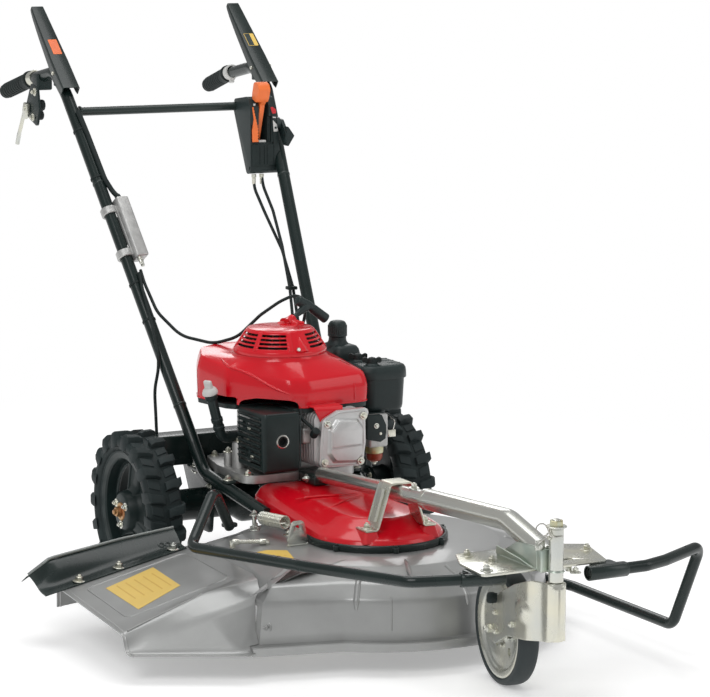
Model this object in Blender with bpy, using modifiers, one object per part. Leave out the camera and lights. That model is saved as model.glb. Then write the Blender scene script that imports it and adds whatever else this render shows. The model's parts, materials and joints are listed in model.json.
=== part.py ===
"""Wheeled brush cutter, modelled as separate pieces.

Metres, +Z up. The front with its caster is toward -Y and the driver's left is +X.
The pieces are drawn with the rear axle over x = 0, y = 0 and the ground at z = 0.
The last step moves the machine so that its box stands centred over the origin.
"""
import math

import bmesh
import bpy
from mathutils import Matrix, Vector

# Clearances
GAP = 0.0003            # between pieces that touch
RUN = 0.0005            # round a pin or a shaft that turns
SEAT = 0.00035          # round a faceted tube, measured at its corners

# Rear wheels and axle
WHEEL_R = 0.156         # over the lugs
LUG_HEIGHT = 0.0105
WHEEL_W = 0.074
TRACK = 0.543
RIM_R = 0.112
LUGS_PER_SIDE = 18
HUB_R = 0.034
AXLE_TUBE_R = 0.031
GEARBOX_R = 0.045

# Caster
PIVOT_Y = -1.120
PIVOT_TUBE_R = 0.0125
PIVOT_BOTTOM = 0.224
PIVOT_TOP = 0.316
SPINDLE_R = 0.008
TRAIL = 0.200
CASTER_R = 0.101
CASTER_W = 0.038
CASTER_RIM_R = 0.088
CASTER_TURN = math.radians(6.9)
CHEEK_T = 0.004
CHEEK_CLEAR = 0.006

# Deck
SPINDLE_Y = -0.484
DECK_R = 0.316
DECK_FLANGE = 0.016
DECK_FLANGE_Z = 0.058
DECK_LIP_Z = 0.042
DECK_CREASE_Z = 0.130
DECK_SHOULDER_Z = 0.154
DECK_TOP_Z = 0.170
SHEET_T = 0.0025
CHUTE_REACH = 0.555     # the chute's mouth, out from the middle

# Belt drive
BLADE_PULLEY_R = 0.055
ENGINE_PULLEY_R = 0.036
BELT_T = 0.008
BELT_H = 0.010
BELT_Z = 0.202
COVER_R = 0.124
COVER_TOP_Z = 0.2262
COVER_REAR_Y = -0.160
COVER_REAR_HALF = 0.106
HOUSING_T = 0.009
BLADE_LENGTH = 0.600
BLADE_W = 0.056
BLADE_T = 0.005
BLADE_Z = 0.082
SHAFT_R = 0.0125

# Engine
CRANK_Y = -0.080
PLATE_TOP_Z = 0.227
PLATE_T = 0.005
ENGINE_BASE_T = 0.016
CASE_R = 0.085
CASE_TOP_Z = 0.362
HEAD_X = 0.040
HEAD_W = 0.090
FIN_W = 0.128
FIN_T = 0.003
FINS = 7
FIN_PITCH = 0.0115
SHROUD_BOTTOM_Z = 0.369
SHROUD_FOLD_Z = 0.410
SHROUD_TOP_Z = 0.452
SHROUD_T = 0.0025
STARTER_R = 0.091
STARTER_TOP_R = 0.066
STARTER_RIM_Z = 0.4655
STARTER_TOP_Z = 0.510
STARTER_ROWS = 3
STARTER_RIBS = 7
GUARD_T = 0.002
GUARD_SLOTS = 9

# Frame and handles
TUBE_R = 0.0125
FRAME_HALF = 0.150      # half the distance between the frame tubes low down
HANDLE_SPREAD = 0.1133  # outward for each metre up
HANDLE_LEAN = 0.702     # rearward for each metre up
BEND_Y = -0.028
BEND_Z = 0.248
HANDLE_TOP_Z = 0.936
GRIP_R = 0.0155
GRIP_RIB = 0.0014
GRIP_RIBS = 8
GRIP_STEPS = 12
LEVER_LENGTH = 0.187
LEVER_TAIL = 0.060
LEVER_WIDTH = 0.037
LEVER_DEPTH = 0.024
LEVER_T = 0.002
LEVER_ANGLE = math.radians(40)
LEVER_PIVOT = (0.226, 0.4865, 0.9785)
LEVER_RISE = 0.016      # the web, out from the pin
PIN_R = 0.004
BUMPER_R = 0.010
NOSE_R = 0.019
SPINE_R = 0.015
STAY_Y = 0.556
NOSE_PLATE_Z = 0.242
NOSE_PLATE_T = 0.004

# Colours: base colour, roughness, metallic
BLACK = ((0.013, 0.026, 0.024), 0.42, 0.3)
RUBBER = ((0.020, 0.032, 0.032), 0.75, 0.0)
RED = ((0.60, 0.006, 0.020), 0.25, 0.1)
GREY = ((0.40, 0.41, 0.40), 0.38, 0.8)
ZINC = ((0.62, 0.63, 0.58), 0.30, 0.9)
CAST = ((0.55, 0.54, 0.52), 0.48, 0.85)
BLACK_PLASTIC = ((0.022, 0.034, 0.035), 0.5, 0.0)
ORANGE = ((0.85, 0.13, 0.03), 0.45, 0.0)
STEEL = ((0.45, 0.44, 0.42), 0.35, 1.0)

RIGHT = -1
LEFT = 1
SIDE_NAMES = {RIGHT: "right", LEFT: "left"}


def clear_scene():
    for obj in list(bpy.data.objects):
        bpy.data.objects.remove(obj, do_unlink=True)
    for name in ("wheeled_brush_cutter", "cutters"):
        collection = bpy.data.collections.new(name)
        bpy.context.scene.collection.children.link(collection)


def material_of(name, finish):
    colour, roughness, metallic = finish
    material = bpy.data.materials.new(name)
    material.use_nodes = True
    shader = material.node_tree.nodes["Principled BSDF"]
    shader.inputs["Base Color"].default_value = (*colour, 1.0)
    shader.inputs["Roughness"].default_value = roughness
    shader.inputs["Metallic"].default_value = metallic
    return material


def add(name, mesh, finish):
    """Makes an object: a piece of the machine, or a cutter where it has no finish."""
    obj = bpy.data.objects.new(name, mesh)
    if finish is None:
        bpy.data.collections["cutters"].objects.link(obj)
        obj.hide_render = True
        obj.display_type = "WIRE"
    else:
        bpy.data.collections["wheeled_brush_cutter"].objects.link(obj)
        mesh.materials.append(material_of(name, finish))
    return obj


def mesh_from(name, bm):
    bmesh.ops.recalc_face_normals(bm, faces=bm.faces)
    mesh = bpy.data.meshes.new(name)
    bm.to_mesh(mesh)
    bm.free()
    return mesh


def bevel(obj, width, segments=1, angle=40):
    modifier = obj.modifiers.new("edges", "BEVEL")
    modifier.width = width
    modifier.segments = segments
    modifier.limit_method = "ANGLE"
    modifier.angle_limit = math.radians(angle)
    return obj


def boolean(obj, operation, tools):
    for tool in tools:
        modifier = obj.modifiers.new(operation.lower(), "BOOLEAN")
        modifier.operation = operation
        modifier.solver = "EXACT"
        modifier.object = tool
    return obj


def cut(obj, *tools):
    return boolean(obj, "DIFFERENCE", tools)


def join(obj, *tools):
    return boolean(obj, "UNION", tools)


def block(name, low, high, finish=None, edge=0.0, segments=1):
    """A box between two corners."""
    low, high = Vector(low), Vector(high)
    bm = bmesh.new()
    bmesh.ops.create_cube(bm, size=1.0)
    bmesh.ops.scale(bm, vec=high - low, verts=bm.verts)
    obj = add(name, mesh_from(name, bm), finish)
    obj.location = (low + high) / 2
    return bevel(obj, edge, segments) if edge else obj


def aim(direction):
    """The turn that takes local +Z to a direction."""
    return Vector(direction).to_track_quat("Z", "Y").to_matrix().to_4x4()


def rod(name, start, end, radius, finish=None, sides=16, end_radius=None):
    start, end = Vector(start), Vector(end)
    bm = bmesh.new()
    bmesh.ops.create_cone(bm, cap_ends=True, segments=sides, radius1=radius,
                          radius2=radius if end_radius is None else end_radius, depth=(end - start).length)
    obj = add(name, mesh_from(name, bm), finish)
    obj.matrix_world = Matrix.Translation((start + end) / 2) @ aim(end - start)
    return obj


def turned(name, profile, finish=None, centre=(0, 0, 0), axis=(0, 0, 1), steps=24, closed=False):
    """A lathe shape: (radius, height) points that run top to bottom down the outer side."""
    bm = bmesh.new()
    verts = [bm.verts.new((radius, 0, height)) for radius, height in profile]
    for one, two in zip(verts, verts[1:]):
        bm.edges.new((one, two))
    if closed:
        bm.edges.new((verts[-1], verts[0]))
    mesh = bpy.data.meshes.new(name)
    bm.to_mesh(mesh)
    bm.free()
    obj = add(name, mesh, finish)
    screw = obj.modifiers.new("turn", "SCREW")
    screw.axis = "Z"
    screw.angle = math.tau
    screw.steps = steps
    screw.render_steps = steps
    screw.use_merge_vertices = True
    screw.merge_threshold = 0.00001
    obj.matrix_world = Matrix.Translation(centre) @ aim(axis)
    return obj


def as_mesh(name, curve, finish, matrix=None):
    """Turns a curve into a welded mesh object, so that it can be cut and joined."""
    obj = bpy.data.objects.new(name + "_curve", curve)
    bpy.context.scene.collection.objects.link(obj)
    mesh = bpy.data.meshes.new_from_object(obj.evaluated_get(bpy.context.evaluated_depsgraph_get()))
    bpy.data.objects.remove(obj, do_unlink=True)
    bm = bmesh.new()
    bm.from_mesh(mesh)
    bpy.data.meshes.remove(mesh)
    bmesh.ops.remove_doubles(bm, verts=bm.verts, dist=0.00001)
    result = add(name, mesh_from(name, bm), finish)
    if matrix is not None:
        result.matrix_world = matrix
    return result


def tube(name, points, radius, finish=None, roundness=3):
    """A tube along straight runs between points. Roundness 1 has 6 sides and each step adds 2."""
    curve = bpy.data.curves.new(name, "CURVE")
    curve.dimensions = "3D"
    curve.bevel_depth = radius
    curve.bevel_resolution = roundness
    curve.use_fill_caps = True
    spline = curve.splines.new("POLY")
    spline.points.add(len(points) - 1)
    for point, place in zip(spline.points, points):
        point.co = (*place, 1.0)
    return as_mesh(name, curve, finish)


def plate(name, outline, thickness, finish=None, matrix=None, holes=()):
    """A flat sheet: an outline in local X and Y, its thickness along local Z about the middle."""
    curve = bpy.data.curves.new(name, "CURVE")
    curve.dimensions = "2D"
    curve.fill_mode = "BOTH"
    curve.extrude = thickness / 2
    for loop in (outline, *holes):
        spline = curve.splines.new("POLY")
        spline.points.add(len(loop) - 1)
        for point, (x, y) in zip(spline.points, loop):
            point.co = (x, y, 0.0, 1.0)
        spline.use_cyclic_u = True
    return as_mesh(name, curve, finish, matrix)


def circle(radius, centre=(0.0, 0.0), count=16, start=0.0, sweep=math.tau):
    whole = abs(sweep - math.tau) < 1e-6
    steps = count if whole else count - 1
    angles = (start + sweep * i / steps for i in range(count))
    return [(centre[0] + radius * math.cos(a), centre[1] + radius * math.sin(a)) for a in angles]


def fillet(points, radius, steps=4, closed=False):
    """Rounds the corners of a path, which may lie in a plane or in space."""
    path = [Vector(p) for p in points]
    count = len(path)
    result = []
    for i, corner in enumerate(path):
        if not closed and i in (0, count - 1):
            result.append(corner)
            continue
        back = path[i - 1] - corner
        ahead = path[(i + 1) % count] - corner
        half = back.angle(ahead) / 2
        reach = min(radius / math.tan(half), 0.48 * back.length, 0.48 * ahead.length)
        real = reach * math.tan(half)
        middle = corner + (back.normalized() + ahead.normalized()).normalized() * real / math.sin(half)
        first = corner + back.normalized() * reach - middle
        last = corner + ahead.normalized() * reach - middle
        for k in range(steps + 1):
            between = first.lerp(last, k / steps)
            result.append(middle + between.normalized() * real)
    return [tuple(p) for p in result]


def loft(name, rings, finish=None, cap_start=True, cap_end=True, closed=True):
    """Skins rings of equal point counts. An open skin gets its thickness from Solidify."""
    bm = bmesh.new()
    loops = [[bm.verts.new(p) for p in ring] for ring in rings]
    count = len(rings[0])
    for one, two in zip(loops, loops[1:]):
        for i in range(count if closed else count - 1):
            j = (i + 1) % count
            bm.faces.new((one[i], one[j], two[j], two[i]))
    if cap_start:
        bm.faces.new(loops[0])
    if cap_end:
        bm.faces.new(loops[-1])
    return add(name, mesh_from(name, bm), finish)


def thicken(obj, thickness, offset=-1.0):
    modifier = obj.modifiers.new("sheet", "SOLIDIFY")
    modifier.thickness = thickness
    modifier.offset = offset
    modifier.use_even_offset = True
    return obj


def inset(outline, distance):
    """Moves the edges of a plan outline, which runs anticlockwise, inward by a distance."""
    count = len(outline)
    result = []
    for i, (x, y) in enumerate(outline):
        ax, ay = outline[i - 1]
        bx, by = outline[(i + 1) % count]
        first = Vector((ay - y, x - ax)).normalized()
        second = Vector((y - by, bx - x)).normalized()
        middle = (first + second).normalized()
        move = middle * distance / middle.dot(first)
        result.append((x + move.x, y + move.y))
    return result


def at_height(outline, z):
    return [(x, y, z) for x, y in outline]


def by_angle(corners, centre, count):
    """Reads a plan outline at equal angles round a centre, anticlockwise."""
    result = []
    for i in range(count):
        angle = math.tau * i / count
        ray = Vector((math.cos(angle), math.sin(angle)))
        best = None
        for k, corner in enumerate(corners):
            one = Vector(corners[k - 1]) - Vector(centre)
            edge = Vector(corner) - Vector(centre) - one
            bottom = ray.x * edge.y - ray.y * edge.x
            if abs(bottom) < 1e-9:
                continue
            far = (one.x * edge.y - one.y * edge.x) / bottom
            along = (one.x * ray.y - one.y * ray.x) / bottom
            if far > 0 and -1e-6 <= along <= 1 + 1e-6 and (best is None or far > best):
                best = far
        result.append((centre[0] + ray.x * best, centre[1] + ray.y * best))
    return result


# Rear axle and wheels

def wheel_centre(side):
    return Vector((side * TRACK / 2, 0, WHEEL_R))


def lug_set(name, side):
    """Tapered lugs that lie across each half of the tread, the halves half a pitch apart."""
    bm = bmesh.new()
    foot_r = WHEEL_R - LUG_HEIGHT - 0.004
    for half in (-1, 1):
        for i in range(LUGS_PER_SIDE):
            angle = math.tau * (i + 0.25 * (half + 1)) / LUGS_PER_SIDE
            corners = []
            for radius, reach, wide in ((foot_r, 0.0385, 0.0105), (WHEEL_R, 0.0355, 0.0075)):
                for across, lean in ((0.004, 0.006), (reach, -0.006)):
                    for edge in (-wide, wide):
                        corners.append(bm.verts.new((radius, edge + lean, half * across)))
            quads = ((0, 1, 3, 2), (4, 6, 7, 5), (0, 4, 5, 1), (2, 3, 7, 6), (0, 2, 6, 4), (1, 5, 7, 3))
            for quad in quads:
                bm.faces.new([corners[q] for q in quad])
            bmesh.ops.rotate(bm, verts=corners, cent=(0, 0, 0), matrix=Matrix.Rotation(angle, 3, "Z"))
    obj = add(name, mesh_from(name, bm), None)
    obj.matrix_world = Matrix.Translation(wheel_centre(side)) @ aim((1, 0, 0))
    return obj


def rear_wheel(side):
    tag = SIDE_NAMES[side]
    centre = wheel_centre(side)
    half = WHEEL_W / 2
    tread = WHEEL_R - LUG_HEIGHT
    inner = RIM_R + GAP
    profile = [(inner, half * 0.74), (inner + 0.010, half), (tread - 0.012, half), (tread, half * 0.55),
               (tread, -half * 0.55), (tread - 0.012, -half), (inner + 0.010, -half), (inner, -half * 0.74)]
    tyre = turned("tyre_" + tag, profile, RUBBER, centre, (1, 0, 0), 24, closed=True)
    join(tyre, lug_set("lugs_" + tag, side))

    hub_half = 0.034
    disc = 0.007
    rim_in = RIM_R - 0.012
    profile = [(0, hub_half + 0.012), (0.013, hub_half + 0.012), (0.013, hub_half), (HUB_R, hub_half),
               (HUB_R + 0.006, disc), (rim_in, disc), (rim_in + 0.004, half * 0.72),
               (RIM_R, half * 0.72), (RIM_R, -half * 0.72), (rim_in + 0.004, -half * 0.72),
               (rim_in, -disc * 0.4),
               (HUB_R + 0.006, -disc * 0.4), (HUB_R, -hub_half), (0, -hub_half)]
    rim = turned("rim_" + tag, profile, BLACK, centre, (side, 0, 0), 24)
    for k in range(3):
        turn = math.tau * k / 3 + 0.3
        corners = []
        for angle, radius in ((-0.62, rim_in - 0.006), (0.62, rim_in - 0.006), (0.0, HUB_R + 0.012)):
            corners.append((radius * math.cos(turn + angle), radius * math.sin(turn + angle)))
        arc = circle(rim_in - 0.006, count=5, start=turn - 0.62, sweep=1.24)
        opening = fillet([*arc, corners[2]], 0.008, 2, closed=True)
        matrix = Matrix.Translation(centre) @ aim((side, 0, 0))
        cut(rim, plate("spoke_opening_%s_%d" % (tag, k), opening, 0.05, None, matrix))


def axle_housing():
    """The axle tubes with the gearbox bulge between them and a flange by each wheel."""
    end = TRACK / 2 - 0.034 - GAP
    body, flange = 0.052, 0.042
    profile = [(0, end), (flange, end), (flange, end - 0.010), (AXLE_TUBE_R, end - 0.014),
               (AXLE_TUBE_R, body + 0.02),
               (GEARBOX_R, body), (GEARBOX_R, -body), (AXLE_TUBE_R, -body - 0.02),
               (AXLE_TUBE_R, 0.014 - end), (flange, 0.010 - end), (flange, -end), (0, -end)]
    turned("axle_housing", profile, BLACK, (0, 0, WHEEL_R), (1, 0, 0), 18)


def rear_beam():
    """The box beam behind the engine, with the two plates that hold the axle housing."""
    beam = block("rear_beam", (-0.222, 0.052, 0.224), (0.222, 0.108, 0.284), BLACK, 0.004)
    side = fillet([(-0.030, 0.100), (0.034, 0.100), (0.106, 0.226), (0.106, 0.282), (0.056, 0.282),
                   (-0.045, 0.200)],
                  0.012, 2, closed=True)
    for sign in (-1, 1):
        x = sign * 0.127
        matrix = Matrix(((0, 0, 1, x), (1, 0, 0, 0), (0, 1, 0, 0), (0, 0, 0, 1)))
        join(beam, plate("side_plate_%d" % sign, side, 0.006, None, matrix))
    cut(beam, rod("axle_clearance", (-0.14, 0, WHEEL_R), (0.14, 0, WHEEL_R), AXLE_TUBE_R + RUN + GAP,
                  sides=18))


# Frame tubes and handles

def handle_point(side, z):
    rise = z - BEND_Z
    return Vector((side * (FRAME_HALF + HANDLE_SPREAD * rise), BEND_Y + HANDLE_LEAN * rise, z))


def grip_line(side):
    """Where the grip's sleeve starts and ends on the tube."""
    return Vector((side * 0.230, 0.652, 0.957)), Vector((side * 0.239, 0.779, 0.925))


def frame_path(side):
    start, end = grip_line(side)
    corners = [(side * 0.118, -0.262, DECK_TOP_Z + TUBE_R + 0.0005), (side * 0.142, -0.130, 0.212),
               (side * FRAME_HALF, BEND_Y - 0.022, 0.226), handle_point(side, BEND_Z + 0.030),
               handle_point(side, HANDLE_TOP_Z), (side * 0.2275, 0.520, 0.979), start, end]
    return fillet(corners, 0.055, 3)


def longer(path, extra=0.001):
    """The same path, run on at both ends, for a seat that also clears the tube's ends."""
    path = [Vector(p) for p in path]
    first = path[0] + (path[0] - path[1]).normalized() * extra
    last = path[-1] + (path[-1] - path[-2]).normalized() * extra
    return [first, *path[1:-1], last]


def frame_seat(name, side):
    return tube(name, longer(frame_path(side)), TUBE_R + SEAT, None, 3)


def frame_tubes():
    for side in (RIGHT, LEFT):
        tube("frame_tube_" + SIDE_NAMES[side], frame_path(side), TUBE_R, BLACK, 3)


BAR_R = 0.009
BAR_Z = 0.902


def cross_bar_path():
    inward = Vector((TUBE_R + GAP + 0.0012, 0, 0))
    return [handle_point(RIGHT, BAR_Z) + inward, handle_point(LEFT, BAR_Z) - inward]


def cross_bar():
    tube("cross_bar", cross_bar_path(), BAR_R, BLACK, 3)


def grips():
    for side in (RIGHT, LEFT):
        start, end = grip_line(side)
        direction = (end - start).normalized()
        length = (end - start).length + 0.006
        bore = (TUBE_R + GAP) / math.cos(math.pi / GRIP_STEPS)
        profile = [(0, length)]
        profile += [(GRIP_R - 0.004, length), (GRIP_R, length - 0.003)]
        ribbed = length - 0.020
        pitch = ribbed / GRIP_RIBS
        for k in range(GRIP_RIBS):
            top = length - 0.006 - k * pitch
            profile += [(GRIP_R, top), (GRIP_R + GRIP_RIB, top - pitch * 0.5)]
        profile += [(GRIP_R, length - 0.006 - ribbed), (GRIP_R + 0.003, 0.006), (GRIP_R + 0.003, 0),
                    (bore, 0), (bore, length - 0.006 + GAP), (0, length - 0.006 + GAP)]
        turned("grip_" + SIDE_NAMES[side], profile, RUBBER, start, direction, GRIP_STEPS)


def channel_section():
    half = LEVER_WIDTH / 2
    low = LEVER_RISE - LEVER_DEPTH
    high = LEVER_RISE
    t = LEVER_T
    return [(-half, low), (-half, high), (half, high), (half, low), (half - t, low), (half - t, high - t),
            (-half + t, high - t), (-half + t, low)]


def channel_lever(side, name):
    """A long bent-sheet lever, open toward the grip, that turns on a pin over the tube's top bend."""
    pivot = Vector((side * LEVER_PIVOT[0], LEVER_PIVOT[1], LEVER_PIVOT[2]))
    along = Vector((0, math.cos(LEVER_ANGLE), math.sin(LEVER_ANGLE)))
    out = Vector((0, -math.sin(LEVER_ANGLE), math.cos(LEVER_ANGLE)))
    rings = []
    for reach, wide, taper in ((-LEVER_TAIL, 1.0, 0.80), (-LEVER_TAIL * 0.4, 1.0, 1.0),
                               (LEVER_LENGTH * 0.12, 1.0, 1.0),
                               (LEVER_LENGTH * 0.60, 0.86, 0.80), (LEVER_LENGTH - 0.014, 0.76, 0.55),
                               (LEVER_LENGTH, 0.72, 0.35)):
        ring = []
        for x, v in channel_section():
            place = pivot + along * reach + out * (LEVER_RISE + (v - LEVER_RISE) * taper)
            ring.append(tuple(place + Vector((x * wide, 0, 0))))
        rings.append(ring)
    lever = loft(name, rings, BLACK)
    hole = LEVER_WIDTH
    cut(lever, rod(name + "_hole", pivot - Vector((hole, 0, 0)), pivot + Vector((hole, 0, 0)), PIN_R + RUN,
                   sides=12))


def lever_saddle(side):
    """The block on the tube's bend that carries the lever's pin."""
    tag = SIDE_NAMES[side]
    pivot = Vector((side * LEVER_PIVOT[0], LEVER_PIVOT[1], LEVER_PIVOT[2]))
    half = LEVER_WIDTH / 2 - LEVER_T - 0.0015
    saddle = block("lever_saddle_" + tag, pivot - Vector((half, 0.007, 0.026)),
                   pivot + Vector((half, 0.007, 0.0)), BLACK)
    join(saddle, rod("saddle_eye_" + tag, pivot - Vector((half - 0.0004, 0, 0)),
                     pivot + Vector((half - 0.0004, 0, 0)), 0.0078,
                     sides=14))
    reach = LEVER_WIDTH / 2 + 0.003
    join(saddle, rod("lever_pin_" + tag, pivot - Vector((reach, 0, 0)), pivot + Vector((reach, 0, 0)), PIN_R,
                     sides=12))
    cut(saddle, frame_seat("saddle_seat_" + tag, side))


HAND_PIVOT = (-0.2515, 0.628, 0.898)


def hand_lever():
    """The bracket under the right grip and the small silver lever that turns on it."""
    x = HAND_PIVOT[0] + 0.0075
    outline = fillet([(0.575, 0.945), (0.612, 0.951), (0.642, 0.905), (0.632, 0.878), (0.580, 0.862),
                      (0.566, 0.900)],
                     0.008, 2, closed=True)
    matrix = Matrix(((0, 0, 1, x), (1, 0, 0, 0), (0, 1, 0, 0), (0, 0, 0, 1)))
    bracket = plate("lever_bracket", outline, 0.005, BLACK, matrix)
    clamp = block("bracket_clamp", (-0.2455, 0.575, 0.938), (-0.2115, 0.607, 0.973), None, 0.003)
    join(bracket, clamp, rod("hand_pin", (x, *HAND_PIVOT[1:]), (HAND_PIVOT[0] - 0.007, *HAND_PIVOT[1:]),
                             0.0035, sides=10))
    cut(bracket, frame_seat("clamp_seat", RIGHT))

    blade = fillet([(-0.012, 0.008), (0.006, 0.013), (0.014, -0.004), (0.030, -0.030), (0.062, -0.078),
                    (0.054, -0.086),
                    (0.030, -0.062), (0.006, -0.028), (-0.010, -0.008)], 0.006, 2, closed=True)
    outline = [(HAND_PIVOT[1] + y, HAND_PIVOT[2] + z) for y, z in blade]
    hole = circle(0.0035 + RUN, HAND_PIVOT[1:], 10)
    matrix = Matrix(((0, 0, 1, HAND_PIVOT[0]), (1, 0, 0, 0), (0, 1, 0, 0), (0, 0, 0, 1)))
    plate("hand_lever", outline, 0.008, ZINC, matrix, [hole])


# Console on the left handle

GEAR_PIVOT = (0.163, 0.392, 0.805)
THROTTLE_PIVOT = (0.2155, 0.362, 0.868)
CONSOLE_LOW_X = 0.141
CONSOLE_W = 0.0705


def side_plane(x):
    """Local X to world Y, local Y to world Z, at a distance to the side."""
    return Matrix(((0, 0, 1, x), (1, 0, 0, 0), (0, 1, 0, 0), (0, 0, 0, 1)))


def console():
    outline = fillet([(0.372, 0.763), (0.352, 0.766), (0.352, 0.905), (0.366, 0.926), (0.430, 0.918),
                      (0.438, 0.900)],
                     0.008, 3, closed=True)
    box = plate("console", outline, CONSOLE_W, BLACK_PLASTIC, side_plane(CONSOLE_LOW_X + CONSOLE_W / 2))
    bevel(box, 0.003, 1)
    cut(box, frame_seat("console_seat", LEFT))
    x, y, z = GEAR_PIVOT
    slot = block("gear_slot", (x - 0.005, y - 0.060, z - 0.013), (x + 0.005, y + 0.020, 0.960))
    cut(box, slot, tube("bar_seat", longer(cross_bar_path()), BAR_R + SEAT, None, 3))
    pin = rod("gear_pin", (x - 0.012, y, z), (x + 0.012, y, z), PIN_R, sides=10)
    side = CONSOLE_LOW_X + CONSOLE_W
    knob_pin = rod("throttle_pin", (side - 0.008, *THROTTLE_PIVOT[1:]), (side + 0.010, *THROTTLE_PIVOT[1:]),
                   PIN_R, sides=10)
    join(box, pin, knob_pin)

    lean = Vector((-0.05, 0.142)).normalized()
    across = Vector((lean.y, -lean.x))
    stem = [(-0.006, 0.007), (0.112, 0.0065), (0.124, 0.0125), (0.156, 0.0135), (0.160, -0.004),
            (0.152, -0.0165),
            (0.128, -0.0165), (0.112, -0.0065), (-0.006, -0.007)]
    shape = []
    for far, wide in stem:
        place = lean * far + across * wide
        shape.append((y + place.x, z + place.y))
    plate("gear_lever", fillet(shape, 0.005, 2, closed=True), 0.008, ORANGE, side_plane(x),
          [circle(PIN_R + RUN, (y, z), 10)])

    x, y, z = THROTTLE_PIVOT
    shape = [(y + 0.006, z + 0.010), (y - 0.008, z + 0.008), (y - 0.034, z - 0.020), (y - 0.036, z - 0.040),
             (y - 0.020, z - 0.044), (y + 0.005, z - 0.012)]
    plate("throttle_lever", fillet(shape, 0.004, 2, closed=True), 0.0070, BLACK_PLASTIC, side_plane(x),
          [circle(PIN_R + RUN, (y, z), 10)])


def cable_box():
    """The cast box clamped to the right tube, where the cables meet."""
    low = handle_point(RIGHT, 0.612)
    high = handle_point(RIGHT, 0.725)
    along = (high - low).normalized()
    seat = frame_seat("cable_box_seat", RIGHT)
    body = block("cable_box", (0, 0, 0), (0.028, 0.032, (high - low).length), CAST, 0.004)
    across = Vector((1, 0, 0))
    forward = along.cross(across).normalized()
    body.matrix_world = Matrix.Translation((low + high) / 2 + across * 0.024 - forward * 0.012) @ aim(along)
    for k, share in enumerate((-0.38, 0.34)):
        clamp = turned("cable_clamp_%d" % k, [(0.0175, 0.008), (0.0175, -0.008), (0.006, -0.008),
                                              (0.006, 0.008)], None,
                       (low + high) / 2 + along * share * (high - low).length, along, 16, closed=True)
        join(body, clamp)
    cut(body, seat)


CABLE_R = 0.0032


def cables():
    """Each control cable along its whole route, as it is clipped to the tubes."""
    def beside(side, z, out, fore):
        return handle_point(side, z) + Vector((out, fore, 0))
    clear = TUBE_R + CABLE_R + 0.006
    box_low = handle_point(RIGHT, 0.612)
    beam_top = 0.284 + GAP
    routes = [
        [box_low + Vector((0.022, -0.014, -0.016)), beside(RIGHT, 0.574, 0.012, -0.020),
         beside(RIGHT, 0.520, 0.016, -clear), (-0.128, 0.110, 0.474), (-0.085, 0.046, 0.464),
         (-0.045, 0.020, 0.478),
         (0.000, 0.010, 0.520), (0.040, 0.005, 0.545), (0.078, 0.012, 0.556), (0.112, 0.034, 0.540),
         (0.125, 0.064, 0.500), (0.112, 0.078, 0.440), (0.100, 0.072, 0.370), (0.085, 0.036, 0.290),
         (0.084, 0.028, 0.262), (0.084, 0.028, PLATE_TOP_Z + ENGINE_BASE_T + 2 * GAP)],
        [box_low + Vector((0.012, -0.031, -0.018)), beside(RIGHT, 0.566, 0.003, -clear),
         beside(RIGHT, 0.500, -0.004, -clear), beside(RIGHT, 0.430, -0.016, -0.020), (-0.188, 0.105, 0.370),
         (-0.190, 0.095, 0.320), (-0.190, 0.092, beam_top)],
        [(0.153, 0.362, 0.7620), (0.153, 0.361, 0.735), (0.165, 0.335, 0.685), (0.176, 0.275, 0.612),
         (0.172, 0.215, 0.540), (0.158, 0.150, 0.440), (0.146, 0.108, 0.350), (0.142, 0.096, 0.310),
         (0.142, 0.094, beam_top)],
        [(0.171, 0.362, 0.7620), (0.172, 0.357, 0.738), (0.176, 0.318, 0.690), (0.170, 0.262, 0.622),
         (0.160, 0.205, 0.540), (0.142, 0.145, 0.440), (0.130, 0.104, 0.350), (0.126, 0.092, 0.310),
         (0.126, 0.090, beam_top)],
    ]
    clips = {RIGHT: handle_point(RIGHT, 0.570) + Vector((0.0075, -0.0215, 0)),
             LEFT: Vector((0.166, 0.210, 0.540))}
    for side in (RIGHT, LEFT):
        tag = SIDE_NAMES[side]
        pair = routes[:2] if side == RIGHT else routes[2:]
        bundle = tube("cables_" + tag, fillet(pair[0], 0.04, 1), CABLE_R, RUBBER, 1)
        other = tube("second_cable_" + tag, fillet(pair[1], 0.04, 1), CABLE_R, None, 1)
        reach = Vector((0.0105, 0.0028 if side == RIGHT else 0.009, 0.004))
        join(bundle, other, block("cable_clip_" + tag, clips[side] - reach, clips[side] + reach))


# Deck, chute and deflector

def deck_outline():
    """The plan of the deck, anticlockwise: a round pan with a straight wall each side of the chute."""
    centre = (0.0, SPINDLE_Y)
    rear_angle = math.radians(130)
    front_angle = math.radians(-128)
    round_part = circle(DECK_R, centre, 25, front_angle, rear_angle - front_angle)
    rear_corner = (-0.292, SPINDLE_Y + 0.196)
    front_corner = (-0.338, SPINDLE_Y - 0.214)
    side = [tuple(Vector(rear_corner).lerp(Vector(front_corner), k / 4)) for k in range(5)]
    return [*round_part, *side]


def deck():
    outline = deck_outline()
    rings = [at_height(inset(outline, -DECK_FLANGE - 0.002), DECK_LIP_Z),
             at_height(inset(outline, -DECK_FLANGE), DECK_FLANGE_Z),
             at_height(outline, DECK_FLANGE_Z),
             at_height(inset(outline, 0.008), DECK_CREASE_Z),
             at_height(inset(outline, 0.034), DECK_SHOULDER_Z),
             at_height(inset(outline, 0.090), DECK_TOP_Z)]
    pan = loft("deck", rings, GREY, cap_start=False, cap_end=True)
    thicken(pan, SHEET_T)
    mouth = block("discharge_mouth", (-0.42, SPINDLE_Y - 0.185, 0.030), (-0.268, SPINDLE_Y + 0.165, 0.120))
    cut(pan, mouth)
    cut(pan, rod("spindle_hole", (0, SPINDLE_Y, 0.12), (0, SPINDLE_Y, 0.20), 0.032 + GAP, sides=20))


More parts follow.
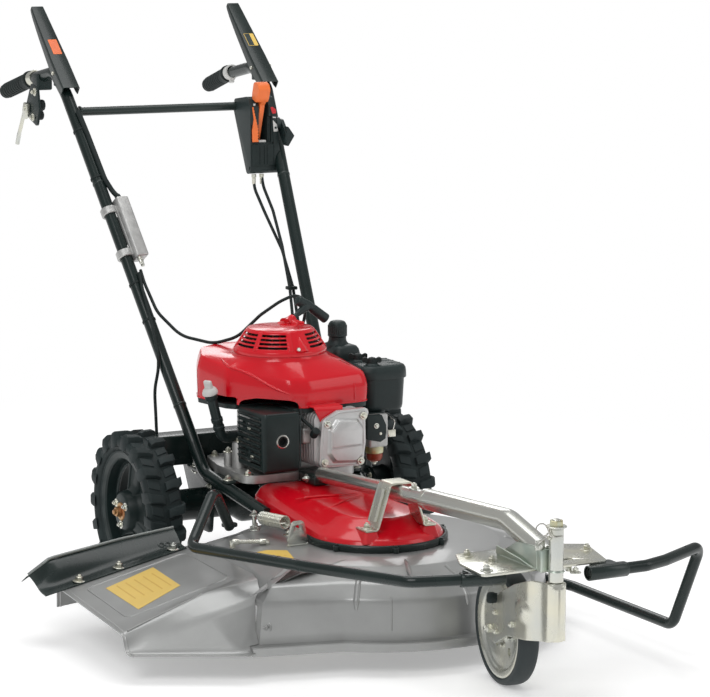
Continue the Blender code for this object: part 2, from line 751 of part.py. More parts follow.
CHUTE_DEEP = [(-0.300, -0.690, 0.0480), (-0.300, -0.690, 0.0500), (-0.290, -0.662, 0.1430),
              (-0.277, -0.620, 0.1520),
              (-0.262, -0.578, 0.1600), (-0.255, -0.300, 0.1433), (-0.185, -0.264, 0.1400),
              (-0.185, -0.262, 0.0750)]
CHUTE_INNER = [(-0.372, -0.722, 0.0480), (-0.372, -0.708, 0.0500), (-0.398, -0.642, 0.1080),
               (-0.396, -0.592, 0.1340),
               (-0.300, -0.575, 0.1500), (-0.276, -0.285, 0.1400), (-0.272, -0.250, 0.1380),
               (-0.272, -0.248, 0.0750)]
CHUTE_MOUTH = [(-0.551, -0.628, 0.0480), (-0.553, -0.617, 0.0500), (-0.554, -0.612, 0.0560),
               (-0.555, -0.603, 0.0800),
               (-0.555, -0.560, 0.0830), (-0.555, -0.331, 0.0960), (-0.555, -0.296, 0.0980),
               (-0.555, -0.294, 0.0600)]


def chute():
    """The slanted sheet hood at the deck's side, trimmed to the deck's wall."""
    inner = [Vector(p) for p in CHUTE_INNER]
    mouth = [Vector((-CHUTE_REACH, p[1], p[2])) if k > 2 else Vector(p) for k, p in enumerate(CHUTE_MOUTH)]
    rings = [CHUTE_DEEP, inner, [a.lerp(b, 0.5) for a, b in zip(inner, mouth)], mouth]
    hood = loft("chute", [[tuple(p) for p in ring] for ring in rings], GREY, False, False, closed=False)
    thicken(hood, SHEET_T, 0.0)
    clear = 0.0005
    outline = deck_outline()
    flange = inset(outline, -DECK_FLANGE - 0.002 - clear)
    levels = [(flange, 0.0), (flange, DECK_FLANGE_Z + clear),
              (inset(outline, -clear), DECK_FLANGE_Z + 2 * clear),
              (inset(outline, 0.008 - clear), DECK_CREASE_Z),
              (inset(outline, 0.034 - clear), DECK_SHOULDER_Z + 0.0003),
              (inset(outline, 0.090), DECK_TOP_Z + clear)]
    cut(hood, loft("deck_room", [at_height(ring, z) for ring, z in levels]))


def deflector():
    """The bent plate bolted along the chute's rear edge, with a raised wall and a rolled lip."""
    inner = Vector(CHUTE_INNER[5])
    outer = Vector((-CHUTE_REACH, *CHUTE_MOUTH[5][1:]))
    rise = Vector((0, 0, SHEET_T / 2 + 0.0016))
    stations = []
    for share, back, high, lip in ((0.06, 0.034, 0.026, 0.004), (0.45, 0.044, 0.034, 0.008),
                                   (1.0, 0.040, 0.044, 0.014),
                                   (1.13, 0.060, 0.020, 0.012)):
        base = inner.lerp(outer, share) + rise
        stations.append([base + Vector((0, 0.004, 0)), base + Vector((0, 0.030, 0.0015)),
                         base + Vector((0, 0.030 + back * 0.45, high * 0.55)),
                         base + Vector((0, 0.030 + back, high)),
                         base + Vector((-0.010 * share, 0.036 + back, high - lip))])
    sheet = loft("deflector", [[tuple(p) for p in ring] for ring in stations], BLACK, False, False,
                 closed=False)
    thicken(sheet, 0.002, 0.0)


# Blade drive

def teardrop(radius, rear_half, rear_y, corner=0.03):
    """The plan of the belt cover: round about the spindle and drawn in toward the engine."""
    front = circle(radius, (0, SPINDLE_Y), 16, math.radians(176), math.radians(188))
    rear = fillet([(radius * 0.98, SPINDLE_Y + 0.04), (rear_half, rear_y), (-rear_half, rear_y),
                   (-radius * 0.98, SPINDLE_Y + 0.04)], corner, 3)
    return [*front, *[p[:2] for p in rear[1:-1]]]


def belt_housing():
    outline = teardrop(COVER_R + 0.009, COVER_REAR_HALF + 0.004, COVER_REAR_Y - 0.002)
    bottom = DECK_TOP_Z + GAP
    matrix = Matrix.Translation((0, 0, bottom + HOUSING_T / 2))
    base = plate("belt_housing", outline, HOUSING_T, BLACK, matrix, [circle(0.036, (0, SPINDLE_Y), 16)])
    for side in (RIGHT, LEFT):
        cut(base, frame_seat("housing_notch_%d" % side, side))


def belt_cover():
    bottom = DECK_TOP_Z + HOUSING_T + 2 * GAP
    outline = teardrop(COVER_R, COVER_REAR_HALF, COVER_REAR_Y)
    rings = [at_height(outline, bottom), at_height(outline, bottom + 0.004),
             at_height(inset(outline, 0.003), bottom + 0.022),
             at_height(inset(outline, 0.012), COVER_TOP_Z - 0.010),
             at_height(inset(outline, 0.030), COVER_TOP_Z)]
    cover = loft("belt_cover", rings, RED, cap_start=False)
    thicken(cover, 0.003)
    cut(cover, block("cover_rear_opening", (-0.070, COVER_REAR_Y - 0.02, 0.150),
                     (0.070, COVER_REAR_Y + 0.03, 0.2185)))
    for side in (RIGHT, LEFT):
        cut(cover, frame_seat("cover_notch_%d" % side, side))


def pulley_profile(radius):
    half = BELT_H / 2 + 0.001
    edge = half + 0.006
    return [(radius + 0.007, edge), (radius + 0.007, half + 0.002), (radius, half), (radius, -half),
            (radius + 0.007, -half - 0.002), (radius + 0.007, -edge)]


def blade_drive():
    centre = (0, SPINDLE_Y, 0)
    bore = SHAFT_R + RUN
    top, bottom = 0.188, 0.104
    under = DECK_TOP_Z - SHEET_T - GAP
    profile = [(bore, top), (0.031, top), (0.031, under), (0.056, under), (0.056, under - 0.008),
               (0.034, under - 0.016),
               (0.028, bottom), (bore, bottom)]
    turned("spindle_housing", profile, CAST, centre, steps=18, closed=True)

    neck = 0.0105
    face = BLADE_Z + BLADE_T / 2 + GAP
    low = BLADE_Z - BLADE_T / 2 - GAP
    groove = [(r, BELT_Z + h) for r, h in pulley_profile(BLADE_PULLEY_R)]
    profile = [(0, groove[0][1] + 0.004), (SHAFT_R, groove[0][1] + 0.004), (SHAFT_R, groove[0][1]), *groove,
               (SHAFT_R, groove[-1][1]), (SHAFT_R, bottom - 0.002), (0.022, bottom - 0.002), (0.022, face),
               (neck, face),
               (neck, low), (0.016, low), (0.016, low - 0.010), (0, low - 0.010)]
    turned("blade_spindle", profile, STEEL, centre, steps=16)

    half, tip = BLADE_LENGTH / 2, 0.045
    wide = BLADE_W / 2
    bar = plate("blade", [(half - tip, -wide), (half, -wide * 0.35), (half, wide), (tip - half, wide),
                          (-half, wide * 0.35), (-half, -wide)],
                BLADE_T, STEEL, Matrix.Translation((0, SPINDLE_Y,
                                                    BLADE_Z)) @ Matrix.Rotation(math.radians(35), 4, "Z"),
                [circle(neck + GAP, (0, 0), 16)])
    for sign in (-1, 1):
        ends = sorted((sign * (half - 0.095), sign * (half - 0.003)))
        edges = sorted((sign * (wide - 0.006), sign * (wide - 0.0015)))
        fin = block("blade_fin_%d" % sign, (ends[0], edges[0], -0.0005), (ends[1], edges[1], 0.018))
        fin.matrix_basis = bar.matrix_basis @ fin.matrix_basis
        join(bar, fin)

    groove = [(r, BELT_Z + h) for r, h in pulley_profile(ENGINE_PULLEY_R)]
    shaft_top = PLATE_TOP_Z + 0.020
    profile = [(0, shaft_top), (SHAFT_R, shaft_top), (SHAFT_R, groove[0][1] + 0.002),
               (0.020, groove[0][1] + 0.002),
               (0.020, groove[0][1]), *groove, (0, groove[-1][1])]
    turned("engine_pulley", profile, STEEL, (0, CRANK_Y, 0), steps=16)

    outer, inner = [], []
    for y, radius, start in ((CRANK_Y, ENGINE_PULLEY_R, 0.0), (SPINDLE_Y, BLADE_PULLEY_R, math.pi)):
        lean = math.asin((BLADE_PULLEY_R - ENGINE_PULLEY_R) / (CRANK_Y - SPINDLE_Y))
        sign = 1 if start == 0.0 else -1
        first, sweep = start + sign * lean, math.pi - 2 * sign * lean
        inner_r = (radius + GAP) / math.cos(sweep / 24)
        outer += circle(inner_r + BELT_T, (0, y), 13, first, sweep)
        inner += circle(inner_r, (0, y), 13, first, sweep)
    plate("drive_belt", outer, BELT_H, RUBBER, Matrix.Translation((0, 0, BELT_Z)), [inner])


# Engine

def engine_plate():
    outline = fillet([(-0.150, -0.152), (0.150, -0.152), (0.150, 0.0515), (-0.150, 0.0515)], 0.02, 2,
                     closed=True)
    sheet = plate("engine_plate", outline, PLATE_T, BLACK,
                  Matrix.Translation((0, 0, PLATE_TOP_Z - PLATE_T / 2)),
                  [circle(0.030, (0, CRANK_Y), 18)])
    for side in (RIGHT, LEFT):
        cut(sheet, frame_seat("plate_seat_%d" % side, side))
        x = side * 0.127
        cut(sheet, block("plate_slot_%d" % side, (x - 0.0035, -0.06, 0.21), (x + 0.0035, 0.08, 0.24)))


def head_span():
    return HEAD_X - FIN_W / 2, HEAD_X + FIN_W / 2


SHROUD_PLAN = [(0.140, -0.196), (0.130, -0.075), (0.122, -0.015), (0.070, 0.052), (-0.070, 0.062),
               (-0.126, 0.040),
               (-0.147, -0.010), (-0.127, -0.100), (-0.040, -0.205), (-0.006, -0.216)]


def shroud_plan():
    return by_angle(fillet(SHROUD_PLAN, 0.022, 2, closed=True), (0, CRANK_Y), 32)


def engine_block():
    base_z = PLATE_TOP_Z + GAP
    top = base_z + ENGINE_BASE_T
    outline = fillet([(-0.128, -0.195), (0.108, -0.195), (0.124, -0.110), (0.108, 0.040), (-0.108, 0.040),
                      (-0.128, -0.060)],
                     0.025, 3, closed=True)
    body = plate("engine_block", outline, ENGINE_BASE_T, CAST,
                 Matrix.Translation((0, 0, base_z + ENGINE_BASE_T / 2)))
    case = turned("crankcase", [(0, CASE_TOP_Z), (CASE_R - 0.012, CASE_TOP_Z), (CASE_R, CASE_TOP_Z - 0.012),
                                (CASE_R, top - 0.002), (0, top - 0.002)], None, (0, CRANK_Y, 0), steps=24)
    bottom, height = 0.256, 0.108
    core_front = -0.237
    core = block("cylinder_core", (HEAD_X - HEAD_W / 2, core_front, bottom + 0.016),
                 (HEAD_X + HEAD_W / 2, CRANK_Y - 0.04, bottom + height - 0.012))
    fins = []
    low, high = head_span()
    for k in range(FINS):
        y = core_front + 0.0015 + k * FIN_PITCH
        fins.append(block("fin_%d" % k, (low, y, bottom), (high, y + FIN_T, bottom + height)))
    plan = [(x * 0.985, CRANK_Y + (y - CRANK_Y) * 0.985) for x, y in shroud_plan()]
    base = loft("fan_base", [at_height(plan, CASE_TOP_Z - 0.002), at_height(plan, SHROUD_BOTTOM_Z - GAP)])
    arm = block("tank_arm", (0.060, -0.020, 0.346), (0.180, 0.020, 0.356))
    join(body, case, core, *fins, arm, base)
    cut(body, block("muffler_room", (-0.118, -0.250, 0.251), (-0.0325, -0.115, 0.380)))
    cut(body, rod("crank_bore", (0, CRANK_Y, 0.20), (0, CRANK_Y, PLATE_TOP_Z + 0.0206), SHAFT_R + RUN,
                  sides=18))


def valve_cover():
    back = -0.237 - GAP
    outline = fillet([(0.001, 0.258), (0.094, 0.255), (0.101, 0.300), (0.100, 0.345), (0.108, 0.356),
                      (0.104, 0.367),
                      (0.040, 0.366), (0.008, 0.350), (0.003, 0.300)], 0.010, 2, closed=True)
    flip = Matrix(((1, 0, 0, 0), (0, 0, -1, 0), (0, 1, 0, 0), (0, 0, 0, 1)))
    cover = plate("valve_cover", outline, 0.012, CAST, Matrix.Translation((0, back - 0.006, 0)) @ flip)
    panel = fillet([(0.024, 0.274), (0.084, 0.272), (0.092, 0.300), (0.091, 0.348), (0.040, 0.352),
                    (0.024, 0.332)],
                   0.010, 2, closed=True)
    raised = plate("valve_panel", panel, 0.020, None, Matrix.Translation((0, back - 0.010, 0)) @ flip)
    join(cover, raised)


def muffler():
    low_x, high_x = -0.101, head_span()[0] - 0.016
    low_z, high_z = 0.266, 0.358
    can = block("muffler", (low_x, -0.231, low_z), (high_x, -0.142, high_z), BLACK, 0.012, 2)
    port = rod("exhaust_port", (high_x - 0.01, -0.190, 0.315), (head_span()[0] - GAP, -0.190, 0.315), 0.016,
               sides=14)
    tail = rod("tail_pipe", (-0.072, -0.226, 0.314), (-0.072, -0.2425, 0.314), 0.0095, sides=14)
    join(can, port, tail)

    left, right = -0.112, -0.033
    front, rear = -0.2405, -0.119
    floor, roof = 0.254, 0.368
    guard = block("muffler_guard", (left, front, floor), (right, rear, roof), BLACK, 0.0062, 2)
    wall = GUARD_T
    inside = block("guard_inside", (left + wall, front + wall, floor + wall),
                   (right + 0.02, rear + 0.02, roof - wall),
                   None, 0.0036, 2)
    cut(guard, inside)
    pitch = (roof - floor - 0.020) / GUARD_SLOTS
    for k in range(GUARD_SLOTS):
        z = floor + 0.0125 + k * pitch
        slot = block("guard_slot_%d" % k, (left - 0.01, front + 0.016, z),
                     (left + 0.0095, rear - 0.0085, z + pitch * 0.52))
        cut(guard, slot)
    cut(guard, rod("guard_hole", (-0.072, front - 0.01, 0.314), (-0.072, front + 0.01, 0.314), 0.0099,
                   sides=14))


def shroud():
    centre = (0, CRANK_Y)
    plan = shroud_plan()

    def shrunk(share, z, slope=0.0):
        ring = []
        for x, y in plan:
            ring.append((x * share, CRANK_Y + (y - CRANK_Y) * share, z + slope * (y - CRANK_Y)))
        return ring
    shoulder = [(x, y, z) for x, y, z in shrunk(0.94, SHROUD_TOP_Z - 0.009, 0.15)]
    mouth = [(x, y, STARTER_RIM_Z - 0.004 - GAP) for x, y in circle(STARTER_R - 0.0012, centre, len(plan))]
    rings = [shrunk(0.99, SHROUD_BOTTOM_Z), shrunk(1.0, SHROUD_FOLD_Z, 0.12), shoulder, mouth]
    hood = loft("shroud", rings, RED, False, False)
    thicken(hood, SHROUD_T)
    cut(hood, block("head_gap", (-0.100, -0.26, 0.34), (-0.022, -0.085, 0.3825)),
        block("oil_gap", (-0.20, -0.135, 0.34), (-0.110, -0.055, 0.384)))


def starter():
    centre = (0, CRANK_Y, 0)
    t = 0.003
    rim, top = STARTER_RIM_Z, STARTER_TOP_Z
    profile = [(0, top + 0.003), (STARTER_TOP_R * 0.6, top + 0.0015), (STARTER_TOP_R, top - 0.003),
               (STARTER_R - 0.003, rim + 0.006),
               (STARTER_R, rim), (STARTER_R, rim - 0.004), (STARTER_R - t, rim - 0.004),
               (STARTER_R - t - 0.003, rim + 0.003),
               (STARTER_TOP_R - t, top - 0.007), (0, top - 0.004)]
    dome = turned("starter_cover", profile, RED, centre, steps=3 * STARTER_RIBS)
    bm = bmesh.new()
    pitch = (top - rim - 0.018) / STARTER_ROWS
    half_turn = math.pi / STARTER_RIBS - 0.09
    for k in range(STARTER_ROWS):
        low = rim + 0.011 + k * pitch
        for n in range(STARTER_RIBS):
            middle = math.tau * (n + 0.5) / STARTER_RIBS
            corners = []
            for z in (low, low + pitch * 0.5):
                for radius in (0.050, 0.115):
                    for turn in (middle - half_turn, middle + half_turn):
                        corners.append(bm.verts.new((radius * math.cos(turn), radius * math.sin(turn), z)))
            for quad in ((0, 1, 3, 2), (4, 6, 7, 5), (0, 4, 5, 1), (2, 3, 7, 6), (0, 2, 6, 4), (1, 5, 7, 3)):
                bm.faces.new([corners[q] for q in quad])
    slots = add("starter_slots", mesh_from("starter_slots", bm), None)
    slots.location = centre
    cut(dome, slots)

    left, right = Vector((0.056, -0.040, 0.553)), Vector((0.122, -0.040, 0.510))
    stem_end = Vector((0.0385, -0.0571, 0.5193))
    pull = (left.lerp(right, 0.32) - stem_end).normalized()
    print("starter grip pulls along", [round(v, 4) for v in pull])
    boss = rod("rope_boss", stem_end - pull * 0.022, stem_end + pull * 0.003, 0.009, sides=12)
    join(dome, boss)
    cut(dome, rod("rope_hole", stem_end - pull * 0.005, stem_end + pull * 0.012, 0.0044, sides=12))
    bar = tube("starter_grip", fillet([left, left.lerp(right, 0.5) + Vector((0, 0.003, 0.004)), right], 0.05,
                                      3), 0.009,
               BLACK_PLASTIC, 3)
    join(bar, tube("grip_stem", [left.lerp(right, 0.32), stem_end], 0.0038, None, 2))


def fuel_tank():
    low, high = Vector((0.134, -0.056, 0.356 + GAP)), Vector((0.196, 0.029, 0.455))
    cap = (0.160, -0.012)
    tank = block("fuel_tank", low, high, BLACK_PLASTIC, 0.014, 2)
    join(tank, turned("tank_neck", [(0, 0.470), (0.017, 0.470), (0.020, 0.450), (0, 0.450)], None, (*cap, 0),
                      steps=16))
    turned("fuel_cap", [(0, 0.502), (0.014, 0.502), (0.0195, 0.496), (0.0195, 0.470 + GAP), (0, 0.470 + GAP)],
           BLACK_PLASTIC, (*cap, 0), steps=16)


def air_cleaner():
    low, high = (0.142, -0.166, 0.338), (0.240, -0.064, 0.424)
    box = block("air_cleaner", low, high, BLACK_PLASTIC, 0.010, 2)
    lid = block("cleaner_lid", (low[0] - 0.0035, low[1] - 0.0035, 0.4035),
                (high[0] + 0.0035, high[1] + 0.0035, 0.431), None, 0.007)
    join(box, lid)
    for k, (x, y) in enumerate(((0.167, -0.091), (0.178, -0.137))):
        nut = turned("wing_nut_%d" % k, [(0, 0.441), (0.0055, 0.441), (0.0080, 0.4290), (0, 0.4290)], None,
                     (x, y, 0), steps=10)
        wing = block("wing_%d" % k, (-0.015, -0.0025, 0.4345), (0.015, 0.0025, 0.4465))
        wing.matrix_basis = Matrix.Translation((x, y, 0)) @ Matrix.Rotation(0.5 + k, 4,
            "Z") @ wing.matrix_basis
        join(box, nut, wing)

    right_fin = head_span()[1]
    carb = block("carburettor", (0.146, -0.178, 0.266), (0.188, -0.138, 0.338 - GAP), CAST, 0.004)
    bowl = turned("carb_bowl", [(0, 0.270), (0.0165, 0.270), (0.0165, 0.250), (0.011, 0.240), (0, 0.240)],
                  None,
                  (0.167, -0.158, 0), steps=16)
    pipe = rod("intake_pipe", (right_fin + GAP, -0.158, 0.300), (0.150, -0.158, 0.300), 0.014, sides=14)
    join(carb, bowl, pipe)


OIL_TOP = (-0.1615, -0.107, 0.392)


def oil_filler():
    path = fillet([(0.004 - CASE_R, -0.080, 0.300), (-0.134, -0.096, 0.302), OIL_TOP], 0.022, 3)
    pipe = tube("oil_filler", path, 0.0105, BLACK_PLASTIC, 3)
    cut(pipe, rod("case_clearance", (0, CRANK_Y, 0.25), (0, CRANK_Y, 0.33), CASE_R + RUN + GAP, sides=36))
    direction = (Vector(OIL_TOP) - Vector((-0.134, -0.096, 0.302))).normalized()
    base = Vector(OIL_TOP) + direction * GAP
    cap = turned("dipstick", [(0, 0.014), (0.010, 0.014), (0.0150, 0.006), (0.0155, 0.0015), (0.0125, 0.0),
                              (0, 0.0)],
                 GREY, base, direction, 14)
    wing = block("dipstick_wing", (-0.0095, -0.0045, 0.010), (0.0095, 0.0045, 0.029), None, 0.002)
    wing.matrix_basis = Matrix.Translation(base) @ aim(direction) @ wing.matrix_basis
    join(cap, wing)


# Nose

def nose():
    spine_start, joint, rise, end = (Vector((0, -0.262, 0.2475)), Vector((0, -0.690, 0.280)),
                                     Vector((0, -0.966, 0.298)),
                                     Vector((0, -1.100, 0.2640)))
    spine = tube("spine_tube", [spine_start, joint - Vector((0, GAP, 0))], SPINE_R, ZINC, 3)
    foot = block("spine_foot", (-0.018, -0.266, PLATE_TOP_Z + GAP), (0.018, -0.1956, 0.2467), None, 0.003)
    join(spine, foot)
    path = fillet([joint - Vector((0, 2 * GAP, 0)), rise, end], 0.06, 3)
    tube("nose_tube", path, NOSE_R, ZINC, 4)

    top = NOSE_PLATE_Z
    plan = fillet([(-0.119, -1.088), (0.119, -1.088), (0.152, -0.970), (0.085, -0.935), (-0.085, -0.935),
                   (-0.112, -0.998)],
                  0.008, 2, closed=True)
    sheet = plate("nose_plate", plan, NOSE_PLATE_T, ZINC, Matrix.Translation((0, 0, top - NOSE_PLATE_T / 2)))
    cheek = fillet([(-1.096, top - 0.002), (-0.965, top - 0.002), (-1.030, top + 0.034),
                    (-1.096, top + 0.040)], 0.006, 2, closed=True)
    for sign in (-1, 1):
        join(sheet, plate("gusset_%d" % sign, cheek, 0.003, None, side_plane(sign * (NOSE_R + 0.0022))))
    web = block("gusset_web", (-NOSE_R - 0.003, -1.1250, top - 0.003), (NOSE_R + 0.003, -1.0935, top + 0.036))
    join(sheet, web)
    cut(sheet, tube("nose_seat", longer(path), NOSE_R + SEAT, None, 4))
    cut(sheet, rod("pivot_seat", (0, PIVOT_Y, 0.2), (0, PIVOT_Y, 0.3), PIVOT_TUBE_R + RUN, sides=20))

    bore = SPINDLE_R + RUN
    turned("pivot_sleeve", [(bore, PIVOT_TOP), (PIVOT_TUBE_R, PIVOT_TOP), (PIVOT_TUBE_R, PIVOT_BOTTOM),
                            (bore, PIVOT_BOTTOM)],
           ZINC, (0, PIVOT_Y, 0), steps=20, closed=True)


def stays():
    """The bent flat bar over the belt cover that carries the spine, and the second stay beside it."""
    width, t = 0.022, 0.004
    cover_top = COVER_TOP_Z + GAP
    spine_low = 0.2475 + (0.280 - 0.2475) * (STAY_Y - 0.262) / (0.690 - 0.262)
    top_z = spine_low + SPINE_R + GAP + t / 2
    path = [(-0.052, cover_top + t / 2), (-0.034, cover_top + t / 2), (-SPINE_R - 0.006, top_z),
            (SPINE_R + 0.006, top_z),
            (0.030, cover_top + t / 2), (0.048, cover_top + t / 2)]
    ring = [(x, z) for x, z in fillet(path, 0.005, 2)]
    strip = []
    for y in (-STAY_Y - width / 2, -STAY_Y + width / 2):
        strip.append([(x, y, z) for x, z in ring])
    bar = loft("stay", strip, ZINC, False, False, closed=False)
    thicken(bar, t, 0.0)


def bumper_path(side):
    if side == RIGHT:
        corners = [(-0.066, -1.058, 0.2265), (-0.150, -1.040, 0.2265), (-0.214, -1.010, 0.2240),
                   (-0.300, -0.776, 0.212),
                   (-0.366, -0.470, 0.188), (-0.270, -0.360, 0.262), (-0.210, -0.296, 0.1745)]
        return fillet(corners, 0.035, 3)
    corners = [(0.078, -1.100, 0.2265), (0.190, -1.098, 0.2265), (0.240, -1.080, 0.2265),
               (0.347, -1.028, 0.230),
               (0.347, -0.946, 0.070), (0.344, -0.620, 0.0688), (0.3305, -0.545, 0.0688),
               (0.3295, -0.460, 0.0688)]
    return fillet(corners, 0.030, 3)


def bumpers():
    for side in (RIGHT, LEFT):
        tag = SIDE_NAMES[side]
        path = bumper_path(side)
        bar = tube("bumper_" + tag, path, BUMPER_R, BLACK, 3)
        start, ahead = Vector(path[0]), (Vector(path[1]) - Vector(path[0])).normalized()
        sleeve = rod("sleeve_%s" % tag, start - ahead * 0.004, start + ahead * 0.072, 0.0132, None, 8)
        ear = block("ear_%s" % tag, start + ahead * 0.036 + Vector((-0.022, -0.004, 0.004)),
                    start + ahead * 0.036 + Vector((0.022, 0.030,
                                                    NOSE_PLATE_Z - NOSE_PLATE_T - GAP - start.z)))
        join(bar, sleeve, ear)
        cut(bar, block("plate_over_%s" % tag, (-0.30, -1.20, NOSE_PLATE_Z - NOSE_PLATE_T - GAP),
                       (0.30, -0.80, 0.30)))
        if side == RIGHT:
            cut(bar, frame_seat("bumper_seat", RIGHT))


# Caster

def caster_frame():
    """The caster's own axes: origin at the pivot on the ground, local Y along the trail."""
    return Matrix.Translation((0, PIVOT_Y, 0)) @ Matrix.Rotation(-CASTER_TURN, 4, "Z")


def caster():
    frame = caster_frame()
    half = CASTER_W / 2 + CHEEK_CLEAR
    low, high = 0.126, PIVOT_BOTTOM - GAP
    cheek_x = half + CHEEK_T / 2
    boss_r = 0.0150

    boss = turned("caster_fork", [(0, PIVOT_TOP + 0.0145), (SPINDLE_R, PIVOT_TOP + 0.0145), (SPINDLE_R, high),
                                  (boss_r, high),
                                  (boss_r, low), (0, low)], ZINC, (0, PIVOT_Y, 0), steps=20)
    profile = fillet([(-0.004, low), (0.128, low - 0.022), (TRAIL - 0.020, 0.078), (TRAIL + 0.020, 0.088),
                      (TRAIL + 0.018, 0.122), (0.160, 0.172), (0.100, 0.200), (0.040, high - 0.004),
                      (-0.004, high - 0.001)],
                     0.010, 2, closed=True)
    for sign in (-1, 1):
        inner = boss_r - CHEEK_T
        plan = [(sign * x, y) for x, y in ((inner, -0.010), (inner, 0.012), (half, 0.058),
                                           (half, TRAIL + 0.03),
                                           (half + CHEEK_T, TRAIL + 0.03), (half + CHEEK_T, 0.056),
                                           (boss_r, 0.010), (boss_r, -0.010))]
        if sign < 0:
            plan.reverse()
        wall = loft("cheek_%d" % sign, [at_height(plan, 0.05), at_height(plan, 0.24)])
        wall.matrix_world = frame
        trim = plate("cheek_trim_%d" % sign, profile, 0.12, None, frame @ side_plane(0))
        modifier = wall.modifiers.new("shape", "BOOLEAN")
        modifier.operation = "INTERSECT"
        modifier.object = trim
        join(boss, wall)
    web = block("fork_web", (-half - 0.001, 0.040, 0.180), (half + 0.001, 0.082, 0.186))
    web.matrix_basis = frame @ web.matrix_basis
    join(boss, web)
    axle = rod("caster_axle", (-cheek_x - 0.006, TRAIL, CASTER_R), (cheek_x + 0.006, TRAIL, CASTER_R), 0.0075,
               None, 12)
    axle.matrix_basis = frame @ axle.matrix_basis
    join(boss, axle)

    bottom = PIVOT_TOP + GAP
    bore = SPINDLE_R + GAP
    turned("spindle_nut", [(bore, bottom + 0.012), (0.0125, bottom + 0.012), (0.0125, bottom + 0.003),
                           (0.0175, bottom + 0.003),
                           (0.0175, bottom), (bore, bottom)], ZINC, (0, PIVOT_Y, 0), steps=16, closed=True)

    centre = frame @ Vector((0, TRAIL, CASTER_R))
    axis = frame.to_3x3() @ Vector((1, 0, 0))
    wide = CASTER_W / 2
    bore = 0.0075 + RUN
    hub = half - RUN
    rim_in = CASTER_RIM_R - 0.010
    profile = [(bore, hub), (0.020, hub), (0.022, 0.006), (rim_in - 0.014, 0.006), (rim_in, wide - 0.004),
               (CASTER_RIM_R, wide - 0.002),
               (CASTER_RIM_R, 0.002 - wide), (rim_in, 0.004 - wide), (rim_in - 0.014, -0.006),
               (0.022, -0.006), (0.020, -hub), (bore, -hub)]
    turned("caster_rim", profile, ZINC, centre, axis, 24, closed=True)
    inner = CASTER_RIM_R + GAP
    profile = [(inner, wide - 0.001), (CASTER_R - 0.004, wide - 0.001), (CASTER_R, wide - 0.009),
               (CASTER_R, 0.009 - wide),
               (CASTER_R - 0.004, 0.001 - wide), (inner, 0.001 - wide)]
    turned("caster_tyre", profile, RUBBER, centre, axis, 24, closed=True)


# Tension spring

TAB_HOLE = (-0.158, -0.478, 0.2045)
SPRING_WIRE = 0.0013
SPRING_R = 0.0115
SPRING_START = (-0.168, -0.352, 0.198)
SPRING_END = (-0.156, -0.424, 0.202)
SPRING_ANCHOR = (-0.172, -0.332, 0.196)
SPRING_CURLS = 11
CURL_POINTS = 9


def tensioner():
    """The upright tab on the deck and the coil spring that pulls on it."""
    x, y, z = TAB_HOLE
    foot = DECK_TOP_Z + GAP
    outline = fillet([(-0.022, foot), (0.022, foot), (0.012, z + 0.012), (-0.012, z + 0.012)], 0.008, 2,
                     closed=True)
    across = Matrix(((1, 0, 0, x), (0, 0, -1, y), (0, 1, 0, 0), (0, 0, 0, 1)))
    plate("tensioner_tab", outline, 0.004, ZINC, across, [circle(0.0042, (0, z), 10)])

    start, end = Vector(SPRING_START), Vector(SPRING_END)
    along = (end - start).normalized()
    side = along.cross(Vector((0, 0, 1))).normalized()
    up = side.cross(along)
    points = []
    for i in range(SPRING_CURLS * CURL_POINTS + 1):
        angle = math.tau * i / CURL_POINTS
        share = i / (SPRING_CURLS * CURL_POINTS)
        points.append(start.lerp(end, share) + (side * math.cos(angle) + up * math.sin(angle)) * SPRING_R)
    hook = Vector((x, y, z - 0.0024))
    head = [end + side * SPRING_R * 0.2 + along * 0.006, hook + Vector((0, 0.012, 0)),
            hook - Vector((0, 0.006, 0))]
    tail_anchor = Vector(SPRING_ANCHOR)
    tail = [tail_anchor, start + side * SPRING_R * 0.2 - along * 0.006]
    path = [*tail, *points, *head]
    gap = math.inf
    for i, one in enumerate(path):
        for two in path[i + 5:]:
            gap = min(gap, (one - two).length)
    print("spring's least gap to itself", round((gap - 2 * SPRING_WIRE) * 1000, 2), "mm")
    tube("tension_spring", path, SPRING_WIRE, ZINC, 1)


def centre_machine():
    """Stands the machine's box centred over the origin, on z = 0."""
    graph = bpy.context.evaluated_depsgraph_get()
    parts = bpy.data.collections["wheeled_brush_cutter"].objects
    low = Vector((math.inf,) * 3)
    high = -low
    for obj in parts:
        shape = obj.evaluated_get(graph)
        for vertex in shape.data.vertices:
            place = shape.matrix_world @ vertex.co
            low = Vector(map(min, low, place))
            high = Vector(map(max, high, place))
    middle = (low + high) / 2
    shift = Matrix.Translation((-middle.x, -middle.y, -low.z))
    root = bpy.data.objects.new("machine", None)
    bpy.context.scene.collection.objects.link(root)
    for collection in ("wheeled_brush_cutter", "cutters"):
        for obj in bpy.data.collections[collection].objects:
            obj.parent = root
    root.matrix_world = shift
    print("machine moved by", [round(v, 6) for v in shift.translation])
    print("machine size", [round(v, 4) for v in high - low])


def build():
    clear_scene()
    for side in (RIGHT, LEFT):
        rear_wheel(side)
        lever_saddle(side)
    axle_housing()
    rear_beam()
    frame_tubes()
    cross_bar()
    grips()
    channel_lever(RIGHT, "drive_lever")
    channel_lever(LEFT, "blade_lever")
    hand_lever()
    console()
    cable_box()
    cables()
    deck()
    chute()
    deflector()
    belt_housing()
    belt_cover()
    blade_drive()
    engine_plate()
    engine_block()
    valve_cover()
    muffler()
    shroud()
    starter()
    fuel_tank()
    air_cleaner()
    oil_filler()
    nose()
    stays()
    bumpers()
    caster()
    tensioner()
    centre_machine()


build()
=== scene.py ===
import json
from math import asin, atan2, cos, hypot, pi, radians, sin, sqrt, tan, tau

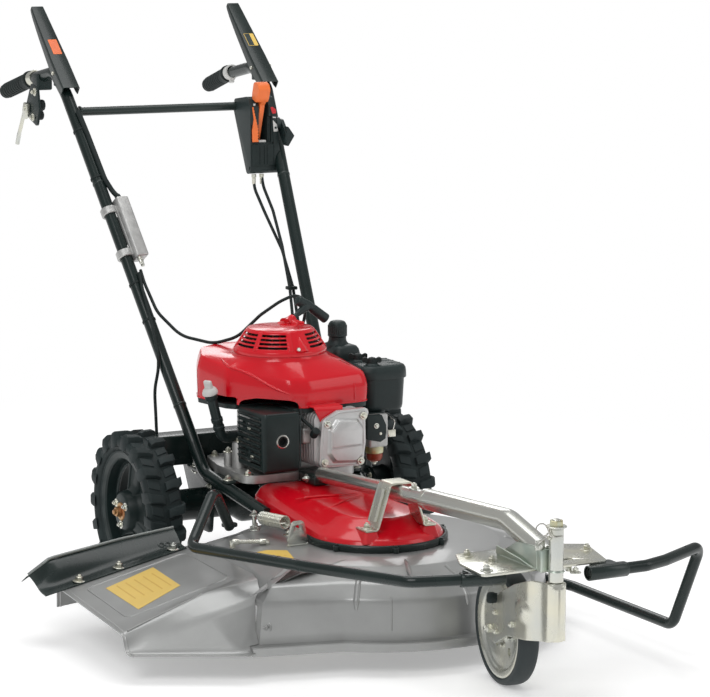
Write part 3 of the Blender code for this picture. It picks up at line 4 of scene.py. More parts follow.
import bmesh
import bpy
from mathutils import Matrix, Vector

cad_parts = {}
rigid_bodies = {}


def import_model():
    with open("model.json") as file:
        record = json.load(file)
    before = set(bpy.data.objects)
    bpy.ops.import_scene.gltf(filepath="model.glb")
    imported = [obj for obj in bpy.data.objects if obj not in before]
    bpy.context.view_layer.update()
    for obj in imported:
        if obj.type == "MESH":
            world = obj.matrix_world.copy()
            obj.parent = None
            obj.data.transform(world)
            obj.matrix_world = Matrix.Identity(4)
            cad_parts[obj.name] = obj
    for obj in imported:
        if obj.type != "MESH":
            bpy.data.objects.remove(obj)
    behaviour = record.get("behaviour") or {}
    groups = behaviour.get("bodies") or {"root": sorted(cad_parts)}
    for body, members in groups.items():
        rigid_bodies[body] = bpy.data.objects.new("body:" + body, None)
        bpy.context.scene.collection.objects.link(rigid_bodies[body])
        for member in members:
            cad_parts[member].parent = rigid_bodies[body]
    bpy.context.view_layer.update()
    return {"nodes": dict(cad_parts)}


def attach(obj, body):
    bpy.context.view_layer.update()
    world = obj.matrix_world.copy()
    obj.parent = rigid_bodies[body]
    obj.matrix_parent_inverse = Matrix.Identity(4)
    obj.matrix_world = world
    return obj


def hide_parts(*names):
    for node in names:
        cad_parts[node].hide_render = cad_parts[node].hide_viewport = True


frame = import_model()
X, Z = (1, 0, 0), (0, 0, 1)
moved = Matrix.Translation


def vec(*parts):
    return Vector(parts)


def mm(*points):
    """Points that are given in millimetres, as a list in metres."""
    return [tuple((c / 1000 for c in point)) for point in points]


def oblong(left, low, right, high):
    """The four corners of an upright rectangle."""
    return [(left, low), (right, low), (right, high), (left, high)]


SHIFT = vec(0.12283, 0.174934, 0)    # from the axle's own axes to the frame
RIGHT, LEFT = -1, 1
TAG = {RIGHT: "right", LEFT: "left"}
UP = vec(0, 0, 1)


# Materials

def new_material(name):
    material = bpy.data.materials.new(name)
    material.use_nodes = True
    return (material, material.node_tree.nodes, material.node_tree.links,
        material.node_tree.nodes["Principled BSDF"])


def add_node(nodes, kind, **values):
    """A new shader node; each value goes to the input of that name, with a space for an underscore."""
    node = nodes.new("ShaderNode" + kind)
    for name, value in values.items():
        node.inputs[name.replace("_", " ")].default_value = value
    return node


def surface(name, colour, rough, metal=0, drift=0, scale=30, grain=0, grain_scale=400, depth=0.0003, coat=0,
    edge=0.0008, spread=0.05, worn=None, stretch=(1, 1, 1), other=None, shine=0.5):
    """A procedural finish: slow colour drift, uneven gloss, a fine grain, and wear along the edges."""
    material, nodes, links, shader = new_material(name)
    place = add_node(nodes, "TexCoord")
    turn = add_node(nodes, "Mapping", Scale=stretch)
    links.new(place.outputs["Object"], turn.inputs["Vector"])
    noise = add_node(nodes, "TexNoise", Scale=scale, Detail=5)
    links.new(turn.outputs["Vector"], noise.inputs["Vector"])
    mix = add_node(nodes, "Mix")
    mix.data_type = "RGBA"
    mix.inputs["A"].default_value = (*[c * (1 - drift) for c in colour], 1)
    mix.inputs["B"].default_value = (*(other or [min(1, c * (1 + drift)) for c in colour]), 1)
    ramp = add_node(nodes, "MapRange", From_Min=0.3, From_Max=0.7)
    links.new(noise.outputs["Fac"], ramp.inputs["Value"])
    links.new(ramp.outputs["Result"], mix.inputs["Factor"])
    colour_out = mix.outputs["Result"]
    rounded = add_node(nodes, "Bevel", Radius=edge)
    rounded.samples = 4
    if worn:
        rim = add_node(nodes, "NewGeometry")
        mask = add_node(nodes, "MapRange", From_Min=0.53, From_Max=0.6, To_Max=0.5)
        links.new(rim.outputs["Pointiness"], mask.inputs["Value"])
        over = add_node(nodes, "Mix")
        over.data_type = "RGBA"
        over.inputs["B"].default_value = (*worn, 1)
        links.new(mask.outputs["Result"], over.inputs["Factor"])
        links.new(colour_out, over.inputs["A"])
        colour_out = over.outputs["Result"]
    links.new(colour_out, shader.inputs["Base Color"])
    gloss = add_node(nodes, "MapRange", To_Min=max(0.02, rough - spread), To_Max=min(1, rough + spread))
    links.new(noise.outputs["Fac"], gloss.inputs["Value"])
    links.new(gloss.outputs["Result"], shader.inputs["Roughness"])
    shader.inputs["Metallic"].default_value = metal
    shader.inputs["Specular IOR Level"].default_value = shine
    if coat:
        shader.inputs["Coat Weight"].default_value = coat
        shader.inputs["Coat Roughness"].default_value = 0.08
    normal = rounded.outputs["Normal"]
    if grain:
        fine = add_node(nodes, "TexNoise", Scale=grain_scale, Detail=3)
        links.new(turn.outputs["Vector"], fine.inputs["Vector"])
        dent = add_node(nodes, "Bump", Strength=grain, Distance=depth)
        links.new(fine.outputs["Fac"], dent.inputs["Height"])
        links.new(normal, dent.inputs["Normal"])
        normal = dent.outputs["Normal"]
    links.new(normal, shader.inputs["Normal"])
    return material


M = {
    "black": surface("black_paint", (0.008, 0.0165, 0.0152), 0.27, 0, 0.2, 14, 0.12, 700, coat=0.12,
        worn=(0.045, 0.06, 0.056), shine=0.32),
    "satin": surface("satin_black", (0.0105, 0.0205, 0.02), 0.4, 0, 0.2, 18, 0.25, 900, 0.0004,
        worn=(0.045, 0.06, 0.06), shine=0.3),
    "red": surface("red_paint", (0.66, 0.003, 0.013), 0.22, 0, 0.05, 9, 0.05, 260, coat=0.38, shine=0.3,
        worn=(0.78, 0.05, 0.06)),
    "grey": surface("silver_paint", (0.345, 0.35, 0.345), 0.4, 0.55, 0.05, 20, 0.1, 1500, coat=0.35),
    "zinc": surface("zinc_plate", (0.62, 0.64, 0.61), 0.27, 0.9, 0.06, 16, 0.08, 500,
        other=(0.72, 0.7, 0.58)),
    "green": surface("zinc_green", (0.42, 0.5, 0.45), 0.33, 0.85, 0.08, 20, 0.08, 500,
        other=(0.62, 0.66, 0.58)),
    "tube": surface("zinc_tube", (0.6, 0.615, 0.6), 0.24, 0.9, 0.07, 24, 0.1, 420, stretch=(1, 0.12, 1),
        other=(0.7, 0.7, 0.63)),
    "cast": surface("cast_alloy", (0.5, 0.5, 0.49), 0.43, 0.75, 0.12, 60, 0.45, 850, 0.0006),
    "cover": surface("cast_cover", (0.6, 0.605, 0.6), 0.38, 0.7, 0.06, 40, 0.35, 1100, 0.0004),
    "fins": surface("dark_alloy", (0.26, 0.26, 0.255), 0.5, 0.6, 0.18, 60, 0.4, 800, 0.0006),
    "rubber": surface("rubber", (0.011, 0.018, 0.0175), 0.58, 0, 0.22, 40, 0.35, 600, 0.0004, shine=0.3),
    "tyre": surface("tyre_rubber", (0.0135, 0.0225, 0.023), 0.64, 0, 0.22, 26, 0.4, 500, 0.0006,
        worn=(0.04, 0.052, 0.054), shine=0.32),
    "caster": surface("caster_rubber", (0.018, 0.027, 0.029), 0.55, 0, 0.1, 26, 0.2, 500),
    "plastic": surface("black_plastic", (0.0135, 0.024, 0.024), 0.42, 0, 0.14, 24, 0.45, 1300, 0.0004,
        worn=(0.05, 0.066, 0.066), shine=0.34),
    "orange": surface("orange_plastic", (0.93, 0.195, 0.04), 0.38, 0, 0.06, 30, 0.12, 900),
    "orange_dull": surface("orange_label", (0.8, 0.17, 0.055), 0.45, 0, 0.1, 90, 0.1, 900, 0.0002),
    "yellow_dark": surface("yellow_lines", (0.7, 0.43, 0.07), 0.45, 0, 0.06, 40, 0.05, 900, 0.0002),
    # painted highlight: a pale grey that stands for light caught on the deflector's black top edge
    "black_light": surface("painted_highlight_edge", (0.26, 0.28, 0.27), 0.34, 0.5, 0.12, 30, 0.12, 700),
    "red_mark": surface("red_mark", (0.62, 0.02, 0.03), 0.45, 0, 0.06, 30, 0.05, 900, 0.0002),
    "light": surface("light_plastic", (0.62, 0.62, 0.6), 0.42, 0, 0.06, 30, 0.1, 900),
    "steel": surface("steel", (0.5, 0.49, 0.46), 0.26, 1, 0.08, 40, 0.15, 600),
    "yellow": surface("yellow_label", (0.8, 0.55, 0.12), 0.42, 0, 0.03, 20, 0.05, 900, 0.0002),
    "brass": surface("brass", (0.5, 0.33, 0.13), 0.33, 0.9, 0.15, 40, 0.15, 700, other=(0.42, 0.2, 0.1)),
    # painted shade: a near-black finish put inside hollows and gaps where only shade falls
    "dark": surface("painted_shade_inside", (0.006, 0.008, 0.008), 0.7, 0, 0.2, 40, 0.2, 600),
    "rust": surface("fuel_bowl", (0.3, 0.045, 0.018), 0.35, 0.2, 0.15, 40, 0.1, 700),
    "honey": surface("yellow_zinc", (0.62, 0.48, 0.16), 0.3, 0.85, 0.12, 40, 0.1, 700,
        other=(0.55, 0.58, 0.45)),
}


# Shape helpers. Shapes are drawn about the axle's own axes; piece() moves them to the frame.

def temp(mesh, material="black"):
    """A draft with a finish. piece() joins drafts, and clear_drafts() removes them."""
    obj = bpy.data.objects.new("draft", mesh)
    bpy.context.scene.collection.objects.link(obj)
    obj["finish"] = material
    return obj


def mesh_from(bm):
    """A mesh from a bmesh, with its faces turned outward."""
    bmesh.ops.recalc_face_normals(bm, faces=bm.faces)
    mesh = bpy.data.meshes.new("draft")
    bm.to_mesh(mesh)
    bm.free()
    return mesh


def piece(name, body, parts, nodes=(), slot=None, angle=35):
    """Joins drafts into one visible piece that rides on a body and stands for CAD nodes."""
    bpy.context.view_layer.update()
    graph = bpy.context.evaluated_depsgraph_get()
    bm = bmesh.new()
    finishes = []
    for obj in parts:
        mesh = bpy.data.meshes.new_from_object(obj.evaluated_get(graph))
        mesh.transform(moved(SHIFT) @ obj.matrix_basis)
        finish = obj["finish"]
        if finish not in finishes:
            finishes.append(finish)
        count = len(bm.faces)
        bm.from_mesh(mesh)
        bpy.data.meshes.remove(mesh)
        bm.faces.ensure_lookup_table()
        fresh = bm.faces[count:]
        bmesh.ops.recalc_face_normals(bm, faces=fresh)
        for face in fresh:
            face.material_index = finishes.index(finish)
            face.smooth = True
    mesh = bpy.data.meshes.new(name)
    bm.to_mesh(mesh)
    bm.free()
    mesh.set_sharp_from_angle(angle=radians(angle))
    for finish in finishes:
        mesh.materials.append(M[finish])
    result = bpy.data.objects.new(name, mesh)
    bpy.context.scene.collection.objects.link(result)
    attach(result, body)
    if nodes:
        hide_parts(*nodes)
    slot or nodes[0]
    return result


def show(node, parts, body="machine", angle=35):
    """The visible piece that stands for one node of the solids."""
    return piece(node + "_visual", body, parts, [node], angle=angle)


def clear_drafts():
    for obj in [o for o in bpy.data.objects if o.name.startswith("draft")]:
        bpy.data.objects.remove(obj, do_unlink=True)


def bevel(obj, width, segments=3, angle=35):
    modifier = obj.modifiers.new("edges", "BEVEL")
    modifier.width = width
    modifier.segments = segments
    modifier.limit_method = "ANGLE"
    modifier.angle_limit = radians(angle)
    return obj


def boolean(obj, operation, tools):
    for tool in tools:
        modifier = obj.modifiers.new(operation.lower(), "BOOLEAN")
        modifier.operation = operation
        modifier.solver = "EXACT"
        modifier.object = tool
    return obj


def cut(obj, *tools):
    return boolean(obj, "DIFFERENCE", tools)


def block(low, high, material="black", edge=0, segments=3):
    """A box from its low and high corners."""
    low, high = Vector(low), Vector(high)
    bm = bmesh.new()
    bmesh.ops.create_cube(bm, size=1)
    bmesh.ops.scale(bm, vec=high - low, verts=bm.verts)
    obj = temp(mesh_from(bm), material)
    obj.matrix_basis = moved((low + high) / 2)
    return bevel(obj, edge, segments) if edge else obj


def aim(direction):
    """The turn that takes Z to a direction."""
    return Vector(direction).to_track_quat("Z", "Y").to_matrix().to_4x4()


def turned(profile, material="black", centre=(0, 0, 0), axis=Z, steps=64, closed=False):
    """A lathe shape from (radius, height) points that run top to bottom down the outer side."""
    bm = bmesh.new()
    rings = []
    for radius, height in profile:
        if radius < 1e-07:
            rings.append([bm.verts.new((0, 0, height))])
        else:
            rings.append([bm.verts.new((radius * cos(tau * i / steps), radius * sin(tau * i / steps), height))
                for i in range(steps)])
    pairs = list(zip(rings, rings[1:]))
    if closed:
        pairs.append((rings[-1], rings[0]))
    for one, two in pairs:
        for i in range(steps):
            j = (i + 1) % steps
            if len(one) == 1 and len(two) == 1:
                break
            if len(one) == 1:
                bm.faces.new((one[0], two[i], two[j]))
            elif len(two) == 1:
                bm.faces.new((one[i], two[0], one[j]))
            else:
                bm.faces.new((one[i], two[i], two[j], one[j]))
    obj = temp(mesh_from(bm), material)
    obj.matrix_basis = moved(centre) @ aim(axis)
    return obj


def rod(start, end, radius, material="black", sides=32, edge=0):
    """A straight round bar between two points, with softened ends where edge is given."""
    start, end = Vector(start), Vector(end)
    length = (end - start).length
    if edge:
        profile = [(0, length), (radius - edge, length), (radius - edge * 0.3, length - edge * 0.3),
            (radius, length - edge), (radius, edge), (radius - edge * 0.3, edge * 0.3), (radius - edge, 0),
            (0, 0)]
    else:
        profile = [(0, length), (radius, length), (radius, 0), (0, 0)]
    return turned(profile, material, start, end - start, sides)


def as_mesh(curve, material, matrix=None):
    """A filled curve as a draft."""
    obj = bpy.data.objects.new("draft", curve)
    bpy.context.scene.collection.objects.link(obj)
    mesh = bpy.data.meshes.new_from_object(obj.evaluated_get(bpy.context.evaluated_depsgraph_get()))
    bpy.data.objects.remove(obj, do_unlink=True)
    bm = bmesh.new()
    bm.from_mesh(mesh)
    bpy.data.meshes.remove(mesh)
    bmesh.ops.remove_doubles(bm, verts=bm.verts, dist=1e-05)
    result = temp(mesh_from(bm), material)
    if matrix is not None:
        result.matrix_basis = matrix
    return result


def tube(points, radius, material="black", sides=24, caps=True, radii=None):
    """A round tube swept along points, with rounded end rims."""
    points = [Vector(p) for p in points]
    rings = []
    across = None
    for i, place in enumerate(points):
        before = points[max(i - 1, 0)]
        after = points[min(i + 1, len(points) - 1)]
        along = (after - before).normalized()
        if across is None:
            across = along.orthogonal().normalized()
        across = (across - along * across.dot(along)).normalized()
        up = along.cross(across)
        wide = radii[i] if radii else radius
        rings.append([place + (across * cos(tau * k / sides) + up * sin(tau * k / sides)) * wide
            for k in range(sides)])
    return loft(rings, material, caps, caps)


def plate(outline, thickness, material="black", matrix=None, holes=(), edge=0, segments=2):
    """A flat sheet from its outline and holes, with its middle on the given plane."""
    curve = bpy.data.curves.new("draft", "CURVE")
    curve.dimensions = "2D"
    curve.fill_mode = "BOTH"
    curve.extrude = thickness / 2
    for loop in (outline, *holes):
        spline = curve.splines.new("POLY")
        spline.points.add(len(loop) - 1)
        for point, place in zip(spline.points, loop):
            point.co = (place[0], place[1], 0, 1)
        spline.use_cyclic_u = True
    obj = as_mesh(curve, material, matrix)
    return bevel(obj, edge, segments, 50) if edge else obj


def circle(radius, centre=(0, 0), count=32, start=0, sweep=tau):
    """Points round a circle, or along an arc of it."""
    whole = abs(sweep - tau) < 1e-06
    steps = count if whole else count - 1
    angles = (start + sweep * i / steps for i in range(count))
    return [(centre[0] + radius * cos(a), centre[1] + radius * sin(a)) for a in angles]


def fillet(points, radius, steps=8, closed=False):
    """A path with rounded corners."""
    path = [Vector(p) for p in points]
    count = len(path)
    result = []
    for i, corner in enumerate(path):
        if not closed and i in (0, count - 1):
            result.append(corner)
            continue
        back = path[i - 1] - corner
        ahead = path[(i + 1) % count] - corner
        half = back.angle(ahead) / 2
        if half > 1.55:
            result.append(corner)
            continue
        reach = min(radius / tan(half), 0.48 * back.length, 0.48 * ahead.length)
        real = reach * tan(half)
        middle = corner + (back.normalized() + ahead.normalized()).normalized() * real / sin(half)
        first = corner + back.normalized() * reach - middle
        last = corner + ahead.normalized() * reach - middle
        for k in range(steps + 1):
            between = first.lerp(last, k / steps)
            result.append(middle + between.normalized() * real)
    return [tuple(p) for p in result]


def walls(rings, cap_start=True, cap_end=True, closed=True):
    """Quads from each ring of points to the next one, and flat ends."""
    bm = bmesh.new()
    loops = [[bm.verts.new(p) for p in ring] for ring in rings]
    count = len(rings[0])
    for one, two in zip(loops, loops[1:]):
        for i in range(count if closed else count - 1):
            j = (i + 1) % count
            bm.faces.new((one[i], one[j], two[j], two[i]))
    if cap_start:
        bm.faces.new(loops[0])
    if cap_end:
        bm.faces.new(loops[-1])
    return bm


def loft(rings, material="black", cap_start=True, cap_end=True, closed=True):
    """A body through rings of points."""
    return temp(mesh_from(walls(rings, cap_start, cap_end, closed)), material)


def skin(rows, material="black"):
    """An open sheet through rows of points, for thicken()."""
    return loft(rows, material, False, False, False)


def thicken(obj, thickness, offset=-1):
    """Makes a sheet solid. With offset 0 the sheet stays in the middle."""
    modifier = obj.modifiers.new("sheet", "SOLIDIFY")
    modifier.thickness = thickness
    modifier.offset = offset
    modifier.use_even_offset = True
    return obj


def inset(outline, distance):
    """An outline moved in by a distance."""
    count = len(outline)
    result = []
    for i, (x, y) in enumerate(outline):
        ax, ay = outline[i - 1]
        bx, by = outline[(i + 1) % count]
        first = vec(ay - y, x - ax).normalized()
        second = vec(y - by, bx - x).normalized()
        middle = (first + second).normalized()
        move = middle * distance / middle.dot(first)
        result.append((x + move.x, y + move.y))
    return result


def at_height(outline, z):
    return [(x, y, z) for x, y in outline]


def by_angle(corners, centre, count):
    """An outline's points in even steps of bearing from a centre."""
    result = []
    for i in range(count):
        angle = tau * i / count
        ray = vec(cos(angle), sin(angle))
        best = None
        for k, corner in enumerate(corners):
            one = Vector(corners[k - 1]) - Vector(centre)
            edge = Vector(corner) - Vector(centre) - one
            bottom = ray.x * edge.y - ray.y * edge.x
            if abs(bottom) < 1e-09:
                continue
            far = (one.x * edge.y - one.y * edge.x) / bottom
            along = (one.x * ray.y - one.y * ray.x) / bottom
            if far > 0 and -1e-06 <= along <= 1 + 1e-06 and (best is None or far > best):
                best = far
        result.append((centre[0] + ray.x * best, centre[1] + ray.y * best))
    return result


def side_plane(x):
    """Local X to world Y, local Y to world Z, at a distance to the side."""
    return Matrix(((0, 0, 1, x), (1, 0, 0, 0), (0, 1, 0, 0), (0, 0, 0, 1)))


def front_plane(y):
    """Local X to world X, local Y to world Z, at a distance to the rear."""
    return Matrix(((1, 0, 0, 0), (0, 0, -1, y), (0, 1, 0, 0), (0, 0, 0, 1)))


def bolt(place, axis, size=0.0065, material="zinc", washer=True, stud=True):
    """A hexagon nut with its washer and the rounded stud end, standing on a surface."""
    place, axis = Vector(place), Vector(axis).normalized()
    parts = []
    base = 0
    if washer:
        parts.append(turned([(0, 0.0014), (size * 1.55, 0.0014), (size * 1.65, 0.0009),
            (size * 1.65, -0.0004), (0, -0.0004)], material, place, axis, 28))
        base = 0.0012
    high = size * 1.05
    profile = [(0, high), (size * 0.8, high), (size * 0.97, high - size * 0.12), (size * 1, size * 0.1),
        (size * 0.9, -0.0003), (0, -0.0003)]
    parts.append(turned(profile, material, place + axis * base, axis, 6))
    if stud:
        parts.append(turned([(0, high + size * 0.5), (size * 0.38, high + size * 0.45),
            (size * 0.5, high + size * 0.3), (size * 0.5, high - size * 0.3), (0, high - size * 0.3)],
            material, place + axis * base, axis, 20))
    return parts


def flat_disc(place, axis, radius, thick, material):
    return turned([(0, thick), (radius * 0.93, thick), (radius, thick * 0.6), (radius, 0), (0, 0)], material,
        place, axis, 32)


# Rear wheels

WHEEL_R, TRACK = 0.156, 0.543
LUGS = 18


def lug(stations, lean):
    """One tread block: a row of tapered sections across the tyre, with rounded edges."""
    rings = []
    for k, (across, foot, top, wide_foot, wide_top) in enumerate(stations):
        shift = lean * (k / (len(stations) - 1) - 0.5) * 2
        rings.append([(foot, shift - wide_foot, across), (foot, shift + wide_foot, across),
            (top, shift + wide_top, across), (top, shift - wide_top, across)])
    bm = walls(rings)
    bmesh.ops.recalc_face_normals(bm, faces=bm.faces)
    sharp = [e for e in bm.edges if len(e.link_faces) == 2 and e.calc_face_angle() > 0.5]
    bmesh.ops.bevel(bm, geom=sharp, offset=0.0013, segments=2, affect="EDGES", profile=0.6)
    mesh = bpy.data.meshes.new("lug")
    bm.to_mesh(mesh)
    bm.free()
    return mesh


def tread(side):
    centre = vec(side * TRACK / 2, 0, WHEEL_R)
    bm = bmesh.new()
    for half in (-1, 1):
        block_mesh = lug([(half * 0.003, 0.139, 0.1535, 0.01, 0.0078), (half * 0.012, 0.139, WHEEL_R, 0.0108,
            0.0078), (half * 0.0325, 0.136, WHEEL_R, 0.0112, 0.0082), (half * 0.0372, 0.128, 0.153, 0.0108,
            0.0078), (half * 0.0392, 0.124, 0.144, 0.0095, 0.0068)], -0.0065)
        pad_mesh = lug([(half * 0.0075, 0.141, 0.1475, 0.0095, 0.0085), (half * 0.03, 0.139, 0.1475, 0.0095,
            0.0085)], -0.004)
        for i in range(LUGS):
            for mesh, phase in ((block_mesh, 0), (pad_mesh, 0.5)):
                turn = tau * (i + phase + 0.25 * (half + 1)) / LUGS
                count = len(bm.verts)
                bm.from_mesh(mesh)
                bm.verts.ensure_lookup_table()
                bmesh.ops.rotate(bm, verts=bm.verts[count:], cent=(0, 0, 0), matrix=Matrix.Rotation(turn, 3,
                    "Z"))
    obj = temp(mesh_from(bm), "tyre")
    obj.matrix_basis = moved(centre) @ aim(X)
    return obj


def mirrored(half):
    """A whole section from its upper half; a point on the middle line stays single."""
    return [*half, *[(r, -h) for r, h in reversed(half) if h]]


def rear_wheel(side):
    centre = vec(side * TRACK / 2, 0, WHEEL_R)
    half = mm((112.3, 24.5), (113.5, 27.5), (116.5, 30), (118, 30), (119, 28.8), (120, 28.8), (121, 31.2),
        (122.5, 33.2), (126.5, 35.2), (127.5, 34.5), (128.5, 35.4), (133, 36.2), (138, 35.8), (142, 33.8),
        (144.5, 30), (145.5, 24), (145.8, 10))
    body = turned(mirrored(half), "tyre", centre, X, 96, True)
    show("tyre_" + TAG[side], [body, tread(side)], "wheel_" + TAG[side], angle=40)

    half = mm((100.5, 6), (101.5, 23), (104, 26.2), (108.5, 27.2), (115, 28.5), (116.2, 27.8), (115.5, 25.5),
        (111.8, 24), (108, 20), (106, 12))
    outward = moved(centre) @ aim((side, 0, 0))
    barrel = turned(mirrored(half), "satin", centre, (side, 0, 0), 96, True)
    holes, rolled = [], []
    for k in range(3):
        turn = tau * k / 3 + 0.3
        arc = circle(0.0925, count=9, start=turn - 0.6, sweep=1.2)
        apex = 0.048 * cos(turn), 0.048 * sin(turn)
        opening = [p[:2] for p in fillet([*arc, apex], 0.01, 6, closed=True)]
        holes.append(opening)
        ring = [vec(x, y, 0.0035) for x, y in opening]
        edge = tube([outward @ p for p in [*ring, ring[0]]], 0.003, "satin", 10, caps=False)
        rolled.append(edge)
    disc = plate(circle(0.1025, count=96), 0.0045, "satin", outward @ moved((0, 0, 0.0015)), holes,
        edge=0.0008)
    dome = turned(mm((0, 34.5), (32.5, 34.5), (35.5, 33), (37.5, 30), (40.5, 16), (44, 7), (48, 4), (48, 1),
        (40, 0.5), (36, -30), (33, -34), (0, -34)), "satin", centre, (side, 0, 0), 72)
    ribs = []
    for k in range(3):
        turn = tau * (k + 0.5) / 3 + 0.3
        way = vec(cos(turn), sin(turn), 0)
        across = vec(-way.y, way.x, 0)
        rings = []
        for reach, wide, high in ((0.036, 0.02, 0.02), (0.052, 0.016, 0.011), (0.074, 0.013, 0.0075),
            (0.094, 0.018, 0.006)):
            middle = way * reach
            rings.append([outward @ (middle + across * wide + vec(0, 0, 0.001)),
                outward @ (middle + across * wide * 0.72 + vec(0, 0, high)),
                outward @ (middle - across * wide * 0.72 + vec(0, 0, high)),
                outward @ (middle - across * wide + vec(0, 0, 0.001))])
        ribs.append(bevel(loft(rings, "satin"), 0.003, 3, 20))
    fixings = [
        *bolt(outward @ vec(0, 0, 0.0345), (side, 0, 0), 0.0105, "brass"),
        turned(mm((16.5, 37), (17.5, 36.2), (18, 34), (12, 34), (12, 37)), "brass", centre, (side, 0, 0), 48,
            True),
    ]
    for angle in (-1.57, 0.52, 2.62):
        spot = centre + vec(side * 0.0345, 0.0262 * cos(angle), 0.0262 * sin(angle))
        fixings += bolt(spot, (side, 0, 0), 0.005)
    show("rim_" + TAG[side], [barrel, disc, dome, *ribs, *rolled, *fixings], "wheel_" + TAG[side], angle=32)


for wheel_side in (RIGHT, LEFT):
    rear_wheel(wheel_side)


# Frame tubes and handles

TUBE_R = 0.0125


def handle_point(side, z):
    """A frame tube's middle at a height."""
    rise = z - 0.248
    return vec(side * (0.15 + 0.1133 * rise), -0.028 + 0.702 * rise, z)


def grip_line(side):
    return vec(side * 0.23, 0.652, 0.957), vec(side * 0.239, 0.779, 0.925)


def frame_path(side, steps=12):
    """A frame tube's middle line from the deck's front to the grip's end."""
    start, end = grip_line(side)
    corners = [(side * 0.118, -0.262, 0.183), (side * 0.142, -0.13, 0.212), (side * 0.15, -0.05, 0.226),
        handle_point(side, 0.278), handle_point(side, 0.936), (side * 0.2275, 0.52, 0.979), start, end]
    return fillet(corners, 0.055, steps)


def seat(side, extra=0.0006):
    """A cutter that makes room for a frame tube."""
    return tube(frame_path(side), TUBE_R + extra, "black", 32)


def along_tube(side, z, reach, radius, material, edge=0.0015):
    """A sleeve or tie round a straight stretch of a handle tube."""
    low, high = handle_point(side, z), handle_point(side, z + reach)
    way = (high - low).normalized()
    length = (high - low).length
    profile = [(TUBE_R - 0.001, length), (radius - edge, length), (radius, length - edge), (radius, edge),
        (radius - edge, 0), (TUBE_R - 0.001, 0)]
    return turned(profile, material, low, way, 48, True)


for side in (RIGHT, LEFT):
    tag = TAG[side]
    parts = [tube(frame_path(side), TUBE_R, "black", 40)]
    for z in (0.345, 0.76):
        parts.append(along_tube(side, z, 0.004, TUBE_R + 0.0008, "black", 0.0006))
    show("frame_tube_" + tag, parts, angle=50)

ends = [handle_point(s, 0.902) - vec(s * 0.014, 0, 0) for s in (RIGHT, LEFT)]
parts = [tube(ends, 0.009, "black", 32)]
for place, way in ((ends[0], 1), (ends[1], -1)):
    bead = [(0.0088, 0.005), (0.0115, 0.003), (0.0118, 0.0005), (0.0088, 0)]
    parts.append(turned(bead, "black", place, (way, 0, 0), 32, True))
show("cross_bar", parts, angle=40)


def grip(side):
    start, end = grip_line(side)
    way = (end - start).normalized()
    length = (end - start).length + 0.006
    r = 0.0155
    profile = [(0, length), (r - 0.006, length), (r - 0.002, length - 0.001), (r, length - 0.004),
        (r, length - 0.007)]
    ribs, low = 10, 0.02
    pitch = (length - 0.012 - low) / ribs
    for k in range(ribs):
        top = length - 0.01 - k * pitch
        profile += [(r - 0.0012, top), (r - 0.0012, top - pitch * 0.3), (r + 0.001, top - pitch * 0.42),
            (r + 0.0014, top - pitch * 0.62), (r + 0.001, top - pitch * 0.86)]
    profile += [(r, low - 0.004), (r + 0.001, 0.011), (r + 0.003, 0.009), (r + 0.0034, 0.006),
        (r + 0.003, 0.001), (r + 0.001, 0), (TUBE_R + 0.0004, 0), (TUBE_R + 0.0004, 0.01)]
    sleeve = turned(profile, "rubber", start, way, 56)
    show("grip_" + TAG[side], [sleeve], angle=40)


for side in (RIGHT, LEFT):
    grip(side)

LEVER_PIVOT = vec(0.226, 0.4865, 0.9785)
LEVER_ALONG = vec(0, cos(radians(40)), sin(radians(40)))
LEVER_OUT = vec(0, -LEVER_ALONG.z, LEVER_ALONG.y)


def lever_matrix(side, reach=0, out=0):
    """A plane across a channel lever, at a distance along it and out from it."""
    pivot = vec(side * LEVER_PIVOT.x, LEVER_PIVOT.y, LEVER_PIVOT.z) + LEVER_ALONG * reach + LEVER_OUT * out
    a, o = LEVER_ALONG, LEVER_OUT
    return Matrix(((1, a.x, o.x, pivot.x), (0, a.y, o.y, pivot.y), (0, a.z, o.z, pivot.z), (0, 0, 0, 1)))


# plain labels on the levers' webs: place along the lever, sheet with its finish, field with its finish
LEVER_LABELS = {
    RIGHT: (0.062, (-0.0085, -0.022, 0.0105, 0.022), "orange", (-0.006, -0.0195, 0.0085, 0.0195),
        "orange_dull"),
    LEFT: (0.07, (-0.0105, -0.019, 0.012, 0.019), "yellow", (-0.0095, -0.018, 0.0025, 0.018), "satin"),
}


def lever(side, name):
    """A channel lever with its labels."""
    half, t, rise, deep = 0.0185, 0.002, 0.016, 0.024
    section = []
    for sign, wall in ((-1, half), (1, half - t)):
        high = rise if sign < 0 else rise - t
        row = [(-wall, rise - deep), (-wall, rise - 0.01), (-wall, high - 0.003),
            (-wall + 0.0009, high - 0.0009), (-wall + 0.003, high), (0, high)]
        row += [(-x, v) for x, v in reversed(row[:-1])]
        section += row if sign < 0 else row[::-1]
    stations = [(-0.06, 1, 0.8), (-0.048, 1, 0.92), (-0.024, 1, 1), (0.022, 1, 1), (0.06, 0.94, 0.93),
        (0.112, 0.86, 0.8), (0.16, 0.79, 0.6), (0.178, 0.75, 0.48), (0.1845, 0.735, 0.41),
        (0.187, 0.71, 0.36)]
    matrix = lever_matrix(side)
    rings = []
    for reach, wide, taper in stations:
        rings.append([matrix @ vec(x * wide, reach, rise + (v - rise) * taper) for x, v in section])
    body = loft(rings, "black")
    pivot = matrix.translation
    hole = vec(0.04, 0, 0)
    cut(body, rod(pivot - hole, pivot + hole, 0.0045))
    reach, sheet, finish, field, field_finish = LEVER_LABELS[side]
    label = plate(fillet(oblong(*sheet), 0.0015, 3, True), 0.0006, finish,
        lever_matrix(side, reach, rise + 0.0002))
    mark = plate(fillet(oblong(*field), 0.001, 3, True), 0.0008, field_finish,
        lever_matrix(side, reach, rise + 0.0003))
    show(name, [body, label, mark], name, 40)


lever(RIGHT, "drive_lever")
lever(LEFT, "blade_lever")


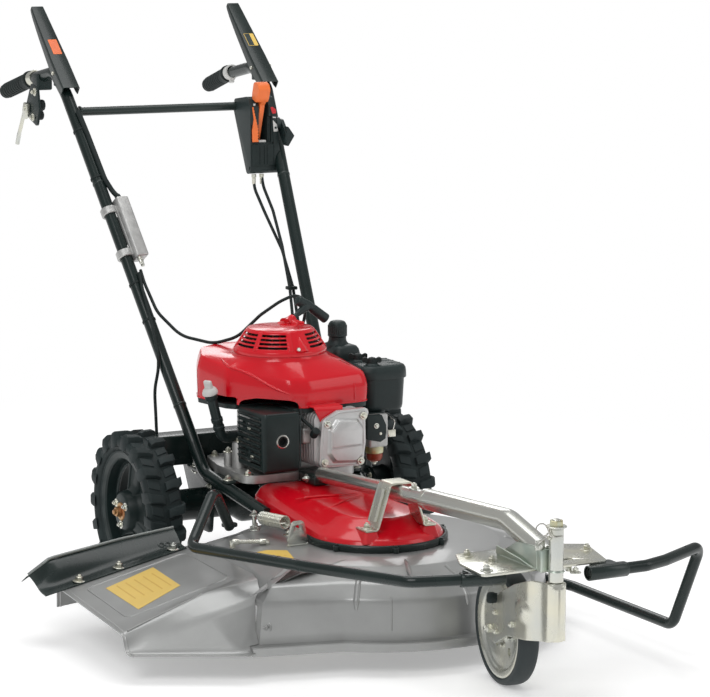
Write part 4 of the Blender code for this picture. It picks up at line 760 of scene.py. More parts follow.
def saddle(side):
    tag = TAG[side]
    pivot = vec(side * LEVER_PIVOT.x, LEVER_PIVOT.y, LEVER_PIVOT.z)
    half = 0.015
    outline = fillet(mm((-7, -26), (7, -26), (7.8, 0), (0, 7.8), (-7.8, 0)), 0.003, 5, closed=True)
    body = plate([(pivot.y + y, pivot.z + z) for y, z in outline], 2 * half, "satin", side_plane(pivot.x),
        edge=0.0008)
    cut(body, seat(side))
    reach = 0.0215
    parts = [body, rod(pivot - vec(reach, 0, 0), pivot + vec(reach, 0, 0), 0.0039, "zinc", 24, 0.0006)]
    show("lever_saddle_" + tag, parts)


for side in (RIGHT, LEFT):
    saddle(side)

# the silver clamp and the bracket below the right grip, with its knobs
way = (grip_line(RIGHT)[1] - grip_line(RIGHT)[0]).normalized()
x = -0.244
outline = fillet(mm((575, 945), (612, 951), (642, 905), (632, 878), (580, 862), (566, 900)), 0.008, 6, True)
plate_part = plate(outline, 0.0045, "satin", side_plane(x), [circle(0.003, (0.588, 0.88), 20)], edge=0.0007)
clamp = block((-0.2455, 0.5755, 0.938), (-0.2115, 0.6065, 0.9725), "satin", 0.004, 4)
cut(clamp, seat(RIGHT))
pin = rod((x, 0.628, 0.898), (-0.2582, 0.628, 0.898), 0.0034, "zinc", 24, 0.0006)
parts = [plate_part, clamp, pin, *bolt((-0.2464, 0.59, 0.934), (-1, 0, 0), 0.0052),
    *bolt((-0.2464, 0.603, 0.88), (-1, 0, 0), 0.005), *bolt((-0.2464, 0.628, 0.898), (-1, 0, 0), 0.005,
    "satin")]
for place, radius, high in (((-0.2418, 0.59, 0.906), 0.012, 0.017), ((-0.2418, 0.606, 0.884), 0.0105, 0.02)):
    parts.append(turned([(0, high), (radius * 0.55, high), (radius * 0.9, high - 0.002),
        (radius, high - 0.005), (radius, 0.005), (radius * 0.85, 0.002), (radius * 0.6, 0), (0, 0)], "rubber",
        place, X, 36))
show("lever_bracket", parts)


def hand_blade():
    place = 0.628, 0.898
    spine = mm((4, 2), (16, -16), (30, -36), (45, -57), (57, -79))
    parts = [
        plate([(place[0] + y, place[1] + z) for y, z in fillet(mm((-12, 8), (6, 13), (14, -4), (12, -22),
            (4, -24), (-10, -8)), 0.005, 5, True)], 0.0075, "zinc", side_plane(-0.2515),
            [circle(0.004, place, 24)], edge=0.0008),
    ]
    rings = []
    for k, (y, z) in enumerate(fillet(spine, 0.02, 5)):
        share = k / 17
        wide = 0.0042 + 0.0018 * min(share * 1.4, 1)
        deep = 0.0058 - 0.0022 * share
        ring = []
        for a in range(16):
            turn = tau * a / 16
            ring.append((-0.2515 + wide * 0.93 * cos(turn) * 0.9, place[0] + y + deep * sin(turn) * 0.85,
                place[1] + z + deep * sin(turn) * 0.5))
        rings.append(ring)
    parts.append(loft(rings, "zinc"))
    show("hand_lever", parts, "hand_lever")


hand_blade()

# the silver lock bracket beside the left lever, and the collars by the grips
arc = circle(0.046, (0.556, 0.957), 14, radians(155), radians(-115))
inner = [(0.556 + (y - 0.556) * 0.52, 0.957 + (z - 0.957) * 0.52) for y, z in reversed(arc)]
sheet = plate(arc + inner, 0.0018, "zinc", side_plane(0.2502), edge=0.0004)
strip = thicken(skin([[(0.2502, y, z), (0.26, y, z)] for y, z in arc[1:-2]], "yellow"), 0.0012, 0)
link = rod((0.2465, 0.4865, 0.9785), (0.2512, 0.4865, 0.9785), 0.0065, "zinc", 28, 0.0006)
foot = plate(fillet(mm((480, 972), (495, 969), (540, 986), (548, 1000), (520, 997), (482, 985)), 0.004, 5,
    True), 0.0018, "zinc", side_plane(0.2502), edge=0.0004)
stem = block((0.236, 0.604, 0.965), (0.2511, 0.616, 0.969), "zinc", 0.0008)
piece("lock_bracket", "machine", [sheet, strip, link, foot, stem, *bolt((0.2511, 0.59, 0.985), X, 0.0042)],
    slot="lever_saddle_left")

for side in (RIGHT, LEFT):
    start = grip_line(side)[0]
    way = (grip_line(side)[1] - start).normalized()
    finish = "zinc" if side == RIGHT else "light"
    ring = turned([(TUBE_R - 0.0004, 0.02), (0.015, 0.02), (0.016, 0.019), (0.016, 0.002), (0.015, 0),
        (TUBE_R - 0.0004, 0)], finish, start - way * 0.0235, way, 48, True)
    lug_part = block((-0.004, -0.0235, 0.004), (0.004, -0.012, 0.016), finish, 0.001)
    lug_part.matrix_basis = moved(start - way * 0.0235) @ aim(way) @ lug_part.matrix_basis
    piece("grip_collar_" + TAG[side], "machine", [ring, lug_part], slot="lever_saddle_" + TAG[side])


# Console

LOW_X, WIDE = 0.141, 0.0705
FRONT = 0.352


def front_shape(points, thick, material, edge=0.0005, radius=0.0015, lift=0.0004):
    """A flat piece on the console's front face, from its outline in x and z."""
    return plate(fillet(points, radius, 4, True), thick, material, front_plane(FRONT - thick / 2 + lift),
        edge=edge)


outline = fillet(mm((372, 763), (352, 766), (352, 905), (366, 926), (430, 918), (438, 900)), 0.01, 8, True)
body = plate(outline, WIDE, "plastic", side_plane(LOW_X + WIDE / 2), edge=0.0045, segments=5)
body.data.transform(body.matrix_basis)
body.matrix_basis = Matrix.Identity(4)
for vertex in body.data.vertices:
    vertex.co.x -= max(0, vertex.co.z - 0.805) * 0.105 * (vertex.co.x - LOW_X) / WIDE
cutters = [
    seat(LEFT),
    tube([ends[0], ends[1] + vec(0.002, 0, 0)], 0.0096, "black", 24),
    block((0.1605, 0.332, 0.83), (0.1838, 0.394, 0.965), "dark", 0.003, 3),
    block((0.1605, 0.332, 0.87), (0.1838, 0.412, 0.965), "dark", 0.003, 3),
    block((0.18, 0.348, 0.83), (0.1895, 0.36, 0.885), "dark", 0.002, 3),
    block((0.144, 0.348, 0.827), (0.199, 0.3545, 0.83), "dark", 0.0008, 2),
    block((0.143, 0.348, 0.831), (0.162, 0.3542, 0.868), "dark", 0.001, 2),
]
cut(body, *cutters)
panel = front_shape(mm((144, 780.5), (199, 779.5), (199, 825.5), (144, 826.5)), 0.0022, "satin", 0.0006)
cut(panel, *[block((x - 0.0006, 0.348, 0.784), (x + 0.0006, 0.3512, 0.8235), "satin", 0.0003, 1)
    for x in (0.1617, 0.172, 0.1786, 0.194)])
parts = [body, panel]
teeth = [(0.1452, 0.8315), (0.1594, 0.8315)]
for k in range(11):
    z = 0.8345 + k * 0.0062
    edge_x = 0.1594 - max(0, z - 0.858) * 0.24
    teeth += [(edge_x, z), (edge_x - 0.002, z + 0.0031)]
teeth += [(0.1484, 0.9045), (0.1452, 0.9045), (0.1484, 0.879), (0.1446, 0.856)]
parts += [
    plate(teeth, 0.0024, "orange", front_plane(0.352), edge=0.0003, segments=1),
    front_shape(mm((185.2, 904), (198.5, 904), (208, 811), (195, 811), (190.5, 882)), 0.0024, "satin"),
    front_shape(mm((186.2, 903.5), (192.5, 903.5), (199, 898), (199.5, 890), (191.2, 889.5)), 0.003,
        "red_mark"),
    front_shape(mm((191.5, 883.5), (199, 882.5), (199, 880), (192, 880.8)), 0.0029, "light", 0.0003, 0.0006),
    front_shape(mm((191.8, 877), (199, 869), (202.2, 866), (203.6, 852), (193.8, 852)), 0.0029, "light",
        0.0003, 0.0008),
    front_shape(oblong(0.1955, 0.8575, 0.2005, 0.8625), 0.0033, "plastic", 0.0003, 0.002),
    block((0.1612, 0.356, 0.8296), (0.179, 0.37, 0.8345), "light", 0.0008),
    front_shape(mm((148, 912), (152.5, 912), (151.5, 907.5), (147.5, 907.5)), 0.0026, "light", 0.0003,
        0.0008),
    rod((0.151, 0.392, 0.805), (0.193, 0.392, 0.805), 0.0039, "steel", 20),
    rod((0.198, 0.362, 0.868), (0.2215, 0.362, 0.868), 0.0039, "steel", 20, 0.0006),
    turned(mm((4.5, 0.6), (11.5, 0.6), (13, 0), (15, -10), (4.5, -10)), "plastic", (0.2115, 0.362, 0.868), X,
        36, True),
]
for y, z in ((0.36, 0.776), (0.428, 0.905)):
    parts.append(flat_disc((LOW_X - 0.0002, y, z), (-1, 0, 0), 0.0038, 0.0014, "satin"))
show("console", parts)

gx, gy, gz = 0.163, 0.392, 0.805
lean = vec(-0.05, 0.142).normalized()
across = vec(lean.y, -lean.x)


def on_stem(far, wide):
    spot = lean * far + across * wide
    return gy + spot.x, gz + spot.y


stem = mm((-6, 7), (112, 6.2), (124, 10), (126, 0), (124, -13), (112, -6.2), (-6, -7))
blade = plate(fillet([on_stem(*p) for p in stem], 0.005, 5, True), 0.0104, "orange", side_plane(gx + 0.0048),
    [circle(0.0045, (gy, gz), 24)], edge=0.0014, segments=3)
head = mm((120, 10.5), (130, 13), (154, 13.2), (159.5, 6), (158.5, -8), (151, -16), (130, -16), (120, -12))
knob = plate(fillet([on_stem(*p) for p in head], 0.006, 6, True), 0.0262, "orange", side_plane(gx - 0.0003),
    edge=0.0056, segments=6)
ribs = []
for far in (0.133, 0.139, 0.145, 0.151):
    y, z = on_stem(far, 0.013)
    ribs.append(rod((gx - 0.0095, y, z), (gx + 0.0085, y, z), 0.0009, "orange", 12, 0.0003))
show("gear_lever", [blade, knob, *ribs], "gear_lever")

x, y, z = 0.2155, 0.362, 0.868
shape = [(y + 0.006, z + 0.01), (y - 0.008, z + 0.008), (y - 0.034, z - 0.02), (y - 0.036, z - 0.04),
    (y - 0.02, z - 0.044), (y + 0.005, z - 0.012)]
arm = plate(fillet(shape, 0.004, 6, True), 0.0068, "plastic", side_plane(x + 0.0001),
    [circle(0.0045, (y, z), 24)], edge=0.0018, segments=4)
ridge = [(y - 0.01, z - 0.004), (y - 0.031, z - 0.024), (y - 0.032, z - 0.037), (y - 0.022, z - 0.038),
    (y - 0.006, z - 0.016)]
fin = plate(fillet(ridge, 0.003, 5, True), 0.01, "plastic", side_plane(x + 0.002), edge=0.0022, segments=4)
paddle = plate(fillet([(x - 0.0015, z - 0.004), (x + 0.003, z - 0.006), (x + 0.0165, z - 0.0245),
    (x + 0.002, z - 0.047), (x - 0.0015, z - 0.043)], 0.0025, 5, True), 0.017, "plastic",
    front_plane(y - 0.025), edge=0.0022, segments=4)
show("throttle_lever", [arm, fin, paddle], "throttle_lever")


# Cable box and cables

low, high = handle_point(RIGHT, 0.612), handle_point(RIGHT, 0.725)
along = (high - low).normalized()
span = (high - low).length
box_across = vec(1, 0, 0)
forward = along.cross(box_across).normalized()
box_matrix = moved((low + high) / 2 + box_across * 0.024 - forward * 0.012) @ aim(along)


def in_box(obj):
    """Moves a draft from the cable box's own axes to the machine."""
    obj.matrix_basis = box_matrix @ obj.matrix_basis
    return obj


h = span / 2
parts = [in_box(block((-0.014, -0.016, -h), (0.014, 0.016, h), "cast", 0.0045, 5))]
cut(parts[0], seat(RIGHT))
parts.append(in_box(block((-0.0155, -0.0165, -h + 0.01), (0.0155, 0.004, h - 0.012), "cast", 0.004, 4)))
cut(parts[-1], seat(RIGHT))
for share in (-0.6, 0.55):
    parts += [
        in_box(rod((0.015, -0.006, share * h - 0.008), (0.015, -0.006, share * h + 0.008), 0.0034, "cast", 24,
            0.0008)),
        in_box(rod((0.015, -0.006, share * h - 0.0095), (0.015, -0.006, share * h + 0.0095), 0.0016, "steel",
            16, 0.0004)),
    ]
for k, share in enumerate((-0.38, 0.34)):
    profile = mm((13.2, 8), (16.5, 8), (17.7, 6.5), (17.7, -6.5), (16.5, -8), (13.2, -8))
    parts.append(turned(profile, "cast", (low + high) / 2 + along * share * span, along, 48, True))
for x_off, y_off in ((-0.004, -0.006), (0.006, 0.007)):
    parts.append(in_box(turned(mm((0, 0), (4.8, 0), (4.8, -6), (4, -7), (4, -14), (3.4, -15), (0, -15)),
        "zinc", (x_off, y_off, -h + 0.001), Z, 24)))
parts.append(in_box(turned(mm((0, 12), (5, 12), (6.4, 8), (6.6, 0), (0, 0)), "rubber", (0, 0, h - 0.001), Z,
    24)))
show("cable_box", parts)

CABLE_R = 0.0032


def beside(side, z, out, fore):
    return handle_point(side, z) + vec(out, fore, 0)


box_low = handle_point(RIGHT, 0.612)
clear = TUBE_R + CABLE_R + 0.006
beam_top = 0.2843
ROUTES = {
    "right_long": [box_low + vec(0.022, -0.014, -0.016), beside(RIGHT, 0.574, 0.012, -0.02),
        beside(RIGHT, 0.52, 0.016, -clear), (-0.128, 0.11, 0.474), (-0.085, 0.046, 0.464),
        (-0.045, 0.02, 0.478), (0, 0.01, 0.52), (0.04, 0.005, 0.545), (0.078, 0.012, 0.556),
        (0.112, 0.034, 0.54), (0.125, 0.064, 0.5), (0.112, 0.078, 0.44), (0.1, 0.072, 0.37),
        (0.085, 0.036, 0.29), (0.084, 0.028, 0.262), (0.084, 0.028, 0.2436)],
    "right_short": [box_low + vec(0.012, -0.031, -0.018), beside(RIGHT, 0.566, 0.003, -clear),
        beside(RIGHT, 0.5, -0.004, -clear), beside(RIGHT, 0.43, -0.016, -0.02), (-0.188, 0.105, 0.37),
        (-0.19, 0.095, 0.32), (-0.19, 0.092, beam_top)],
    "left_first": [(0.153, 0.362, 0.762), (0.153, 0.361, 0.735), (0.165, 0.335, 0.685), (0.176, 0.275, 0.612),
        (0.172, 0.215, 0.54), (0.158, 0.15, 0.44), (0.146, 0.108, 0.35), (0.142, 0.096, 0.31),
        (0.142, 0.094, beam_top)],
    "left_second": [(0.171, 0.362, 0.762), (0.172, 0.357, 0.738), (0.176, 0.318, 0.69), (0.17, 0.262, 0.622),
        (0.16, 0.205, 0.54), (0.142, 0.145, 0.44), (0.13, 0.104, 0.35), (0.126, 0.092, 0.31),
        (0.126, 0.09, beam_top)],
}


def cable(name, node):
    """A sheathed cable along its route."""
    path = fillet(ROUTES[name], 0.06, 10)
    thin = [Vector(path[0])]
    for spot in path[1:]:
        if (Vector(spot) - thin[-1]).length > 0.002:
            thin.append(Vector(spot))
    whole = tube(thin, CABLE_R, "rubber", 16)
    result = piece("cable_" + name, "machine", [whole], [node], angle=50)
    line = [p + SHIFT for p in thin]
    length = sum(((b - a).length for a, b in zip(line, line[1:])))
    tuple(line[0])
    [tuple(p) for p in line]
    print("cable", name, round(length, 3))


cable("right_long", "cables_right")
cable("right_short", "cables_right")
cable("left_first", "cables_left")
cable("left_second", "cables_left")

ties = [
    along_tube(RIGHT, 0.862, 0.004, TUBE_R + 0.0014, "rubber", 0.0006),
    along_tube(RIGHT, 0.77, 0.004, TUBE_R + 0.0014, "rubber", 0.0006),
]
conduit = [
    beside(RIGHT, 0.905, 0.004, -0.022),
    beside(RIGHT, 0.86, 0.008, -0.017),
    beside(RIGHT, 0.772, 0.01, -0.0165),
    beside(RIGHT, 0.748, 0.019, -0.01),
    (low + high) / 2 + box_across * 0.024 - forward * 0.012 + along * (h + 0.006),
]
ties.append(tube(fillet(conduit, 0.03, 8), 0.0052, "rubber", 24))
for z in (0.568, 0.5):
    ties.append(along_tube(RIGHT, z, 0.004, TUBE_R + 0.0014, "rubber", 0.0006))
piece("cable_ties_right", "machine", ties, slot="cables_right")
clips = []
for name in ("left_first", "left_second"):
    top = Vector(ROUTES[name][0])
    clips.append(turned(mm((0, 1), (5.2, 1), (5.2, -5), (4.2, -6), (4.2, -18), (3.6, -20), (0, -20)), "zinc",
        top, Z, 28))
centre = vec(0.166, 0.21, 0.54)
clips.append(block(centre - vec(0.0105, 0.0085, 0.0035), centre + vec(0.0105, 0.0085, 0.0035), "rubber",
    0.002, 3))
piece("cable_ties_left", "machine", clips, slot="cables_left")


# Nose: spine, nose tube, plate, sleeve, bumpers and caster

spine_start, joint, rise, nose_end = (vec(0, -0.262, 0.2475), vec(0, -0.69, 0.28), vec(0, -0.966, 0.298),
    vec(0, -1.1, 0.264))
foot = block((-0.0178, -0.266, 0.2275), (0.0178, -0.1958, 0.2465), "black", 0.003, 3)
show("spine_tube", [tube([spine_start, joint - vec(0, 0.0003, 0)], 0.0149, "tube", 48), foot,
    *bolt((-0.0178, -0.232, 0.237), (-1, 0, 0), 0.0052)])
nose_path = fillet([joint - vec(0, 0.0006, 0), rise, nose_end], 0.06, 12)
way = (nose_end - rise).normalized()
shell = tube(nose_path, 0.0189, "tube", 56)
mouth = turned(mm((15, 0.4), (18.6, 0.4), (19, -3), (19, -6), (15, -6)), "tube", Vector(nose_path[0]),
    (0, 1, 0.04), 48, True)
weld = []
for k in range(26):
    turn = tau * k / 26
    spot = nose_end - way * 0.0015 + vec(1, 0, 0) * 0.0186 * cos(turn) + way.cross(vec(1, 0,
        0)) * 0.0186 * sin(turn)
    weld.append(spot)
bead = tube([*weld, weld[0]], 0.0019, "tube", 10, True, [0.0019 + 0.0004 * sin(k * 2.4) for k in range(27)])
show("nose_tube", [shell, mouth, bead], angle=50)

TOP = 0.242
SLEEVE_AT = 0, -1.12, 0
plan = fillet(mm((-119, -1088), (119, -1088), (152, -970), (85, -935), (-85, -935), (-112, -998)), 0.01, 6,
    closed=True)
slot = fillet(oblong(0.03, -1.06, 0.072, -1.048), 0.004, 4, closed=True)
sheet = plate(plan, 0.004, "zinc", moved((0, 0, TOP - 0.002)), [slot], edge=0.0007)
cut(sheet, rod((0, -1.12, 0.2), (0, -1.12, 0.3), 0.0131))
parts = [sheet]
cheek = fillet([(-1.096, TOP - 0.001), (-0.965, TOP - 0.001), (-1.03, TOP + 0.034), (-1.096, TOP + 0.04)],
    0.006, 4, closed=True)
for sign in (-1, 1):
    parts.append(plate(cheek, 0.0028, "green", side_plane(sign * 0.0212), edge=0.0005))
    # flared wing of folded sheet beside each gusset
    wing = [[(sign * 0.0215, y, TOP - 0.0004 + z0), (sign * (0.024 + 0.5 * z), y, TOP - 0.0004 + z)]
        for y, z0, z in ((-1.085, 0.001, 0.003), (-1.05, 0.001, 0.012), (-0.985, 0.001, 0.02),
        (-0.97, 0.001, 0.004))]
    parts.append(thicken(skin(wing, "green"), 0.002, 0))
web = block((-0.022, -1.109, TOP - 0.003), (0.022, -1.0937, TOP + 0.0358), "green", 0.002, 3)
cut(web, rod((0, -1.12, 0.2), (0, -1.12, 0.3), 0.0128), tube(nose_path, 0.0194, "black", 40))
parts.append(web)
for sign in (-1, 1):
    parts.append(tube([(sign * 0.023, -1.094, TOP + 0.0008), (sign * 0.023, -0.968, TOP + 0.0008)], 0.0014,
        "green", 10))
for x, y in ((-0.099, -1.064), (-0.06, -1.014), (0.128, -1.01), (-0.074, -0.955)):
    parts += bolt((x, y, TOP), Z, 0.0066)
show("nose_plate", parts)

bore = 0.0085
sleeve = turned([(bore, 0.316), (0.0112, 0.316), (0.0122, 0.3148), (0.0124, 0.313), (0.0124, 0.2265),
    (0.0122, 0.225), (0.0112, 0.2241), (bore, 0.2241)], "zinc", SLEEVE_AT, steps=56, closed=True)
ring = turned([(0.012, TOP + 0.0035), (0.0136, TOP + 0.0022), (0.0148, TOP + 0.0002), (0.012, TOP + 0.0002)],
    "green", SLEEVE_AT, steps=40, closed=True)
show("pivot_sleeve", [sleeve, ring], angle=40)

low = 0.3163
washer = turned([(0.0083, low + 0.0028), (0.0165, low + 0.0028), (0.0176, low + 0.002),
    (0.0176, low + 0.0002), (0.0083, low + 0.0002)], "zinc", SLEEVE_AT, steps=48, closed=True)
nut = turned([(0.0083, low + 0.0118), (0.0105, low + 0.0118), (0.0122, low + 0.0105), (0.0124, low + 0.0028),
    (0.0083, low + 0.0028)], "honey", SLEEVE_AT, steps=6, closed=True)
show("spindle_nut", [washer, nut], "caster_swivel")

loop = []
for k in range(25):
    turn = pi * 1.75 * k / 24 + 0.5
    loop.append((-0.0255 + 0.0105 * cos(turn), -1.118 + 0.004 * sin(turn * 0.7), 0.3135 + 0.0105 * sin(turn)))
clip = tube(fillet([(0.004, -1.1335, 0.3035), (-0.01, -1.1345, 0.303), (-0.0165, -1.128, 0.304), *loop[::3],
    (-0.019, -1.117, 0.3), (-0.03, -1.112, 0.2895)], 0.004, 3), 0.0011, "steel", 12)
pin = rod((-0.0175, -1.1215, 0.3), (-0.0118, -1.1215, 0.3), 0.0034, "zinc", 20, 0.0006)
parts = [clip, pin, *bolt((-0.0235, -1.105, 0.285), (0, -1, 0), 0.0052), block((-0.03, -1.1045, 0.2765),
    (-0.012, -1.102, 0.2935), "zinc", 0.0008)]
piece("spindle_clip", "machine", parts, slot="pivot_sleeve")


# Stays over the belt cover

t = 0.004
pad_top = 0.2055
STAY_Y = -0.563
# the spine tube's middle line above the stay, and the strip's height under it
spine_low = 0.2475 + (0.28 - 0.2475) * (0.592 - 0.262) / (0.69 - 0.262)
top_z = spine_low + 0.015 + 0.0003 + t / 2
path = [(-0.072, pad_top + t / 2), (-0.0475, pad_top + t / 2), (-0.0215, top_z), (0.0215, top_z),
    (0.0475, pad_top + t / 2), (0.072, pad_top + t / 2)]
line = fillet(path, 0.007, 8)
strip = [[(x, y, z) for x, z in line] for y in (-0.584, -0.5832, -0.5428, -0.542)]
bar = thicken(skin(strip, "zinc"), t * 0.9, 0)
bevel(bar, 0.0006, 2, 60)
parts = [bar]
for x in (-0.06, 0.06):
    parts += bolt((x, STAY_Y, pad_top + t), Z, 0.0062)
for sign in (-1, 1):
    rib = [(sign * 0.0268, -0.563, top_z - 0.0105), (sign * 0.029, -0.563, top_z - 0.02),
        (sign * 0.0405, -0.563, pad_top + 0.026), (sign * 0.044, -0.563, pad_top + 0.016)]
    ridge = [[(x + sign * out, y + w, z) for x, y, z in rib] for w, out in ((-0.01, 0.0012), (-0.007, 0.005),
        (0.007, 0.005), (0.01, 0.0012))]
    parts.append(thicken(skin(ridge, "zinc"), 0.0024, 0))
    for edge_y in (-0.5834, -0.5426):
        parts.append(tube([(sign * 0.024, edge_y, top_z - 0.006), (sign * 0.0462, edge_y, pad_top + 0.009)],
            0.0026, "zinc", 12))
show("stay", parts)
ring_way = (joint - spine_start).normalized()
collar_at = spine_start.lerp(joint, 0.985)
parts = [
    turned(mm((14.7, 9), (18, 9), (19.2, 7.8), (19.2, -6), (18, -7.2), (14.7, -7.2)), "zinc", collar_at,
        ring_way, 56, True),
    *bolt(spine_start.lerp(joint, 0.862) + UP * 0.0146, (0, -0.07, 1), 0.0058),
]
piece("spine_collar", "machine", parts, slot="spine_tube")

# the small linkage on the deck's left front: a light rod between two bolted ends
left, right = vec(0.062, -0.842, 0.179), vec(0.178, -0.872, 0.179)
parts = [
    tube([left, right], 0.0042, "light", 20),
    rod(left, left.lerp(right, 0.12), 0.0062, "zinc", 24, 0.001),
    rod(left.lerp(right, 0.82), right, 0.0062, "zinc", 24, 0.001),
]
for place in (left, right):
    parts += [
        rod((place.x, place.y, 0.1702), (place.x, place.y, 0.186), 0.006, "zinc", 24, 0.0008),
        *bolt((place.x, place.y, 0.1855), Z, 0.006),
        *bolt((place.x + 0.004, place.y - 0.016, 0.1702), Z, 0.0062),
    ]
LINKAGE = parts


# Bumper bars

def bumper(side):
    tag = TAG[side]
    if side == RIGHT:
        path = fillet(mm((-66, -1058, 226.5), (-150, -1040, 226.5), (-214, -1010, 224), (-300, -776, 212),
            (-366, -470, 188), (-270, -360, 262), (-210, -296, 174.5)), 0.035, 14)
    else:
        path = fillet(mm((78, -1100, 226.5), (190, -1098, 226.5), (240, -1080, 226.5), (347, -1028, 230),
            (347, -946, 70), (344, -620, 68.8), (330.5, -545, 68.8), (329.5, -460, 68.8)), 0.03, 14)
    start, ahead = Vector(path[0]), (Vector(path[1]) - Vector(path[0])).normalized()
    bar = tube(path, 0.0099, "black", 40)
    reach = 0.072
    shell = turned([(0.0098, reach), (0.0122, reach), (0.0132, reach - 0.0012), (0.0132, -0.0028),
        (0.0122, -0.004), (0.0102, -0.004), (0.0098, -0.002), (0.0098, 0.004)], "black", start, ahead, 48,
        True)
    # the plug in the bar's open end is painted shade, near-black for the shade inside the tube
    inner = turned(mm((9.9, 2), (7.8, 0), (7.6, -3), (7.6, 12), (0, 12), (0, 16), (9, 16)), "dark", start,
        ahead, 40)
    middle = start + ahead * 0.036
    top = TOP - 0.0043
    ear_plan = oblong(middle.x - 0.021, middle.y - 0.004, middle.x + 0.021, middle.y + 0.03)
    hole = circle(0.0042, (middle.x - side * 0.004, middle.y + 0.018), 24)
    ear = plate(fillet(ear_plan, 0.006, 5, True), top - middle.z - 0.006, "black",
        moved((0, 0, (top + middle.z + 0.006) / 2)), [hole], edge=0.0008)
    cap_plan = fillet(oblong(middle.x - 0.033, middle.y - 0.01, middle.x + 0.033, middle.y + 0.008), 0.004, 4,
        True)
    saddle_cap = plate(cap_plan, 0.003, "black", moved((0, 0, middle.z + 0.0125 - 0.0028)), edge=0.0012)
    cutter = block((-0.3, -1.2, top - 0.0002), (0.3, -0.8, 0.3))
    for obj in (shell, saddle_cap, bar):
        cut(obj, cutter)
    parts = [bar, shell, ear, saddle_cap, inner]
    if side == RIGHT:
        cut(bar, seat(RIGHT))
        foot = rod((-0.21, -0.296, 0.1752), (-0.21, -0.296, 0.181), 0.015, "black", 32, 0.001)
        parts.append(foot)
    show("bumper_" + tag, parts, angle=50)


bumper(RIGHT)
bumper(LEFT)


# Caster

PIVOT = moved(SLEEVE_AT) @ Matrix.Rotation(-radians(6.9), 4, "Z")
TRAIL, CASTER_R = 0.2, 0.101


def in_caster(obj):
    """Moves a draft from the turned fork's own axes to the machine."""
    obj.matrix_basis = PIVOT @ obj.matrix_basis
    return obj


def cheek(sign):
    """One wall of the fork: points on the bent sheet with a pressed teardrop, cut to its outline."""
    half, boss = 0.025, 0.015
    outline = fillet(mm((-15.5, 126.2), (128, 104), (180, 78), (220, 88), (218, 122), (160, 172), (100, 200),
        (40, 219.5), (-15.5, 223.2)), 0.01, 7, closed=True)

    def depth(y, z):
        if y < -0.004:
            place = sqrt(max(0, boss * boss - y * y))
            return max(0.002, place)
        if y < 0.01:
            return boss
        if y < 0.056:
            share = (y - 0.01) / 0.046
            ease = share * share * (3 - 2 * share)
            place = boss + (half + 0.004 - boss) * ease
        else:
            place = half + 0.004
        return place

    columns, rows = 70, 40
    grid = []
    for i in range(columns + 1):
        y = -0.0155 + 0.2365 * i / columns
        row = []
        for j in range(rows + 1):
            z = 0.074 + 0.152 * j / rows
            bump = 0
            u, v = (y - 0.066) / 0.03, (z - 0.163) / 0.02
            far = u * u + v * v
            if far < 1:
                bump = 0.0062 * (1 - far) ** 1.2
            row.append((sign * (depth(y, z) + bump), y, z))
        grid.append(row)
    wall = thicken(skin(grid, "zinc"), 0.0036, 0)
    trim = plate(outline, 0.14, "zinc", side_plane(0))
    boolean(wall, "INTERSECT", [trim])
    bevel(wall, 0.0005, 2, 60)
    wall.matrix_basis = PIVOT
    trim.matrix_basis = PIVOT @ trim.matrix_basis
    return wall


parts = [cheek(-1), cheek(1)]
spindle = turned(mm((0, 330), (5, 330), (6.8, 328.8), (7.8, 326.5), (7.8, 223.8), (14.6, 223.4), (15, 222.6),
    (15, 126.2), (14.6, 125.8), (0, 125.8)), "zinc", SLEEVE_AT, steps=56)
parts += [spindle, in_caster(block((-0.0255, 0.04, 0.18), (0.0255, 0.082, 0.186), "green", 0.001))]
axle = rod((-0.0325, TRAIL, CASTER_R), (0.0325, TRAIL, CASTER_R), 0.0074, "zinc", 32, 0.001)
parts.append(in_caster(axle))
for sign in (-1, 1):
    parts += [in_caster(part) for part in bolt((sign * 0.0288, TRAIL, CASTER_R), (sign, 0, 0), 0.0085)]
    for y, z, size in ((0.106, 0.13, 0.006), (0.176, 0.164 - 0.03, 0.005), (0.174, 0.101, 0.005)):
        parts += [in_caster(part) for part in bolt((sign * 0.0286, y, z), (sign, 0, 0), size)]
    stop_part = turned(mm((0, 16.5), (7.2, 16.5), (9.2, 15), (9.8, 12), (9.8, 6), (8.5, 4), (8.5, 0), (0, 0)),
        "rubber", (sign * 0.0285, 0.178, 0.158), (sign, 0.25, 0.1), 32)
    parts.append(in_caster(stop_part))
show("caster_fork", parts, "caster_swivel", angle=42)

centre = PIVOT @ vec(0, TRAIL, CASTER_R)
axis = PIVOT.to_3x3() @ vec(1, 0, 0)
half = mm((8.1, 24.3), (16.5, 24.3), (18, 23), (19, 13), (22.5, 8), (30, 6.2), (42, 5), (52, 5.6), (60, 8.4),
    (66, 9.8), (70.5, 10.2), (74.5, 13), (76.5, 15), (80, 16), (83.5, 17.2), (86.5, 17.6), (87.9, 17),
    (88, 15))
rim = turned(mirrored(half), "zinc", centre, axis, 96, True)
holes = []
frame_axis = moved(centre) @ aim(axis)
bosses = []
for k in range(5):
    turn = tau * k / 5 + 0.4
    spot = frame_axis @ vec(0.046 * cos(turn), 0.046 * sin(turn), 0)
    cutter = rod(spot - axis * 0.03, spot + axis * 0.03, 0.0068, "zinc", 32)
    holes.append(cutter)
    between = turn + pi / 5
    for sign in (-1, 1):
        place = frame_axis @ vec(0.033 * cos(between), 0.033 * sin(between), sign * 0.0054)
        bosses += bolt(place, axis * sign, 0.0042, stud=False)
cut(rim, *holes)
show("caster_rim", [rim, *bosses], "caster_wheel", angle=42)
half = mm((88.4, 16.5), (89, 17.8), (91, 18.4), (94.5, 18.6), (97.2, 17.8), (99, 16), (100, 13.5),
    (100.7, 10), (101, 5), (101, 0))
show("caster_tyre", [turned(mirrored(half), "caster", centre, axis, 112, True)], "caster_wheel", angle=60)


